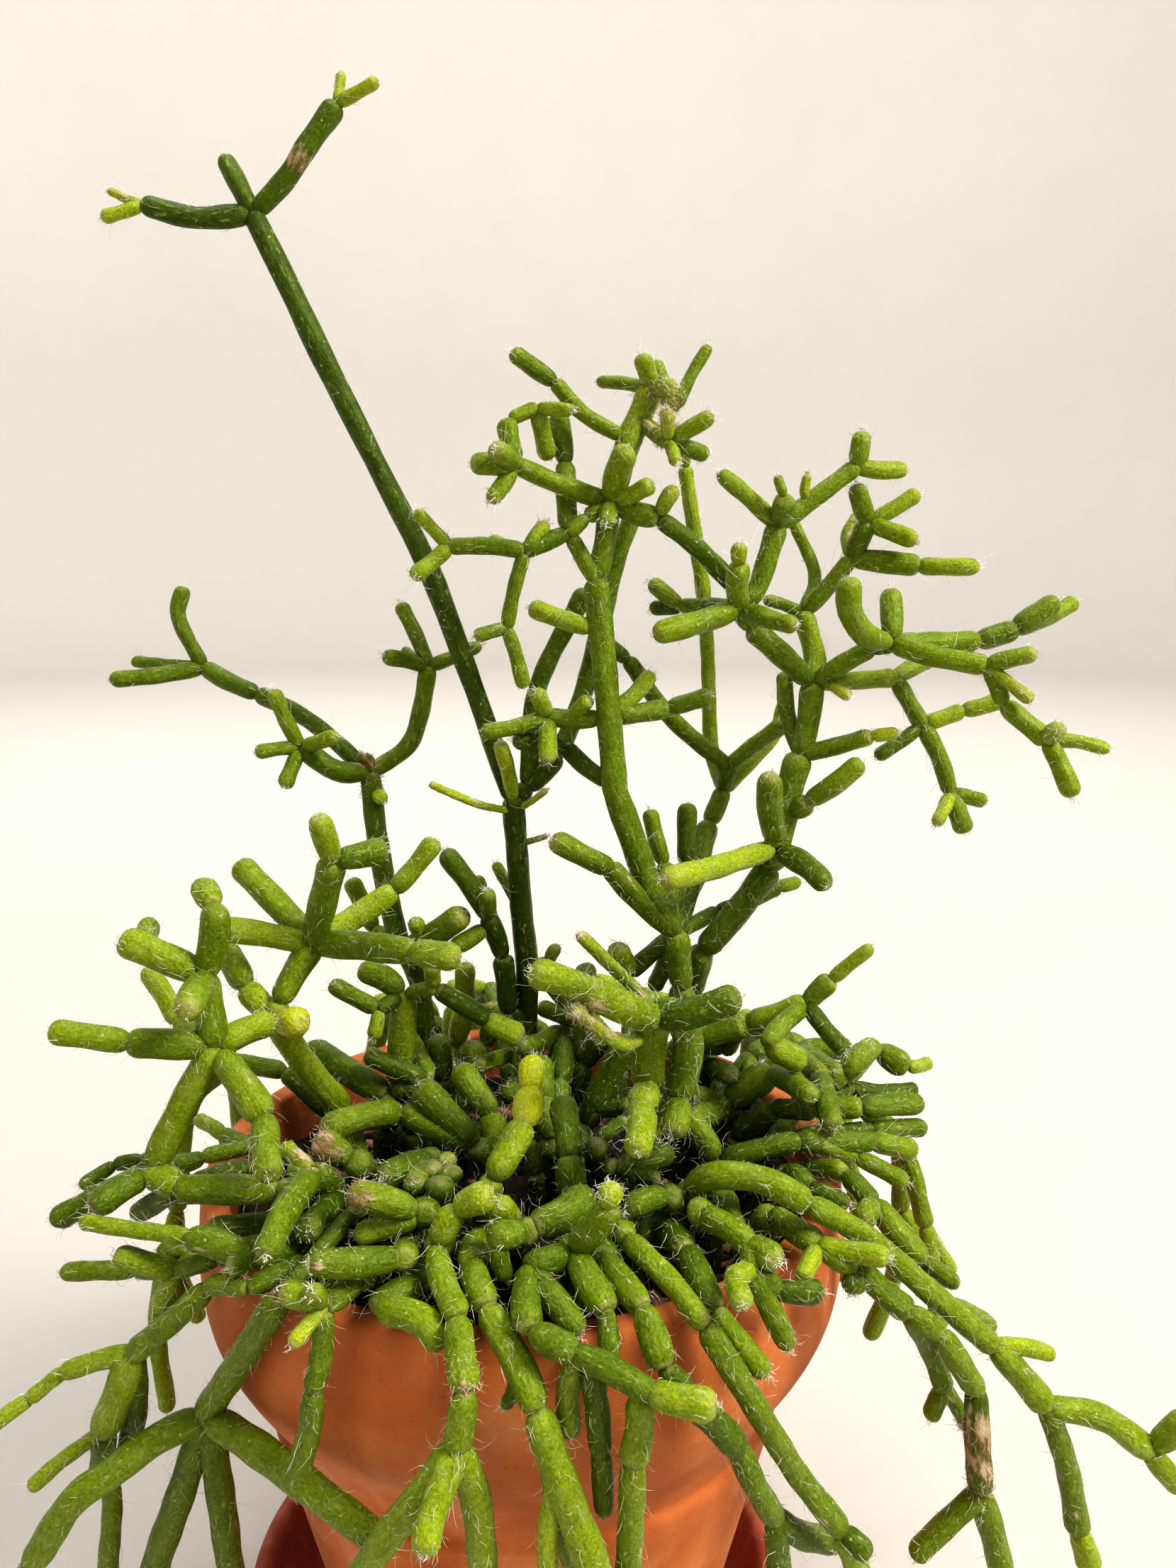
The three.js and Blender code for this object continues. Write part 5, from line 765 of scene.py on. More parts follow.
        (4.8, 0.3, high(39.2, 113.7, 125), high(33.2, 122.8, 131)),
        (3.4, 0.45, high(55.4, 116.6, 128), high(66.9, 113.9, 124), high(76.8, 109.8, 121)),
    ],
    "mound_stem_j": [
        (4.8, 0.4, (8, 4), high(6, 118, 124), high(5.2, 127, 129), high(4.6, 135, 134)),
        (4.6, 0.5, high(6, 118, 124), high(7.4, 131, 131), high(8.2, 142.6, 137)),
        (3.4, 0.4, high(8.2, 142.6, 137), high(-1.6, 139.2, 138)),
        (3.2, 0.4, high(5.2, 127, 129), high(-1.4, 137.4, 134), high(-9.4, 134.6, 136)),
        (3.8, 0.6, high(5.2, 127, 129), high(-3.7, 129, 131)),
    ],
    "left_rear_stem": [
        (3.4, 0.6, (-40, 8), high(-50, 116, 121), (-55.7, 117, -13), (-65.3, 114.8, -16),
         (-70.6, 113.3, -19)), (3, 0.4, (-55.7, 117, -13), (-61, 119.5, -5), (-65.6, 122.8, 0)),
        (4.3, 0.6, high(-50, 116, 121), (-54.8, 113, -26), (-67.2, 108.8, -30)),
    ],
    "left_low_stem": [
        (5.3, 0.6, (-30, -30), high(-50, 91, 121), (-56.3, 91, -50), (-69, 96.4, -45)),
        (3.3, 0.35, (-69, 96.4, -45), (-81, 98.8, -44, 1), (-90, 101.2, -42)),
        (4.4, 0.6, (-56.3, 91, -50), (-60.6, 89.3, -52)),
        (4.3, 0.6, high(-50, 91, 121), (-54, 98, -40), (-63, 95.4, -38)),
    ],
    "left_corky_stem": [
        (5.6, 0.55, (-28, -14), high(-31, 110, 124), high(-34.5, 113.4, 132), high(-41.8, 117.2, 134)),
        (5.4, 0.45, high(-31, 110, 124), high(-39, 106, 124), high(-42.5, 112, 132), high(-53.4, 94.2, 130)),
        (5.2, 0.65, high(-39, 106, 124), high(-46.5, 96, 124)),
        (3.2, 0.1, high(-42.5, 112, 132), high(-47.9, 117, 133)),
        (3.9, 0.15, high(-42.5, 112, 132), high(-47.2, 110.6, 130)),
    ],
    "left_trailing_stem": [
        (3.4, 0.7, (-26, -22), high(-32, 104, 124), (-36, 102.7, -42), (-50.6, 84, -57)),
        (6, 0.45, (-50.6, 84, -57), (-59, 70, -51, 1), (-67.8, 56.3, -43)),
        (5.8, 0.5, (-67.8, 56.3, -43), (-79.2, 49.8, -47, 1), (-89.2, 41.8, -49, 1), (-98.1, 34.8, -49, 1),
         (-107.7, 20, -48)), (5.4, 0.45, (-107.7, 20, -48), (-113, 4, -46)),
        (5.4, 0.4, (-67.8, 56.3, -43), (-72.7, 42.6, -42, 1), (-81.5, 18, -40, 1), (-84, 2, -40)),
        (5.3, 0.6, (-67.8, 56.3, -43), (-65.1, 50, -42, 1), (-63.9, 18, -40, 1), (-62, -2, -40)),
        (6.1, 0.5, (-67.8, 56.3, -43), (-51.6, 44.5, -56, 1), (-33, 27, -64)),
    ],
    "left_hanging_stem": [
        (6, 0.55, (-22, -30), high(-31, 92, 122), high(-34.8, 88, 124), high(-41.8, 81.8, 124)),
        (5.8, 0.4, high(-41.8, 81.8, 124), high(-49.8, 84.2, 126)),
        (4.5, 0.45, high(-41.8, 81.8, 124), (-45.3, 61.3, -64), (-49.3, 41.8, -62)),
        (3.4, 0.1, high(-41.8, 81.8, 124), (-48.8, 73, -66)),
        (4, 0.4, high(-41.8, 81.8, 124), high(-44.3, 85.4, 128)),
    ],
    "left_wispy_stem_a": [
        (4.2, 0.6, (-34, -34), high(-50, 87, 120), (-57.3, 86.4, -52), (-66, 85.8, -49)),
        (4.4, 0.4, (-66, 85.8, -49), (-74, 78.5, -47, 1), (-82.4, 71, -45)),
        (4.1, 0.35, (-82.4, 71, -45), (-97.7, 66, -44)),
        (3.2, 0.25, (-97.7, 66, -44), (-105.2, 59.6, -44), (-114, 52.8, -45)),
        (5.9, 0.25, (-82.4, 71, -45), (-90.4, 52, -43)), (3.2, 0.25, (-90.4, 52, -43), (-106.2, 38.8, -43)),
        (4.6, 0.6, (-82.4, 71, -45), (-85, 48, -37)), (4.7, 0.6, (-90.4, 52, -43), (-91.4, 41, -39)),
        (4, 0.45, (-91.4, 41, -39), (-89.6, 36, -38, 1), (-91.7, 18, -37, 1), (-92.5, 3, -37)),
    ],
    "left_wispy_stem_b": [
        (4, 0.5, (-42, -26), high(-55, 92, 120), (-63.2, 90.3, -46), (-71.8, 89.2, -43)),
        (5.1, 0.4, (-71.8, 89.2, -43), (-76.3, 79.7, -44)),
        (4.6, 0.35, (-71.8, 89.2, -43), (-83.7, 92.8, -44)),
        (3.5, 0.5, (-71.8, 89.2, -43), (-80.5, 89.6, -36), (-95.2, 89.2, -35)),
        (2.8, 0.6, (-71.8, 89.2, -43), (-69, 93.5, -40), (-75, 94, -37)),
    ],
    "front_stem_a": [
        (5.6, 0.5, (-12, -36), high(-17, 98, 122), high(-20, 94.6, 128)),
        (5.7, 0.35, high(-20, 94.6, 128), high(-14.2, 103.3, 134), high(-8.3, 106, 137)),
        (5.4, 0.45, high(-20, 94.6, 128), (-14.3, 79, -66)),
        (5.8, 0.35, (-14.3, 79, -66), (-13.5, 61.8, -72)), (6, 0.3, (-13.5, 61.8, -72), (-15.4, 48, -73)),
        (6.4, 0.3, (-15.4, 48, -73), (-24, 35, -73, 1), (-32, 24, -71, 1), (-43, 4, -68)),
        (6, 0.25, (-15.4, 48, -73), (-20.8, 32, -77, 1), (-22.6, 23.5, -81)),
        (6.3, 0.25, (-15.4, 48, -73), (-11.6, 36, -71, 1), (-10, 17, -70, 1), (-9, -6, -68)),
    ],
    "front_stem_b": [
        (5.4, 0.45, (-24, -28), high(-24, 96, 122), high(-22.5, 93.3, 129), high(-43.4, 90.2, 130)),
        (5.4, 0.6, high(-24, 96, 122), high(-20.5, 88, 124), high(-31.8, 81.2, 123)),
        (5.8, 0.3, high(-31.8, 81.2, 123), (-22.6, 78.8, -65, 1), (-17, 74.2, -67)),
    ],
    "front_stem_c": [
        (5.4, 0.5, (-2, -34), high(-2, 98, 122), high(0.5, 98.5, 131), high(-7.4, 96.8, 132)),
        (6.5, 0.6, high(0.5, 98.5, 131), high(12, 105.5, 131)),
        (5, 0.15, high(-2, 98, 122), high(-5.2, 104, 130)),
        (4, 0.5, high(-7.4, 96.8, 132), high(-5.8, 88, 126)),
    ],
    "front_stem_d": [
        (5.8, 0.5, (10, -38), high(11, 97, 122), high(10.8, 94, 128)),
        (5.9, 0.6, high(10.8, 94, 128), high(0, 90.5, 128)), (5.8, 0.65, high(0, 90.5, 128), (0.4, 76, -69)),
        (5.5, 0.55, (0.4, 76, -69), (10, 70.5, -72), (17.5, 66.5, -74, 1), (26, 61, -76)),
        (6.2, 0.2, (26, 61, -76), (38.2, 58.2, -79)), (4.6, 0.45, (10, 70.5, -72), (8.4, 51.6, -71)),
        (4.7, 0.65, (13.4, 68.5, -73), (15.3, 47.2, -72), (16, 33, -71)),
        (5.7, 0.4, (24, 62.5, -75), (22.2, 44.6, -74), (20.8, 18, -73, 1), (20, -4, -71)),
        (5.2, 0.6, high(0, 90.5, 128), high(10.2, 76.3, 122)),
        (5.9, 0.45, high(10.8, 94, 128), high(17.6, 104, 137)),
        (5, 0.1, high(17.6, 104, 137), high(17.2, 107.6, 140)),
        (5.9, 0.45, high(10.8, 94, 128), high(16.8, 80.6, 124)),
        (4.1, 0.7, high(16.8, 80.6, 124), (17.3, 69.8, -68)),
    ],
    "front_stem_e": [
        (6, 0.4, (-4, -42), high(-9, 97, 121), high(-11.2, 91, 127), high(-7.4, 82, 125)),
        (6, 0.35, high(-7.4, 82, 125), (2, 57.3, -73)),
        (6.8, 0.35, (2, 57.3, -73), (15, 18, -74, 1), (21.5, -5, -72)),
        (4.5, 0.4, (2, 57.3, -73), (9.4, 18, -69, 1), (11, 2, -68)), (4.2, 0.2, (6.2, 44, -73), (4, 14, -74)),
        (2.8, 0.6, (-2, 67, -70), (-4.7, 58.3, -70)),
    ],
    "front_stem_f": [
        (5.6, 0.55, (18, -38), high(15.5, 97, 122), high(15.3, 93, 127), high(24, 81.2, 124)),
        (6, 0.45, high(24, 81.2, 124), (28.4, 67.2, -69)), (5.6, 0.7, (28.4, 67.2, -69), (33.4, 61.4, -69)),
        (6.4, 0.6, (33.4, 61.4, -69), (44.6, 48, -64)), (5.3, 0.55, (44.6, 48, -64), (53.2, 30.6, -59)),
        (5, 0.6, (53.2, 30.6, -59), (54.2, 18, -57, 1), (54.6, 0, -56)),
        (5.6, 0.65, (53.2, 30.6, -59), (65.4, 25.4, -50)),
    ],
    "front_stem_g": [
        (4.5, 0.35, (22, -34), high(20.5, 100, 122), high(20.3, 97.8, 128), high(37.5, 77.3, 122)),
        (5.2, 0.4, high(37.5, 77.3, 122), (51.6, 53.8, -62, 1), (58.1, 40.5, -60, 1), (67.6, 27.7, -59)),
        (4.8, 0.6, (67.6, 27.7, -59), (72.9, 22.3, -61)),
        (5, 0.35, (67.6, 27.7, -59), (72, 16, -56, 1), (76, 2, -54)),
    ],
    "front_stem_h": [
        (4.9, 0.6, (26, -26), high(30, 103, 122), high(31.6, 106.6, 130), high(21, 101.2, 128)),
        (5.6, 0.7, high(30, 103, 122), high(33, 94, 124), high(38.5, 81, 122)),
        (4.4, 0.4, high(38.5, 81, 122), (48.6, 65.3, -62)),
        (5, 0.65, high(30, 103, 122), high(22, 98.6, 122)),
    ],
    "front_stem_i": [
        (5.2, 0.45, (34, -24), high(37, 101, 122), high(34.2, 104.2, 129), high(46, 95.5, 127),
         high(50.9, 92, 127)), (4.5, 0.5, high(46, 95.5, 127), (46.3, 89.8, -55), (54.4, 72.8, -57)),
        (4.7, 0.65, (46.3, 89.8, -55), (51.3, 85, -54), (59.9, 85.1, -52)),
        (4.4, 0.2, (46.3, 89.8, -55), (42.6, 87.5, -60), (44.6, 82.5, -66)),
        (4.9, 0.55, high(37, 101, 122), high(43.8, 97.5, 125), high(40.5, 106, 126)),
    ],
    "right_trailing_stem_a": [
        (5.1, 0.45, (28, -14), high(31, 103, 122), high(32.8, 106.6, 129), high_bend(38, 110.5, 133),
         high_bend(47.5, 110, 133), high(57.6, 104.6, 129)),
        (4.8, 0.45, high(57.6, 104.6, 129), (71, 96.3, -42, 1), (82, 86, -41, 1), (97.6, 72, -39)),
        (4.9, 0.4, (97.6, 72, -39), (109.8, 57.8, -39)),
        (5.4, 0.4, (109.8, 57.8, -39), (121, 55.5, -38, 1), (132.2, 47.3, -37)),
        (4.4, 0.3, (132.2, 47.3, -37), (139, 38.8, -37)), (5.2, 0.3, (132.2, 47.3, -37), (139.5, 54.2, -39)),
        (4.7, 0.4, (109.8, 57.8, -39), (118.8, 27.6, -37)),
        (4.8, 0.15, (118.8, 27.6, -37), (121.8, 19.2, -37)), (3.5, 0.2, (97.6, 72, -39), (109.3, 70.3, -35)),
        (3.6, 0.5, (86, 83, -40), (96.5, 76.6, -34)),
    ],
    "right_trailing_stem_b": [
        (5.3, 0.5, (38, -24), high(50, 102, 122), high(60, 95, 122), (68, 90.5, -45)),
        (4.4, 0.25, high(60, 95, 122), (73.5, 92.7, -48)), (3.9, 0.15, high(60, 95, 122), (57.5, 87.6, -50)),
        (4.6, 0.7, (68, 90.5, -45), (67.8, 85.5, -47)), (4.8, 0.6, (68, 90.5, -45), (79.5, 79.8, -46)),
        (4.7, 0.45, (79.5, 79.8, -46), (86.4, 75, -46)), (4.7, 0.4, (86.4, 75, -46), (94.6, 61.8, -43)),
        (5, 0.8, (94.6, 61.8, -43), (97, 37.2, -41)), (4.8, 0.65, (97, 37.2, -41), (84.2, 22, -41)),
        (5.3, 0.45, (97, 37.2, -41), (102.6, 18, -40, 1), (105.5, 2, -39)),
        (4.5, 0.65, (79.5, 79.8, -46), (84.4, 71, -40, 1), (87.8, 62.3, -38)),
        (3.6, 0.5, (87.8, 62.3, -38), (85.4, 55.8, -38)), (3, 0.45, (87.8, 62.3, -38), (93.2, 53.2, -36)),
    ],
    "right_trailing_stem_c": [
        (4.1, 0.5, (48, -12), high(60, 113, 123), (64.5, 114.2, -22), (71, 104.7, -29)),
        (5.2, 0.5, (71, 104.7, -29), (81.6, 91.8, -34)), (5, 0.5, (71, 104.7, -29), (67.6, 102.4, -33)),
        (3.9, 0.7, (81.6, 91.8, -34), (88.4, 86.8, -35)),
    ],
    "right_short_stem": [
        (5.2, 0.6, (44, -12), high(54, 112, 123), high(57.2, 108.4, 124)),
        (3.8, 0.7, high(57.2, 108.4, 124), (66.4, 103.6, -32)),
    ],
    "mound_stem_f": [
        (6.2, 0.5, (-20, -26), high(-22, 103, 124), high(-20.5, 102.5, 130), high(-34.6, 106.5, 133)),
        (4.8, 0.16, high(-20.5, 102.5, 130), high(-33.4, 96.6, 125)),
        (5, 0.6, high(-22, 103, 124), high(-28.5, 98, 124)),
    ],
    "mound_stem_g": [
        (5.5, 0.5, (-16, -16), high(-18.5, 112, 124), high(-19.6, 114.6, 131), high(-28.2, 110.6, 132)),
        (4.8, 0.6, high(-18.5, 112, 124), high(-18.8, 110, 131)),
        (4.8, 0.6, high(-18.5, 112, 124), high(-22.2, 106.7, 130)),
        (4.8, 0.6, high(-18.5, 112, 124), high(-17.8, 106.7, 130)),
        (3.6, 0.3, high(-18.5, 112, 124), high(-15.8, 114, 132)),
    ],
    "mound_stem_h": [
        (3.8, 0.6, (14, -14), high(14, 112, 122), high(18.2, 112.4, 127), high(26.4, 109.8, 126)),
        (4.6, 0.5, high(14, 112, 122), high(14.5, 117, 129)),
        (4.8, 0.5, high(18.2, 112.4, 127), high(28.4, 115.8, 128)),
        (3, 0.6, high(14, 112, 122), high(15, 118.8, 126), high(20, 122.4, 128)),
    ],
    "mound_stem_i": [
        (3.4, 0.4, (2, -12), high(2.3, 110.8, 122), high(1, 117.4, 127)),
    ],
}
print("stems in front:", len(STEMS))

# %% [markdown]
# ## Stems behind the pot
# The stems at the back hang over the rim in the same manner, so one pattern of nine runs is enough. It is
# turned to its own angle round the pot, leaned to one side and let down a little more or less, which keeps
# the copies apart.

# %% The pattern for the back
BACK_STEMS = [
    (6, -6, 0), (27, 4, 8), (47, -5, 2), (63, 5, 14), (80, -4, 6), (98, 3, 16), (121, -3, 4), (158, 5, 12),
]  # degrees round the pot, lean, drop


def back_stem(angle, lean, drop):
    turn = math.radians(angle)

    def at(out, side, up, *bend):
        x = out * math.cos(turn) - side * math.sin(turn)
        y = out * math.sin(turn) + side * math.cos(turn)
        depth = (y - EYE[1]) / -EYE[1]
        return (EYE[0] + (x - EYE[0]) / depth, EYE[2] + (up - EYE[2]) / depth, y, *bend)

    root = (36 * math.cos(turn), 36 * math.sin(turn))
    crest, hip = at(68, lean, 126), at(56, lean / 2, 125)
    knee, elbow = at(80, lean + 7, 98 - drop / 2), at(77, lean - 13, 106 - drop)
    return [
        (3.6, 0.6, root, at(46, 0, 115), hip, crest),
        (3.5, 0.5, crest, at(77, lean + 4, 116, 1), knee),
        (3.5, 0.4, knee, at(82, lean + 13, 80 - drop, 1), at(78, lean + 16, 62 - drop)),
        (3.2, 0.35, knee, at(86, lean + 2, 86 - drop), at(85, lean - 3, 70 - drop)),
        (3.4, 0.45, crest, at(74, lean - 8, 119, 1), elbow),
        (3.1, 0.3, elbow, at(79, lean - 18, 88 - drop)),
        (2.8, 0.2, elbow, at(84, lean - 10, 94 - drop)),
        (3, 0.15, crest, at(62, lean + 10, 129)),
        (3.2, 0.5, hip, at(49, -9, 121)),
    ]


for number, settings in enumerate(BACK_STEMS, 1):
    STEMS[f"back_stem_{number}"] = back_stem(*settings)
print("stems:", len(STEMS), "runs:", sum(len(runs) for runs in STEMS.values()))

# %% [markdown]
# ## From readings to real joints
# Each joint is carried along its line of sight to its depth, and thickness grows with it. A run that starts
# beside an older link, and not at a joint, is grafted onto the nearest spot of it. We remember which straight
# parts belong to one link, because one link may bend twice and still has only one pinch at each end.

# %% Grow the joints and links
def real_place(joint):
    if len(joint) == 2:
        return np.array([joint[0], joint[1], ROOT_HEIGHT]), 1 + joint[1] / -EYE[1]
    scale = (joint[2] - EYE[1]) / -EYE[1]
    x, z = EYE[0] + (joint[0] - EYE[0]) * scale, EYE[2] + (joint[1] - EYE[2]) * scale
    return np.array([x, joint[2], z]), scale


joints, rooted, parts = [], [], []  # parts: [tree, a, b, radius, age, link number]


def graft(at, tree):
    best = None
    for part in parts:
        if part[0] == tree:
            a, b = joints[part[1]], joints[part[2]]
            share = min(1, max(0, (at - a) @ (b - a) / ((b - a) @ (b - a))))
            spot = a + (b - a) * share
            miss = np.linalg.norm(at - spot)
            if best is None or miss < best[0]:
                best = (miss, part, spot)
    part = best[1]
    parts.append([part[0], len(joints), *part[2:]])
    part[2] = len(joints)
    return best[2]


link_count = 0
grafts = {}
for tree, runs in STEMS.items():
    known = {}
    for thickness, age, *route in runs:
        last = None
        for step, joint in enumerate(route):
            key = joint[:3]
            if key not in known:
                at, scale = real_place(joint)
                if step == 0 and known and len(joint) > 2:
                    at = graft(at, tree)
                    grafts[len(joints)] = parts[-1][3]
                joints.append(at)
                rooted.append(len(joint) == 2)
                known[key] = (len(joints) - 1, scale)
            index, scale = known[key]
            if last:
                parts.append([tree, last[0], index, thickness / 4 * (last[1] + scale), age, link_count])
            if len(joint) < 4:
                link_count += 1
            last = (index, scale)
spots = np.array(joints)
print("joints:", len(joints), "straight parts:", len(parts), "links:", len({p[5] for p in parts}))

# %% [markdown]
# ## Easing crossed stems apart
# Readings from one side are sure across the view and less sure along it, so some stems run through each
# other. We push each crossing pair apart, mostly along the line of sight, and push stems out of the pot's
# wall, again and again in small rounds. NumPy does all pairs at once, so ninety rounds take a moment.

# %% Ease the joints
EASE_ROUNDS, EASE_GAP, EASE_REACH, EASE_ACROSS, WALL_HALF = 90, 0.45, 14.0, 0.3, 3.8
POT_WALLS = [
    ((60.2, GROOVE_HEIGHT + 2), (60.2, LIP_HEIGHT - 2)), ((50.0, GROOVE_HEIGHT), (35.0, FOOT_HEIGHT)),
]
START, END = np.array([p[1] for p in parts]), np.array([p[2] for p in parts])
RADIUS = np.array([p[3] for p in parts])


def dots(a, b):
    return np.einsum("ij,ij->i", a, b)


def nearest(p1, q1, p2, q2):
    """The shares along pairs of straight parts at which they are nearest, and the way between."""
    d1, d2, r = q1 - p1, q2 - p2, p1 - p2
    a, e, b, c, f = dots(d1, d1), dots(d2, d2), dots(d1, d2), dots(d1, r), dots(d2, r)
    below = a * e - b * b
    s = np.where(below > 1e-9, np.clip((b * f - c * e) / np.where(below > 1e-9, below, 1), 0, 1), 0.5)
    t = np.clip((b * s + f) / e, 0, 1)
    s = np.clip((b * t - c) / a, 0, 1)
    t = np.clip((b * s + f) / e, 0, 1)
    return s, t, p1 + d1 * s[:, None] - p2 - d2 * t[:, None]


def loose_pairs():
    near = np.eye(len(spots), dtype=bool)
    near[START, END] = near[END, START] = True
    one, two = np.triu_indices(len(parts), 1)
    way = nearest(spots[START[one]], spots[END[one]], spots[START[two]], spots[END[two]])[2]
    touches = near[START[one], START[two]] | near[START[one], END[two]]
    touches |= near[END[one], START[two]] | near[END[one], END[two]]
    keep = (np.linalg.norm(way, axis=1) < EASE_REACH) & ~touches
    return one[keep], two[keep]


def push(shifts, which, share, way):
    spread = (1 - share) ** 2 + share ** 2
    for ends, weight in ((START[which], 1 - share), (END[which], share)):
        live = weight >= 1e-6
        moved = np.column_stack([way * (weight / spread)[:, None], np.ones(len(way))])
        np.add.at(shifts, ends[live], moved[live])


def wall_push(points, radius):
    """The push that takes each point, with its part's radius, out of the first wall that it is in."""
    reach = np.hypot(points[:, 0], points[:, 1])
    result, done = np.zeros_like(points), np.zeros(len(points), bool)
    for low, top in POT_WALLS:
        run = np.subtract(top, low)
        off = np.column_stack([reach - low[0], points[:, 2] - low[1]])
        share = np.clip(off @ run / (run @ run), 0, 1)
        away = off - run * share[:, None]
        distance = np.linalg.norm(away, axis=1)
        short = WALL_HALF + radius + EASE_GAP - distance
        hit = (short > 0) & (distance > 1e-6) & ~done
        unit = away[hit] / distance[hit][:, None] * short[hit][:, None]
        flat = points[hit][:, :2] / reach[hit][:, None]
        result[hit] = np.column_stack([flat * unit[:, :1], unit[:, 1]])
        done |= hit
    return result, done


one, two = loose_pairs()
free = ~np.array(rooted)
for _ in range(EASE_ROUNDS):
    shifts = np.zeros((len(spots), 4))
    p1, q1, p2, q2 = spots[START[one]], spots[END[one]], spots[START[two]], spots[END[two]]
    s, t, way = nearest(p1, q1, p2, q2)
    distance = np.linalg.norm(way, axis=1)
    short = RADIUS[one] + RADIUS[two] + EASE_GAP - distance
    hit = short > 0
    sight = (p1 + (q1 - p1) * s[:, None] - EYE)[hit]
    sight /= np.linalg.norm(sight, axis=1)[:, None]
    near = distance[hit][:, None]
    apart = np.where(near > 1e-3, way[hit] / np.maximum(near, 1e-3), sight)
    facing = dots(apart, sight)
    eased = EASE_ACROSS * apart + (1 - EASE_ACROSS) * facing[:, None] * sight
    eased *= (short[hit] / 2 / (EASE_ACROSS + (1 - EASE_ACROSS) * facing ** 2))[:, None]
    push(shifts, one[hit], s[hit], eased)
    push(shifts, two[hit], t[hit], -eased)
    for share in (0, 0.25, 0.5, 0.75, 1):
        points = spots[START] + (spots[END] - spots[START]) * share
        out, done = wall_push(points, RADIUS)
        push(shifts, np.flatnonzero(done), np.full(done.sum(), share), out[done])
    soften = np.where(shifts[:, 3] > 0, 2 / (1 + shifts[:, 3]), 0)
    spots[:, :2] += shifts[:, :2] * soften[:, None]
    spots[free, 2] += (shifts[:, 2] * soften)[free]
print("pairs watched:", len(one), "box of joints:", spots.min(0).round(1), spots.max(0).round(1))

# %% Compare with the frame
worst = 0
for tree in STEMS:
    own = sorted({i for p in parts if p[0] == tree and p[3] > 1.4 for i in p[1:3]})
    low, top = (np.array(corner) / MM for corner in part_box(tree))
    worst = max(worst, float((low - spots[own].min(0)).max()), float((spots[own].max(0) - top).max()))
print("a joint lies outside its frame piece by at most", round(worst, 2), "mm")

# %% [markdown]
# ## One link of the plant
# A link is a green sausage with blunt round ends. We model it once: a twelve-sided cylinder whose end faces
# are extruded and drawn in until they close, with cuts along its length so that it can bend. Short and long
# links need different numbers of cuts, so there are two. Every link of the plant is a copy that is stretched
# between its two joints, bent through the points between, and given its own small lumps.

# %% Model the link
LINK_SIDES = 12
CAP = ((0.36, 0.93), (0.28, 0.79), (0.19, 0.62), (0.1, 0.42))  # (further out, share of the width) in radii
CAP_REACH = sum(step for step, _ in CAP) + 0.03


def link_template(cuts):
    deselect()
    bpy.ops.mesh.primitive_cylinder_add(vertices=LINK_SIDES, radius=1, depth=2, end_fill_type="NGON")
    piece = bpy.context.object
    bpy.ops.object.mode_set(mode="EDIT")
    for side in (-1, 1):
        bpy.ops.mesh.select_all(action="DESELECT")
        bpy.ops.object.mode_set(mode="OBJECT")
        for face in piece.data.polygons:
            face.select = face.normal.z * side > 0.9
        bpy.ops.object.mode_set(mode="EDIT")
        bpy.ops.mesh.select_mode(type="FACE")
        width = 1.0
        for step, share in CAP:
            bpy.ops.mesh.extrude_region_move(TRANSFORM_OT_translate={"value": (0, 0, side * step)})
            bpy.ops.transform.resize(value=(share / width, share / width, 1))
            width = share
        bpy.ops.mesh.poke(offset=0.03)
    for height in np.linspace(-1, 1, cuts + 1)[1:-1]:
        bpy.ops.mesh.select_all(action="SELECT")
        bpy.ops.mesh.bisect(plane_co=(0, 0, height), plane_no=(0, 0, 1))
    bpy.ops.object.mode_set(mode="OBJECT")
    return arrays_of(piece)


SHORT_LINK, LONG_LINK = link_template(7), link_template(22)
print("short link faces:", len(SHORT_LINK[1]), "long link faces:", len(LONG_LINK[1]))

# %% [markdown]
# ## Bending a copy along its centre line
# The joints of a link are rounded off with a Catmull-Rom curve. To keep the copy from twisting, its sideways
# direction is carried along the curve and straightened at every step. The caps keep their shape and only the
# middle is stretched. Where the next link starts, both run past the joint by a little, and the notch between
# the two rounded ends is the pinch that gives this cactus its look.

# %% Centre lines and copies
OVERLAP = 0.18  # a link runs past its joint by this share of its radius
PLUMP = 1.07  # links swell a little past the thickness measured at their middle
STEPS = 14  # points of the curve between two joints


def smooth_line(points):
    points = np.asarray(points)
    padded = np.vstack([2 * points[0] - points[1], points, 2 * points[-1] - points[-2]])
    t = np.linspace(0, 1, STEPS, endpoint=False)[:, None]
    pieces = []
    for a, b, c, d in zip(padded, padded[1:], padded[2:], padded[3:]):
        curve = 2 * b + (c - a) * t + (2 * a - 5 * b + 4 * c - d) * t ** 2
        pieces.append(0.5 * (curve + (3 * b - a - 3 * c + d) * t ** 3))
    return np.vstack([*pieces, points[-1:]])


def carried_frames(line):
    ways = np.gradient(line, axis=0)
    ways /= np.linalg.norm(ways, axis=1)[:, None]
    side = np.cross(ways[0], (0.31, 0.2, 0.93) if abs(ways[0][2]) < 0.9 else (1, 0, 0))
    sides = []
    for way in ways:
        side = side - way * (side @ way)
        side /= np.linalg.norm(side)
        sides.append(side)
    sides = np.array(sides)
    return ways, sides, np.cross(ways, sides)


def along_line(line, lengths, at):
    """Places, directions and frames at distances along a line, running straight on past its ends."""
    fields = (line, *carried_frames(line))
    places, way, side, over = (
        np.column_stack([np.interp(at, lengths, field[:, i]) for i in range(3)]) for field in fields)
    places += way * (np.minimum(at, 0) + np.maximum(at - lengths[-1], 0))[:, None]
    return places, way, side, over


def lengths_of(line):
    return np.concatenate([[0], np.cumsum(np.linalg.norm(np.diff(line, axis=0), axis=1))])


test_line = smooth_line([(0, 0, 0), (9, 0, 2), (14, 0, 9)])
print("a test curve is", round(float(lengths_of(test_line)[-1]), 2), "mm long")
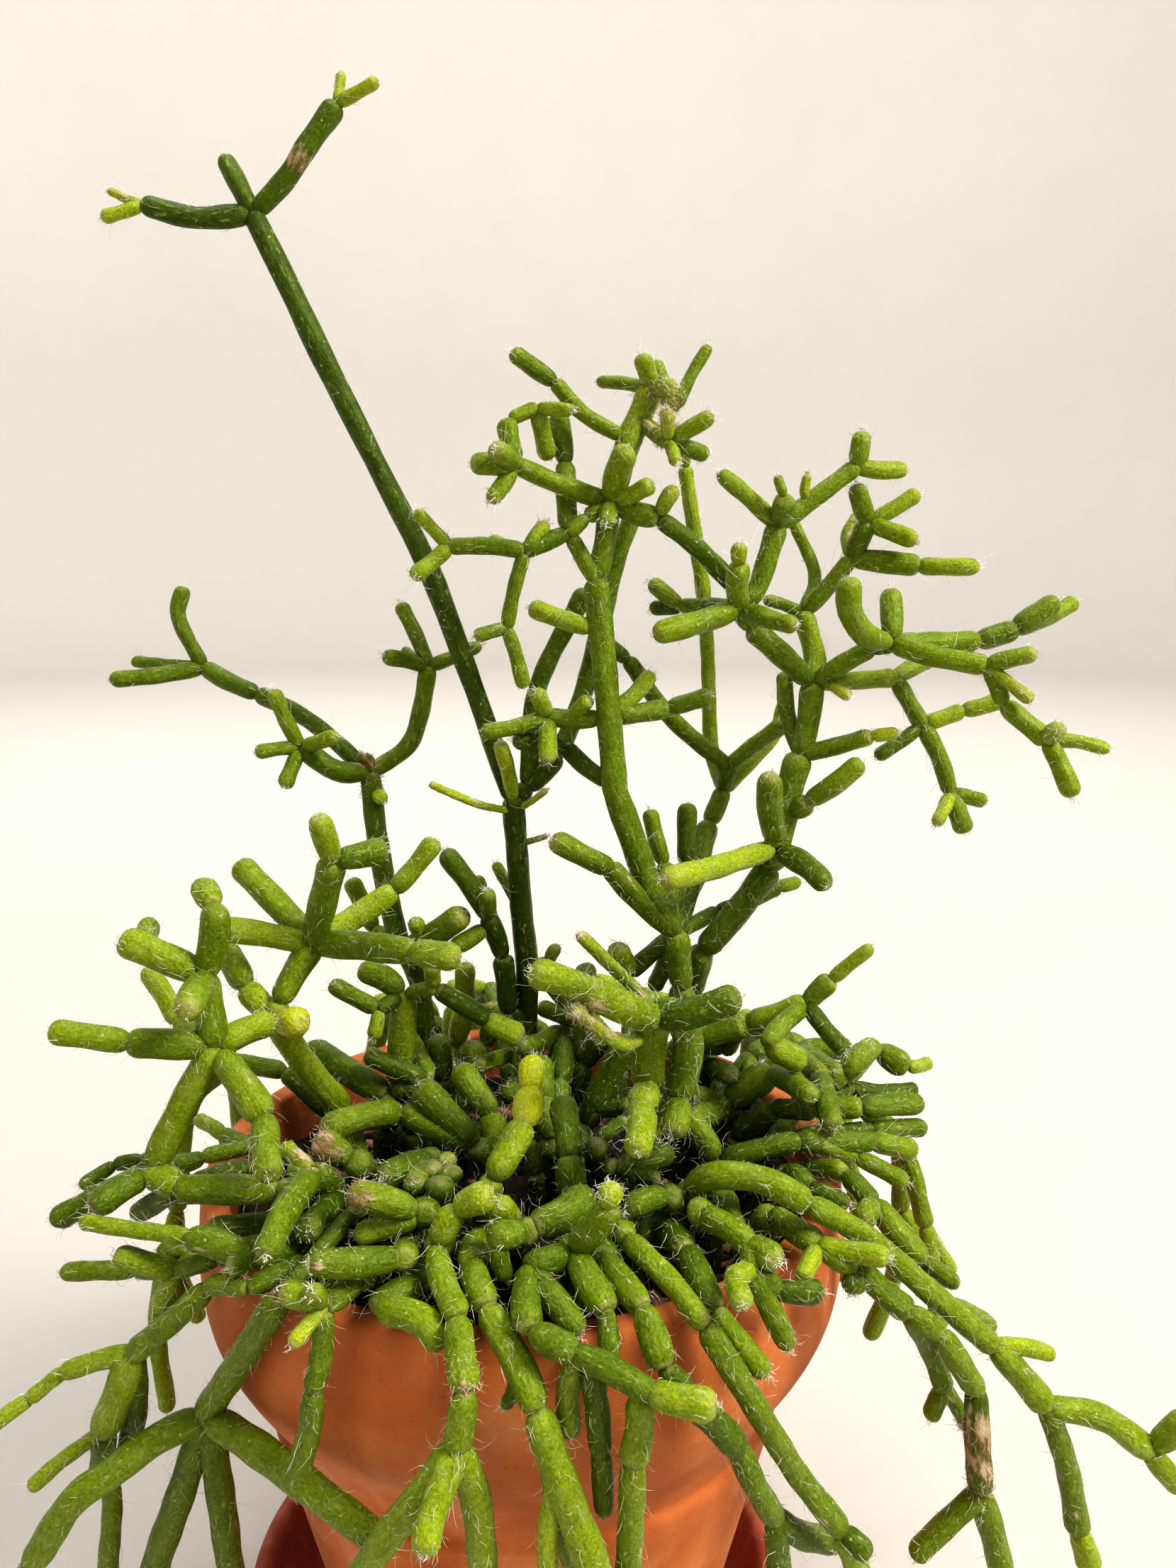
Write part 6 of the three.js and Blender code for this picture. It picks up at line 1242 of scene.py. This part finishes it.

# %% [markdown]
# ## Gathering the links
# Each link takes its straight parts in order, its mean thickness, and its age with a little luck of its own
# and a shift for its stem, which on the mound and the front hand is painted shade.
# At a graft, or where a side link leaves at a sharp angle, it starts near the skin of its parent and not in
# its middle. A tight cluster of round buds sits on the end of one link of the mound.

# %% Sort the parts into links
def ordered(own):
    """The joints of one link from its start to its end."""
    starts = {p[1]: p for p in own}
    first = (set(starts) - {p[2] for p in own}).pop()
    chain = [first]
    while chain[-1] in starts:
        chain.append(starts[chain[-1]][2])
    return chain


uses = np.bincount(np.concatenate([START, END]), minlength=len(spots))
rng = np.random.default_rng(7)
LINKS = {tree: [] for tree in STEMS}
by_link = {}
for part in parts:
    by_link.setdefault(part[5], []).append(part)
# painted shade on the mound and front hand stems: their age is raised, so their green is darker; on the other
# stems the shift only changes their green
AGE_AND_SHADE_BY_STEM = (("young_left", 0.11), ("old_left", 0.11), ("mound", 0.07), ("front_hand", 0.1), ("middle", -0.05),
         ("right_trailing", -0.05), ("left_trailing", -0.05))
ends_at = {}
for own in by_link.values():
    chain = ordered(own)
    ends_at.setdefault(chain[-1], (spots[chain[-1]] - spots[chain[-2]], own[0][3]))
for own in by_link.values():
    chain = ordered(own)
    points, radius = [spots[i] for i in chain], float(np.mean([p[3] for p in own]))
    first, is_tip = chain[0], uses[chain[-1]] == 1 and chain[-1] not in grafts
    way = points[1] - points[0]
    reach = np.linalg.norm(way)
    shift = 0.0
    if first in grafts:
        shift = min(grafts[first] * 0.85, 0.45 * reach)
    elif first in ends_at:
        back, thick = ends_at[first]
        cosine = way @ back / (reach * np.linalg.norm(back))
        shift = min(0.62 * thick * (1 - max(0.0, cosine)), 0.35 * reach)
    points[0] = points[0] + way / reach * shift
    if len(points) == 2:
        bow = rng.normal(0, 0.022, 3) * reach
        points.insert(1, (points[0] + points[1]) / 2 + bow)
    age_and_shade_shift = next((shift for start, shift in AGE_AND_SHADE_BY_STEM if own[0][0].startswith(start)), 0.0)
    age = float(np.clip(own[0][4] + (age_and_shade_shift + rng.normal(0, 0.07)) * min(1.0, own[0][4] * 4), 0, 1))
    link = {"points": points, "radius": radius, "age": age, "tip": is_tip, "root": rooted[first]}
    LINKS[own[0][0]].append(link)
BUDS = (  # x, z, height and radius
    (-22.2, 107, 130, 2.4), (-17.6, 106.3, 130.5, 2.6), (-19.6, 110.3, 131, 2.4), (-15.4, 109.6, 130, 2.2),
)
for x, z, height, radius in BUDS:
    foot, _ = real_place(high(x, z, height))
    points = [foot, foot + np.array([0, 0, 0.6 * radius])]
    # painted shade: the buds get an old, dark green age because they sit in a shaded hollow
    bud = {"points": points, "radius": radius, "age": 0.8, "tip": True, "root": True, "bald": True}
    LINKS["mound_stem_g"].append(bud)
every = [link for links in LINKS.values() for link in links]
print("links:", len(every), "free tips:", sum(link["tip"] for link in every))

# %% [markdown]
# ## Skin of the plant
# The skin is succulent and satin, never shiny. New growth is yellow-green and old growth deep green, with
# pale and dark patches a few millimetres wide, faint ribs along each link, tiny pale pores, and corky tan
# scabs where it was hurt. Each link carries its own coordinates around and along itself, so ribs follow every
# bend, and its age, the distance to its nearest pinch and the strength of its scab are kept on the points.
# The
# age also holds painted shade: it is raised where the mound shades itself, so the green is darker there.

# %% Skin material
GREEN_STOPS = (0.0, 0.12, 0.34, 0.62, 0.95)  # the ages that the five greens belong to


def skin(name, greens, yellow):
    made, tree, shader, place_of = material(name)
    local = add(tree, "Attribute", attribute_name="local").outputs["Vector"]
    # the age attribute also holds painted shade: it is raised low in the mound and on some whole stems,
    # darkening the green
    age = add(tree, "Attribute", attribute_name="age").outputs["Fac"]
    pinch = add(tree, "Attribute", attribute_name="pinch").outputs["Fac"]
    scab = add(tree, "Attribute", attribute_name="scab").outputs["Fac"]
    wide = use(tree, PATCHES, place_of, scale=110.0, contrast=1.4)
    fine = use(tree, PATCHES, place_of, scale=700.0, contrast=1.6)
    ribs = cloud(tree, stretch(tree, local, (1.0, 1.0, 0.12)), 1100.0, 2.0, 0.5)
    stipple = cloud(tree, stretch(tree, local, (1.0, 1.0, 0.8)), 2400.0, 3.0, 0.6)
    shade = maths(tree, "SUBTRACT", weighted(tree, (wide, 0.45), (fine, 0.42), (ribs, 0.13)), 0.5)
    age_with_shade = weighted(tree, (age, 1), (shade, -0.7))
    colour = ramp(tree, age_with_shade, *((stop, paint(*green)) for stop, green in zip(GREEN_STOPS, greens)))
    colour = mixed(tree, span(tree, age, 0.015, 0.07, 1.0, 0.0), colour, paint(*yellow))
    dim, plain, light = (0.6, 0.63, 0.5, 1), (1, 1, 1, 1), (1.55, 1.45, 1.5, 1)
    bright = ramp(tree, stipple, (0.3, dim), (0.5, plain), (0.72, light))
    colour = mixed(tree, 1.0, colour, bright, "MULTIPLY")
    frost = cloud(tree, stretch(tree, local, (1.0, 1.0, 0.75)), 420.0, 5.0, 0.75)
    fading = span(tree, age, 0.15, 0.65, 0.55, 0.1)
    frost = maths(tree, "MULTIPLY", span(tree, frost, 0.48, 0.7, 0.0, 1.0), fading)
    colour = mixed(tree, frost, colour, paint(150, 166, 84))
    pores = use(tree, SPECKS, place_of, scale=470.0, size=0.11, share=0.5)
    colour = mixed(tree, maths(tree, "MULTIPLY", pores, 0.5), colour, paint(192, 200, 124))
    dash = cloud(tree, stretch(tree, local, (1.0, 1.0, 0.35)), 1600.0, 2.0, 0.5)
    colour = mixed(tree, span(tree, dash, 0.62, 0.74, 0.0, 0.38), colour, paint(172, 186, 98))
    patchy = span(tree, wide, 0.45, 0.7, 0.1, 0.7)
    rim = maths(tree, "MULTIPLY", span(tree, pinch, 0.0, 0.45, 1.0, 0.0), patchy)
    colour = mixed(tree, rim, colour, paint(168, 156, 108))
    streaks = cloud(tree, stretch(tree, local, (1.0, 1.0, 0.3)), 620.0, 4.0, 0.65)
    crust = span(tree, weighted(tree, (scab, 1), (maths(tree, "SUBTRACT", streaks, 0.5), 2.8)), 0.4, 0.75)
    dark, tan, pale = paint(86, 62, 38), paint(142, 112, 78), paint(196, 176, 142)
    bark = ramp(tree, streaks, (0.36, dark), (0.5, tan), (0.66, pale))
    colour = mixed(tree, crust, colour, bark)
    tree.links.new(colour, shader.inputs["Base Color"])
    rough = weighted(tree, (span(tree, fine, 0.3, 0.7, 0.5, 0.36), 1), (crust, 0.35))
    tree.links.new(rough, shader.inputs["Roughness"])
    shader.inputs["Specular IOR Level"].default_value = 0.28
    shader.inputs["Specular Tint"].default_value = (0.9, 1.0, 0.35, 1)
    height = weighted(tree, (ribs, 0.9), (stipple, 0.7), (pores, 0.35), (crust, 0.8))
    bumped(tree, shader, height, 0.6, 0.0005)
    return made


YELLOW = (172, 178, 14)
GREENS = ((147, 160, 24), (131, 148, 16), (104, 123, 7), (71, 91, 4), (34, 53, 2))
SKIN = skin("cactus_skin", GREENS, YELLOW)
print("skin nodes:", len(SKIN.node_tree.nodes))

# %% [markdown]
# ## Hairs
# Fine white bristles grow from the pores. They lie along the skin or stand a little off it, thick on the
# mound and the low shoots and thin on the tall stems. One bristle is modelled as a three-sided needle with
# two bends in the middle, and each copy is curled over the surface by moving its bends and its tip.

# %% Hair material and template
def hair_material(name, dull, clean):
    made, tree, shader, place_of = material(name)
    tone = use(tree, PATCHES, place_of, scale=90.0, contrast=1.8)
    colour = ramp(tree, tone, (0.3, dull), (0.65, clean))
    tree.links.new(colour, shader.inputs["Base Color"])
    tree.links.new(span(tree, tone, 0.2, 0.8, 0.6, 0.45), shader.inputs["Roughness"])
    return made


def hair_template():
    deselect()
    bpy.ops.mesh.primitive_circle_add(vertices=3, radius=1, fill_type="NGON")
    piece = bpy.context.object
    bpy.ops.object.mode_set(mode="EDIT")
    bpy.ops.mesh.select_all(action="SELECT")
    for width in (0.95, 0.8):
        bpy.ops.mesh.extrude_region_move(TRANSFORM_OT_translate={"value": (0, 0, 1)})
        bpy.ops.transform.resize(value=(width, width, 1))
    bpy.ops.mesh.extrude_region_move(TRANSFORM_OT_translate={"value": (0, 0, 1)})
    bpy.ops.mesh.merge(type="CENTER")
    bpy.ops.mesh.select_all(action="SELECT")
    bpy.ops.mesh.normals_make_consistent(inside=False)
    bpy.ops.object.mode_set(mode="OBJECT")
    return arrays_of(piece)


HAIR = hair_material("white_bristles", paint(204, 202, 168), paint(250, 249, 238))
HAIR_POINTS = hair_template()
WOOL = hair_material("tan_wool", paint(140, 106, 68), paint(222, 202, 164))
print("hair faces:", len(HAIR_POINTS[1]), "points:", len(HAIR_POINTS[0]))

# %% Grow hairs from roots on the skin
BRISTLE_SLOT, WOOL_SLOT = 1, 2  # a stem's material slots: 0 is its skin
HAIR_PARTS = (0.38, 0.34, 0.28)  # shares of the length between a bristle's bends
HAIR_SUNK = 0.1  # a root starts this far under the skin
HAIR_CURL = 0.65


def unit(v):
    return v / np.maximum(np.linalg.norm(v, axis=1), 1e-9)[:, None]


def add_hairs(batch, roots, normals, ways, lengths, lift, thick, rng, slot=BRISTLE_SLOT):
    """ways are directions along the skin; lift is how far a hair stands off it."""
    points, faces = HAIR_POINTS
    count = len(roots)
    if not count:
        return
    curl = rng.normal(0, HAIR_CURL, (count, 3))
    bend = unit(ways + normals * lift[:, None] + rng.normal(0, 0.15, (count, 3)))
    line, way = [roots - normals * HAIR_SUNK], bend
    for part in HAIR_PARTS:
        line.append(line[-1] + way * (lengths * part)[:, None])
        way = unit(way + curl - normals * (lift * 0.35)[:, None])
    line = np.stack(line, 1)
    side = unit(np.cross(bend, normals + 0.01))
    over = np.cross(side, bend)
    level = np.rint(points[:, 2]).astype(int)
    width = thick[:, None, None]
    ring = side[:, None] * points[None, :, :1] + over[:, None] * points[None, :, 1:2]
    whole = line[:, level] + width * ring
    size = len(points)
    all_faces = [[i + size * n for i in face] for n in range(count) for face in faces]
    batch.add(whole.reshape(-1, 3), all_faces, slot)


print("a hair bends after these shares of its length:", HAIR_PARTS[:-1])

# %% [markdown]
# ## Building each stem
# Now every link is copied into its stem's mesh, hairs are set on it, and each free tip gets a small tuft,
# which is where the next link would start. How hairy a stem is depends on where it grows.

# %% Hair by stem, and scabs
HAIRY = (
    ("front_hand", 5.4), ("mound", 3.4), ("left_hanging", 3.2), ("front_stem", 3.0), ("ball", 3.6),
    ("young", 3.6), ("old_left", 3.4), ("left_", 3.2), ("right_bundle", 3.6), ("right_trailing", 3.0),
    ("back", 1.2),
)  # the start of a stem's name, and hairs per millimetre of a link
OTHER_HAIRY = 1.6
TALL = {"tall_stem": 0.9, "left_stem": 1.3, "middle_stem": 3.0, "right_stem": 3.2}
SCABS = (  # stem, x and z as seen from the eye, reach in millimetres, strength
    ("left_corky_stem", -41.8, 117.2, 5.5, 0.8), ("mound_stem_f", -34.6, 106.5, 5.0, 0.8),
    ("right_trailing_stem_b", 95.8, 48, 11.0, 0.75), ("left_trailing_stem", -50.6, 84, 3.6, 0.8),
    ("tall_stem", -38, 302, 2.6, 0.8), ("left_stem", -29.6, 196.4, 3.2, 0.8),
    ("front_stem_b", -43.4, 90.2, 2.0, 0.8), ("front_stem_a", -13.5, 62, 2.0, 0.8),
    ("middle_stem", 26.8, 260, 6.0, 0.4), ("front_hand_stem", 14, 143, 8.0, 0.42),
)


def hairiness(tree):
    return TALL.get(tree) or next((value for start, value in HAIRY if tree.startswith(start)), OTHER_HAIRY)


def scab_strength(tree, points):
    """How corky each point is: scabs are placed by how they look from the eye."""
    strength = np.zeros(len(points))
    depth = (points[:, 1] - EYE[1]) / -EYE[1]
    seen_x, seen_z = EYE[0] + (points[:, 0] - EYE[0]) / depth, EYE[2] + (points[:, 2] - EYE[2]) / depth
    seen = np.column_stack([seen_x, seen_z])
    for name, x, z, reach, most in SCABS:
        if name == tree:
            away = np.linalg.norm(seen - (x, z), axis=1) / reach
            strength = np.maximum(strength, np.clip(1.3 - away, 0, 1) * most)
    return strength


print("hairiest stem:", max(STEMS, key=hairiness), "- scabs:", len(SCABS))

# %% Copy one link along its line
TIP_OVERLAP = 0.55  # a free tip runs this share of its radius past its joint
LONG_FROM = 9  # links longer than this many radii take the long template
FULL_AFTER = 2.2  # a link has its full width this many radii from its start
THIN_TWIG, YOUNG_AGE = 1.1, 0.4  # young twigs thinner than this are a little corky
# painted shade: the skin is darker green low down in the middle of the mound, where the stems shade each
# other
PAINTED_SHADE_UNDER, PAINTED_SHADE_WITHIN = (134, 24), (62, 20)  # (start, fade) of height and radius where the skin darkens


def below(value, start, fade):
    """0 above start, and 1 from fade under it."""
    return np.clip((start - value) / fade, 0, 1)


def add_link(batch, tree, link, rng):
    line = smooth_line(link["points"])
    lengths = lengths_of(line)
    radius = link["radius"]
    before = OVERLAP * radius
    after = (TIP_OVERLAP if link["tip"] else OVERLAP) * radius
    whole = lengths[-1] + before + after
    cap = min(CAP_REACH * radius, 0.46 * whole)
    points, faces = LONG_LINK if whole > LONG_FROM * radius else SHORT_LINK
    z = points[:, 2]
    beyond = np.abs(z) - 1
    middle = cap + (np.clip(z, -1, 1) + 1) / 2 * (whole - 2 * cap)
    at = middle + np.sign(z) * np.maximum(beyond, 0) / CAP_REACH * cap - before
    share = np.clip((at + before) / whole, 0, 1)
    angle = np.arctan2(points[:, 1], points[:, 0])
    phase = rng.uniform(0, math.tau, 4)
    lumps = 1 + 0.036 * np.sin(3 * angle + phase[0] + 0.4 * at / radius)
    lumps += 0.034 * np.sin(at / radius * 1.5 + phase[1])
    lumps += 0.042 * np.sin(2 * angle + phase[2] - 0.25 * at / radius) + 0.02 * np.sin(4 * angle + phase[3])
    from_start = np.clip((at + before) / (FULL_AFTER * radius), 0, 1)
    swell = PLUMP * (0.84 + 0.16 * np.sin(from_start * math.pi / 2)) * (1 + rng.uniform(-0.05, 0.1) * share)
    swell *= 1 + rng.uniform(-0.04, 0.03) * np.sin(math.pi * share)
    places, way, side, over = along_line(line, lengths, at)
    width = radius * (lumps * swell)
    made = places + side * (points[:, 0] * width)[:, None] + over * (points[:, 1] * width)[:, None]
    offset = rng.uniform(-5, 5, 3)
    local = (np.column_stack([points[:, 0] * radius, points[:, 1] * radius, at]) + offset * 10) * MM
    to_end = (lengths[-1] + after - at) * 0.4 if link["tip"] else lengths[-1] - at
    ends = np.minimum(np.where(link["root"], 9, at), to_end)
    younger = (0.1 if link["tip"] else 0.05) * share * min(1, link["age"] * 3)
    # painted shade: the age is raised low in the mound's middle, so the skin turns darker green there
    painted_shade = 0.78 * below(made[:, 2], *PAINTED_SHADE_UNDER) * below(np.hypot(made[:, 0], made[:, 1]), *PAINTED_SHADE_WITHIN)
    corky = 0.3 if radius < THIN_TWIG and link["age"] < YOUNG_AGE else 0
    batch.add(
        made, faces, 0, local=local, age=np.clip(link["age"] - younger + painted_shade, 0, 1), pinch=np.abs(ends),
        scab=np.maximum(scab_strength(tree, made), corky),
    )
    return line, lengths, radius, whole


print("overlap at a joint:", OVERLAP, "radii, at a free tip:", TIP_OVERLAP)

# %% Dress one link with bristles and wool
THIN, THIN_HAIRY = 1.4, 2.6  # even on bare stems, twigs thinner than this have so many hairs per millimetre
STANDING = 0.14  # the share of the bristles that stand off the skin
BARE_UNDER, BARE_WITHIN = (118, 12), (56, 10)  # (start, fade) of height and radius where few hairs grow


def dress_link(batch, tree, link, grown, rng):
    """Bristles along the link and a tuft on its free tip."""
    line, lengths, radius, whole = grown
    deep = float(below(line[:, 2].mean(), *BARE_UNDER) * below(np.hypot(*line.mean(0)[:2]), *BARE_WITHIN))
    hairy = max(hairiness(tree), THIN_HAIRY if radius < THIN else 0)
    count = rng.poisson(hairy * whole * min(1.3, 0.4 + 0.25 * radius) * (1 - 0.75 * deep))
    at = rng.uniform(0, lengths[-1] + 0.3 * radius * link["tip"], count)
    places, way, side, over = along_line(line, lengths, at)
    angle = rng.uniform(0, math.tau, count)[:, None]
    normals = side * np.cos(angle) + over * np.sin(angle)
    across = np.cross(way, normals)
    turn = rng.normal(0, 0.75, count)[:, None]
    ways = way * np.cos(turn) + across * np.sin(turn)
    sizes = rng.gamma(4.0, 0.68, count).clip(0.8, 5.4)
    stands = rng.random(count) < STANDING
    lift = np.where(stands, rng.uniform(0.5, 1.6, count), rng.uniform(0.08, 0.4, count))
    thick = rng.uniform(0.02, 0.04, count)
    sizes = np.where(stands, sizes * 0.7, sizes)
    add_hairs(batch, places + normals * radius, normals, ways, sizes, lift, thick, rng)
    if link["tip"]:
        count = int(rng.integers(12, 30))
        end, way = line[-1], unit((line[-1] - line[-2])[None])[0]
        spread = unit(way + rng.normal(0, 0.75, (count, 3)))
        roots = end + way * 0.45 * radius + rng.normal(0, 0.24 * radius, (count, 3))
        sizes = rng.uniform(0.5, 2.0, count)
        lift, thick = np.full(count, 0.2), rng.uniform(0.03, 0.065, count)
        add_hairs(batch, roots, spread, spread, sizes, lift, thick, rng)
    wool_on(batch, tree, link, line, radius, rng)


def wool_on(batch, tree, link, line, radius, rng):
    """Matted wool at the end of a link: always inside a scab, and on some other links."""
    end, way = line[-1], unit((line[-1] - line[-2])[None])[0]
    scabby = scab_strength(tree, end[None])[0] > 0.1
    woolly = rng.random() < (0.2 if hairiness(tree) >= 2 else 0.07)
    if not (scabby or woolly) or (not link["tip"] and not scabby and rng.random() < 0.5):
        return
    count = int(210 if scabby else rng.integers(16, 40))
    normals = unit(rng.normal(0, 1, (count, 3)) + way * (0.9 if link["tip"] else 0.0))
    across = unit(np.cross(normals, rng.normal(0, 1, (count, 3))))
    wide = np.where(normals @ way > 0.5, 0.62, 1.0)[:, None]
    back = rng.uniform(0, 1.1, (count, 1)) * radius * (2 if scabby else 0.6)
    roots = end + normals * radius * wide * PLUMP - way * back
    roots = end + (roots - end) * rng.uniform(0.92, 1.02, (count, 1))
    sizes = rng.uniform(0.7, 2.2, count)
    lift = rng.uniform(0.1, 0.8, count)
    thick = rng.uniform(0.035, 0.075, count)
    slot = WOOL_SLOT if scabby or rng.random() < 0.5 else BRISTLE_SLOT
    add_hairs(batch, roots, normals, across, sizes, lift, thick, rng, slot)


print("share of bristles that stand off the skin:", STANDING)

# %% Build all stems
SLOTS = {
    "stem_old": ("tall_stem", "left_stem", "middle_stem", "right_stem"),
    "stem_fresh": ("young_left_stem", "ball_tipped_stem", "front_hand_stem", "mound_stem_i", "mound_stem_f"),
}
total = 0
for number, (tree, links) in enumerate(LINKS.items()):
    rng = np.random.default_rng(100 + number)
    batch = Batch()
    for link in links:
        grown = add_link(batch, tree, link, rng)
        if not link.get("bald"):
            dress_link(batch, tree, link, grown, rng)
    stem = batch.mesh("cactus_" + tree, [SKIN, HAIR, WOOL])
    finish = next((name for name, trees in SLOTS.items() if tree in trees), "stem_grown")
    place(stem, tree, slot=finish)
    total += triangles(stem)
print("stems:", len(LINKS), "triangles:", total)

# %% [markdown]
# ## Floor, light and camera
# The studio is a pale sweep: a round floor that curves up into a wall far away, so that no line crosses the
# view. A large soft lamp stands to the right and above, weaker ones fill from the left and the rear, and four
# more wash the wall. The camera stands at three quarters of the plant's height and looks a little down.

# %% Studio sweep
FLOOR_RADIUS, WALL_HEIGHT = 2.6, 2.4  # metres
CURVE_STEPS, CURVE_STEP = 10, 0.12  # the curve between floor and wall


def sweep():
    """A round floor whose edge curves up into a wall, so that it looks the same from every side."""
    deselect()
    bpy.ops.mesh.primitive_circle_add(vertices=96, radius=FLOOR_RADIUS, fill_type="NGON")
    piece = bpy.context.object
    piece.name = "studio_sweep"
    bpy.ops.object.mode_set(mode="EDIT")
    bpy.ops.mesh.select_all(action="SELECT")
    bpy.ops.mesh.select_mode(type="EDGE")
    bpy.ops.mesh.select_all(action="SELECT")
    radius = FLOOR_RADIUS
    for number in range(CURVE_STEPS):
        tilt = math.radians(90 * (number + 0.5) / CURVE_STEPS)
        wider = radius + CURVE_STEP * math.cos(tilt)
        bpy.ops.mesh.extrude_edges_move(TRANSFORM_OT_translate={"value": (0, 0, CURVE_STEP * math.sin(tilt))})
        bpy.ops.transform.resize(value=(wider / radius, wider / radius, 1))
        radius = wider
    bpy.ops.mesh.extrude_edges_move(TRANSFORM_OT_translate={"value": (0, 0, WALL_HEIGHT)})
    bpy.ops.object.mode_set(mode="OBJECT")
    bpy.ops.object.shade_smooth()
    return piece


def pale(name):
    made, tree, shader, place_of = material(name)
    tone = use(tree, PATCHES, place_of, scale=3.0, contrast=0.6)
    colour = ramp(tree, tone, (0.3, paint(184, 179, 171)), (0.7, paint(189, 184, 177)))
    tree.links.new(colour, shader.inputs["Base Color"])
    shader.inputs["Roughness"].default_value = 0.9
    return made


floor = sweep()
floor.data.materials.append(pale("studio_paper"))
floor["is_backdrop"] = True
print("the sweep is", round(floor.dimensions.x, 2), "m wide")

# %% Lamps
WASHES = {  # where on the wall each one aims, in metres, and its power
    "rear": (-0.9, 2.9, 95.0), "right": (2.9, 0.9, 45.0),
    "front": (0.9, -2.9, 45.0), "left": (-2.9, -0.9, 45.0),
}
WASH_OUT = 0.55 / 2.9  # a wash hangs this share of the way out to the wall


def lamp(name, place_at, aim, size, power, colour):
    data = bpy.data.lights.new(name, "AREA")
    data.shape, data.size, data.energy, data.color = "DISK", size, power, colour
    made = bpy.data.objects.new(name, data)
    bpy.context.scene.collection.objects.link(made)
    made.location = place_at
    made.rotation_euler = (Vector(aim) - Vector(place_at)).to_track_quat("-Z", "Y").to_euler()
    return made


lamp("key", (0.9, -0.45, 1.1), (0, 0, 0.12), 0.45, 23.0, (1.0, 0.98, 0.93))
lamp("fill", (-0.8, -0.8, 0.9), (0, 0, 0.15), 0.7, 1.5, (1.0, 1.0, 0.98))
lamp("back", (-0.3, 1.3, 1.2), (0, 0, 0.15), 0.6, 2.5, (1.0, 1.0, 0.98))
for side, (x, y, power) in WASHES.items():
    above = (WASH_OUT * x, WASH_OUT * y, 2.3)
    lamp("wall_wash_" + side, above, (x, y, 1.3), 1.2, power, (1.0, 1.0, 1.0))
world = bpy.data.worlds.new("studio")
world.use_nodes = True
sky = world.node_tree.nodes["Background"].inputs
sky["Color"].default_value, sky["Strength"].default_value = (1.0, 1.0, 1.0, 1), 0.22
bpy.context.scene.world = world
bpy.context.scene.view_settings.view_transform = "Standard"
bpy.context.scene.view_settings.look = "Medium High Contrast"

# %% Camera
LOOK_DOWN = 10.43  # degrees
camera_data = bpy.data.cameras.new("camera")
camera_data.sensor_fit, camera_data.sensor_width = "HORIZONTAL", 36
camera_data.lens = 36 * 1661 / 1659
camera_data.clip_start = 0.01
camera = bpy.data.objects.new("camera", camera_data)
bpy.context.scene.collection.objects.link(camera)
camera.location = (EYE * MM).tolist()
camera.rotation_euler = (math.radians(90 - LOOK_DOWN), 0, 0)
bpy.context.scene.camera = camera
print("camera at", [round(v, 4) for v in camera.location], "lens", round(camera_data.lens, 2), "mm")

# %% [markdown]
# ## The size before and after
# The looks must not change the size of the object, so we print its box before and after.

# %% Sizes
new_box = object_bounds()
for label, box in (("CAD box", CAD_BOX), ("visual box", new_box)):
    print(label, [[round(v, 4) for v in corner] for corner in box])
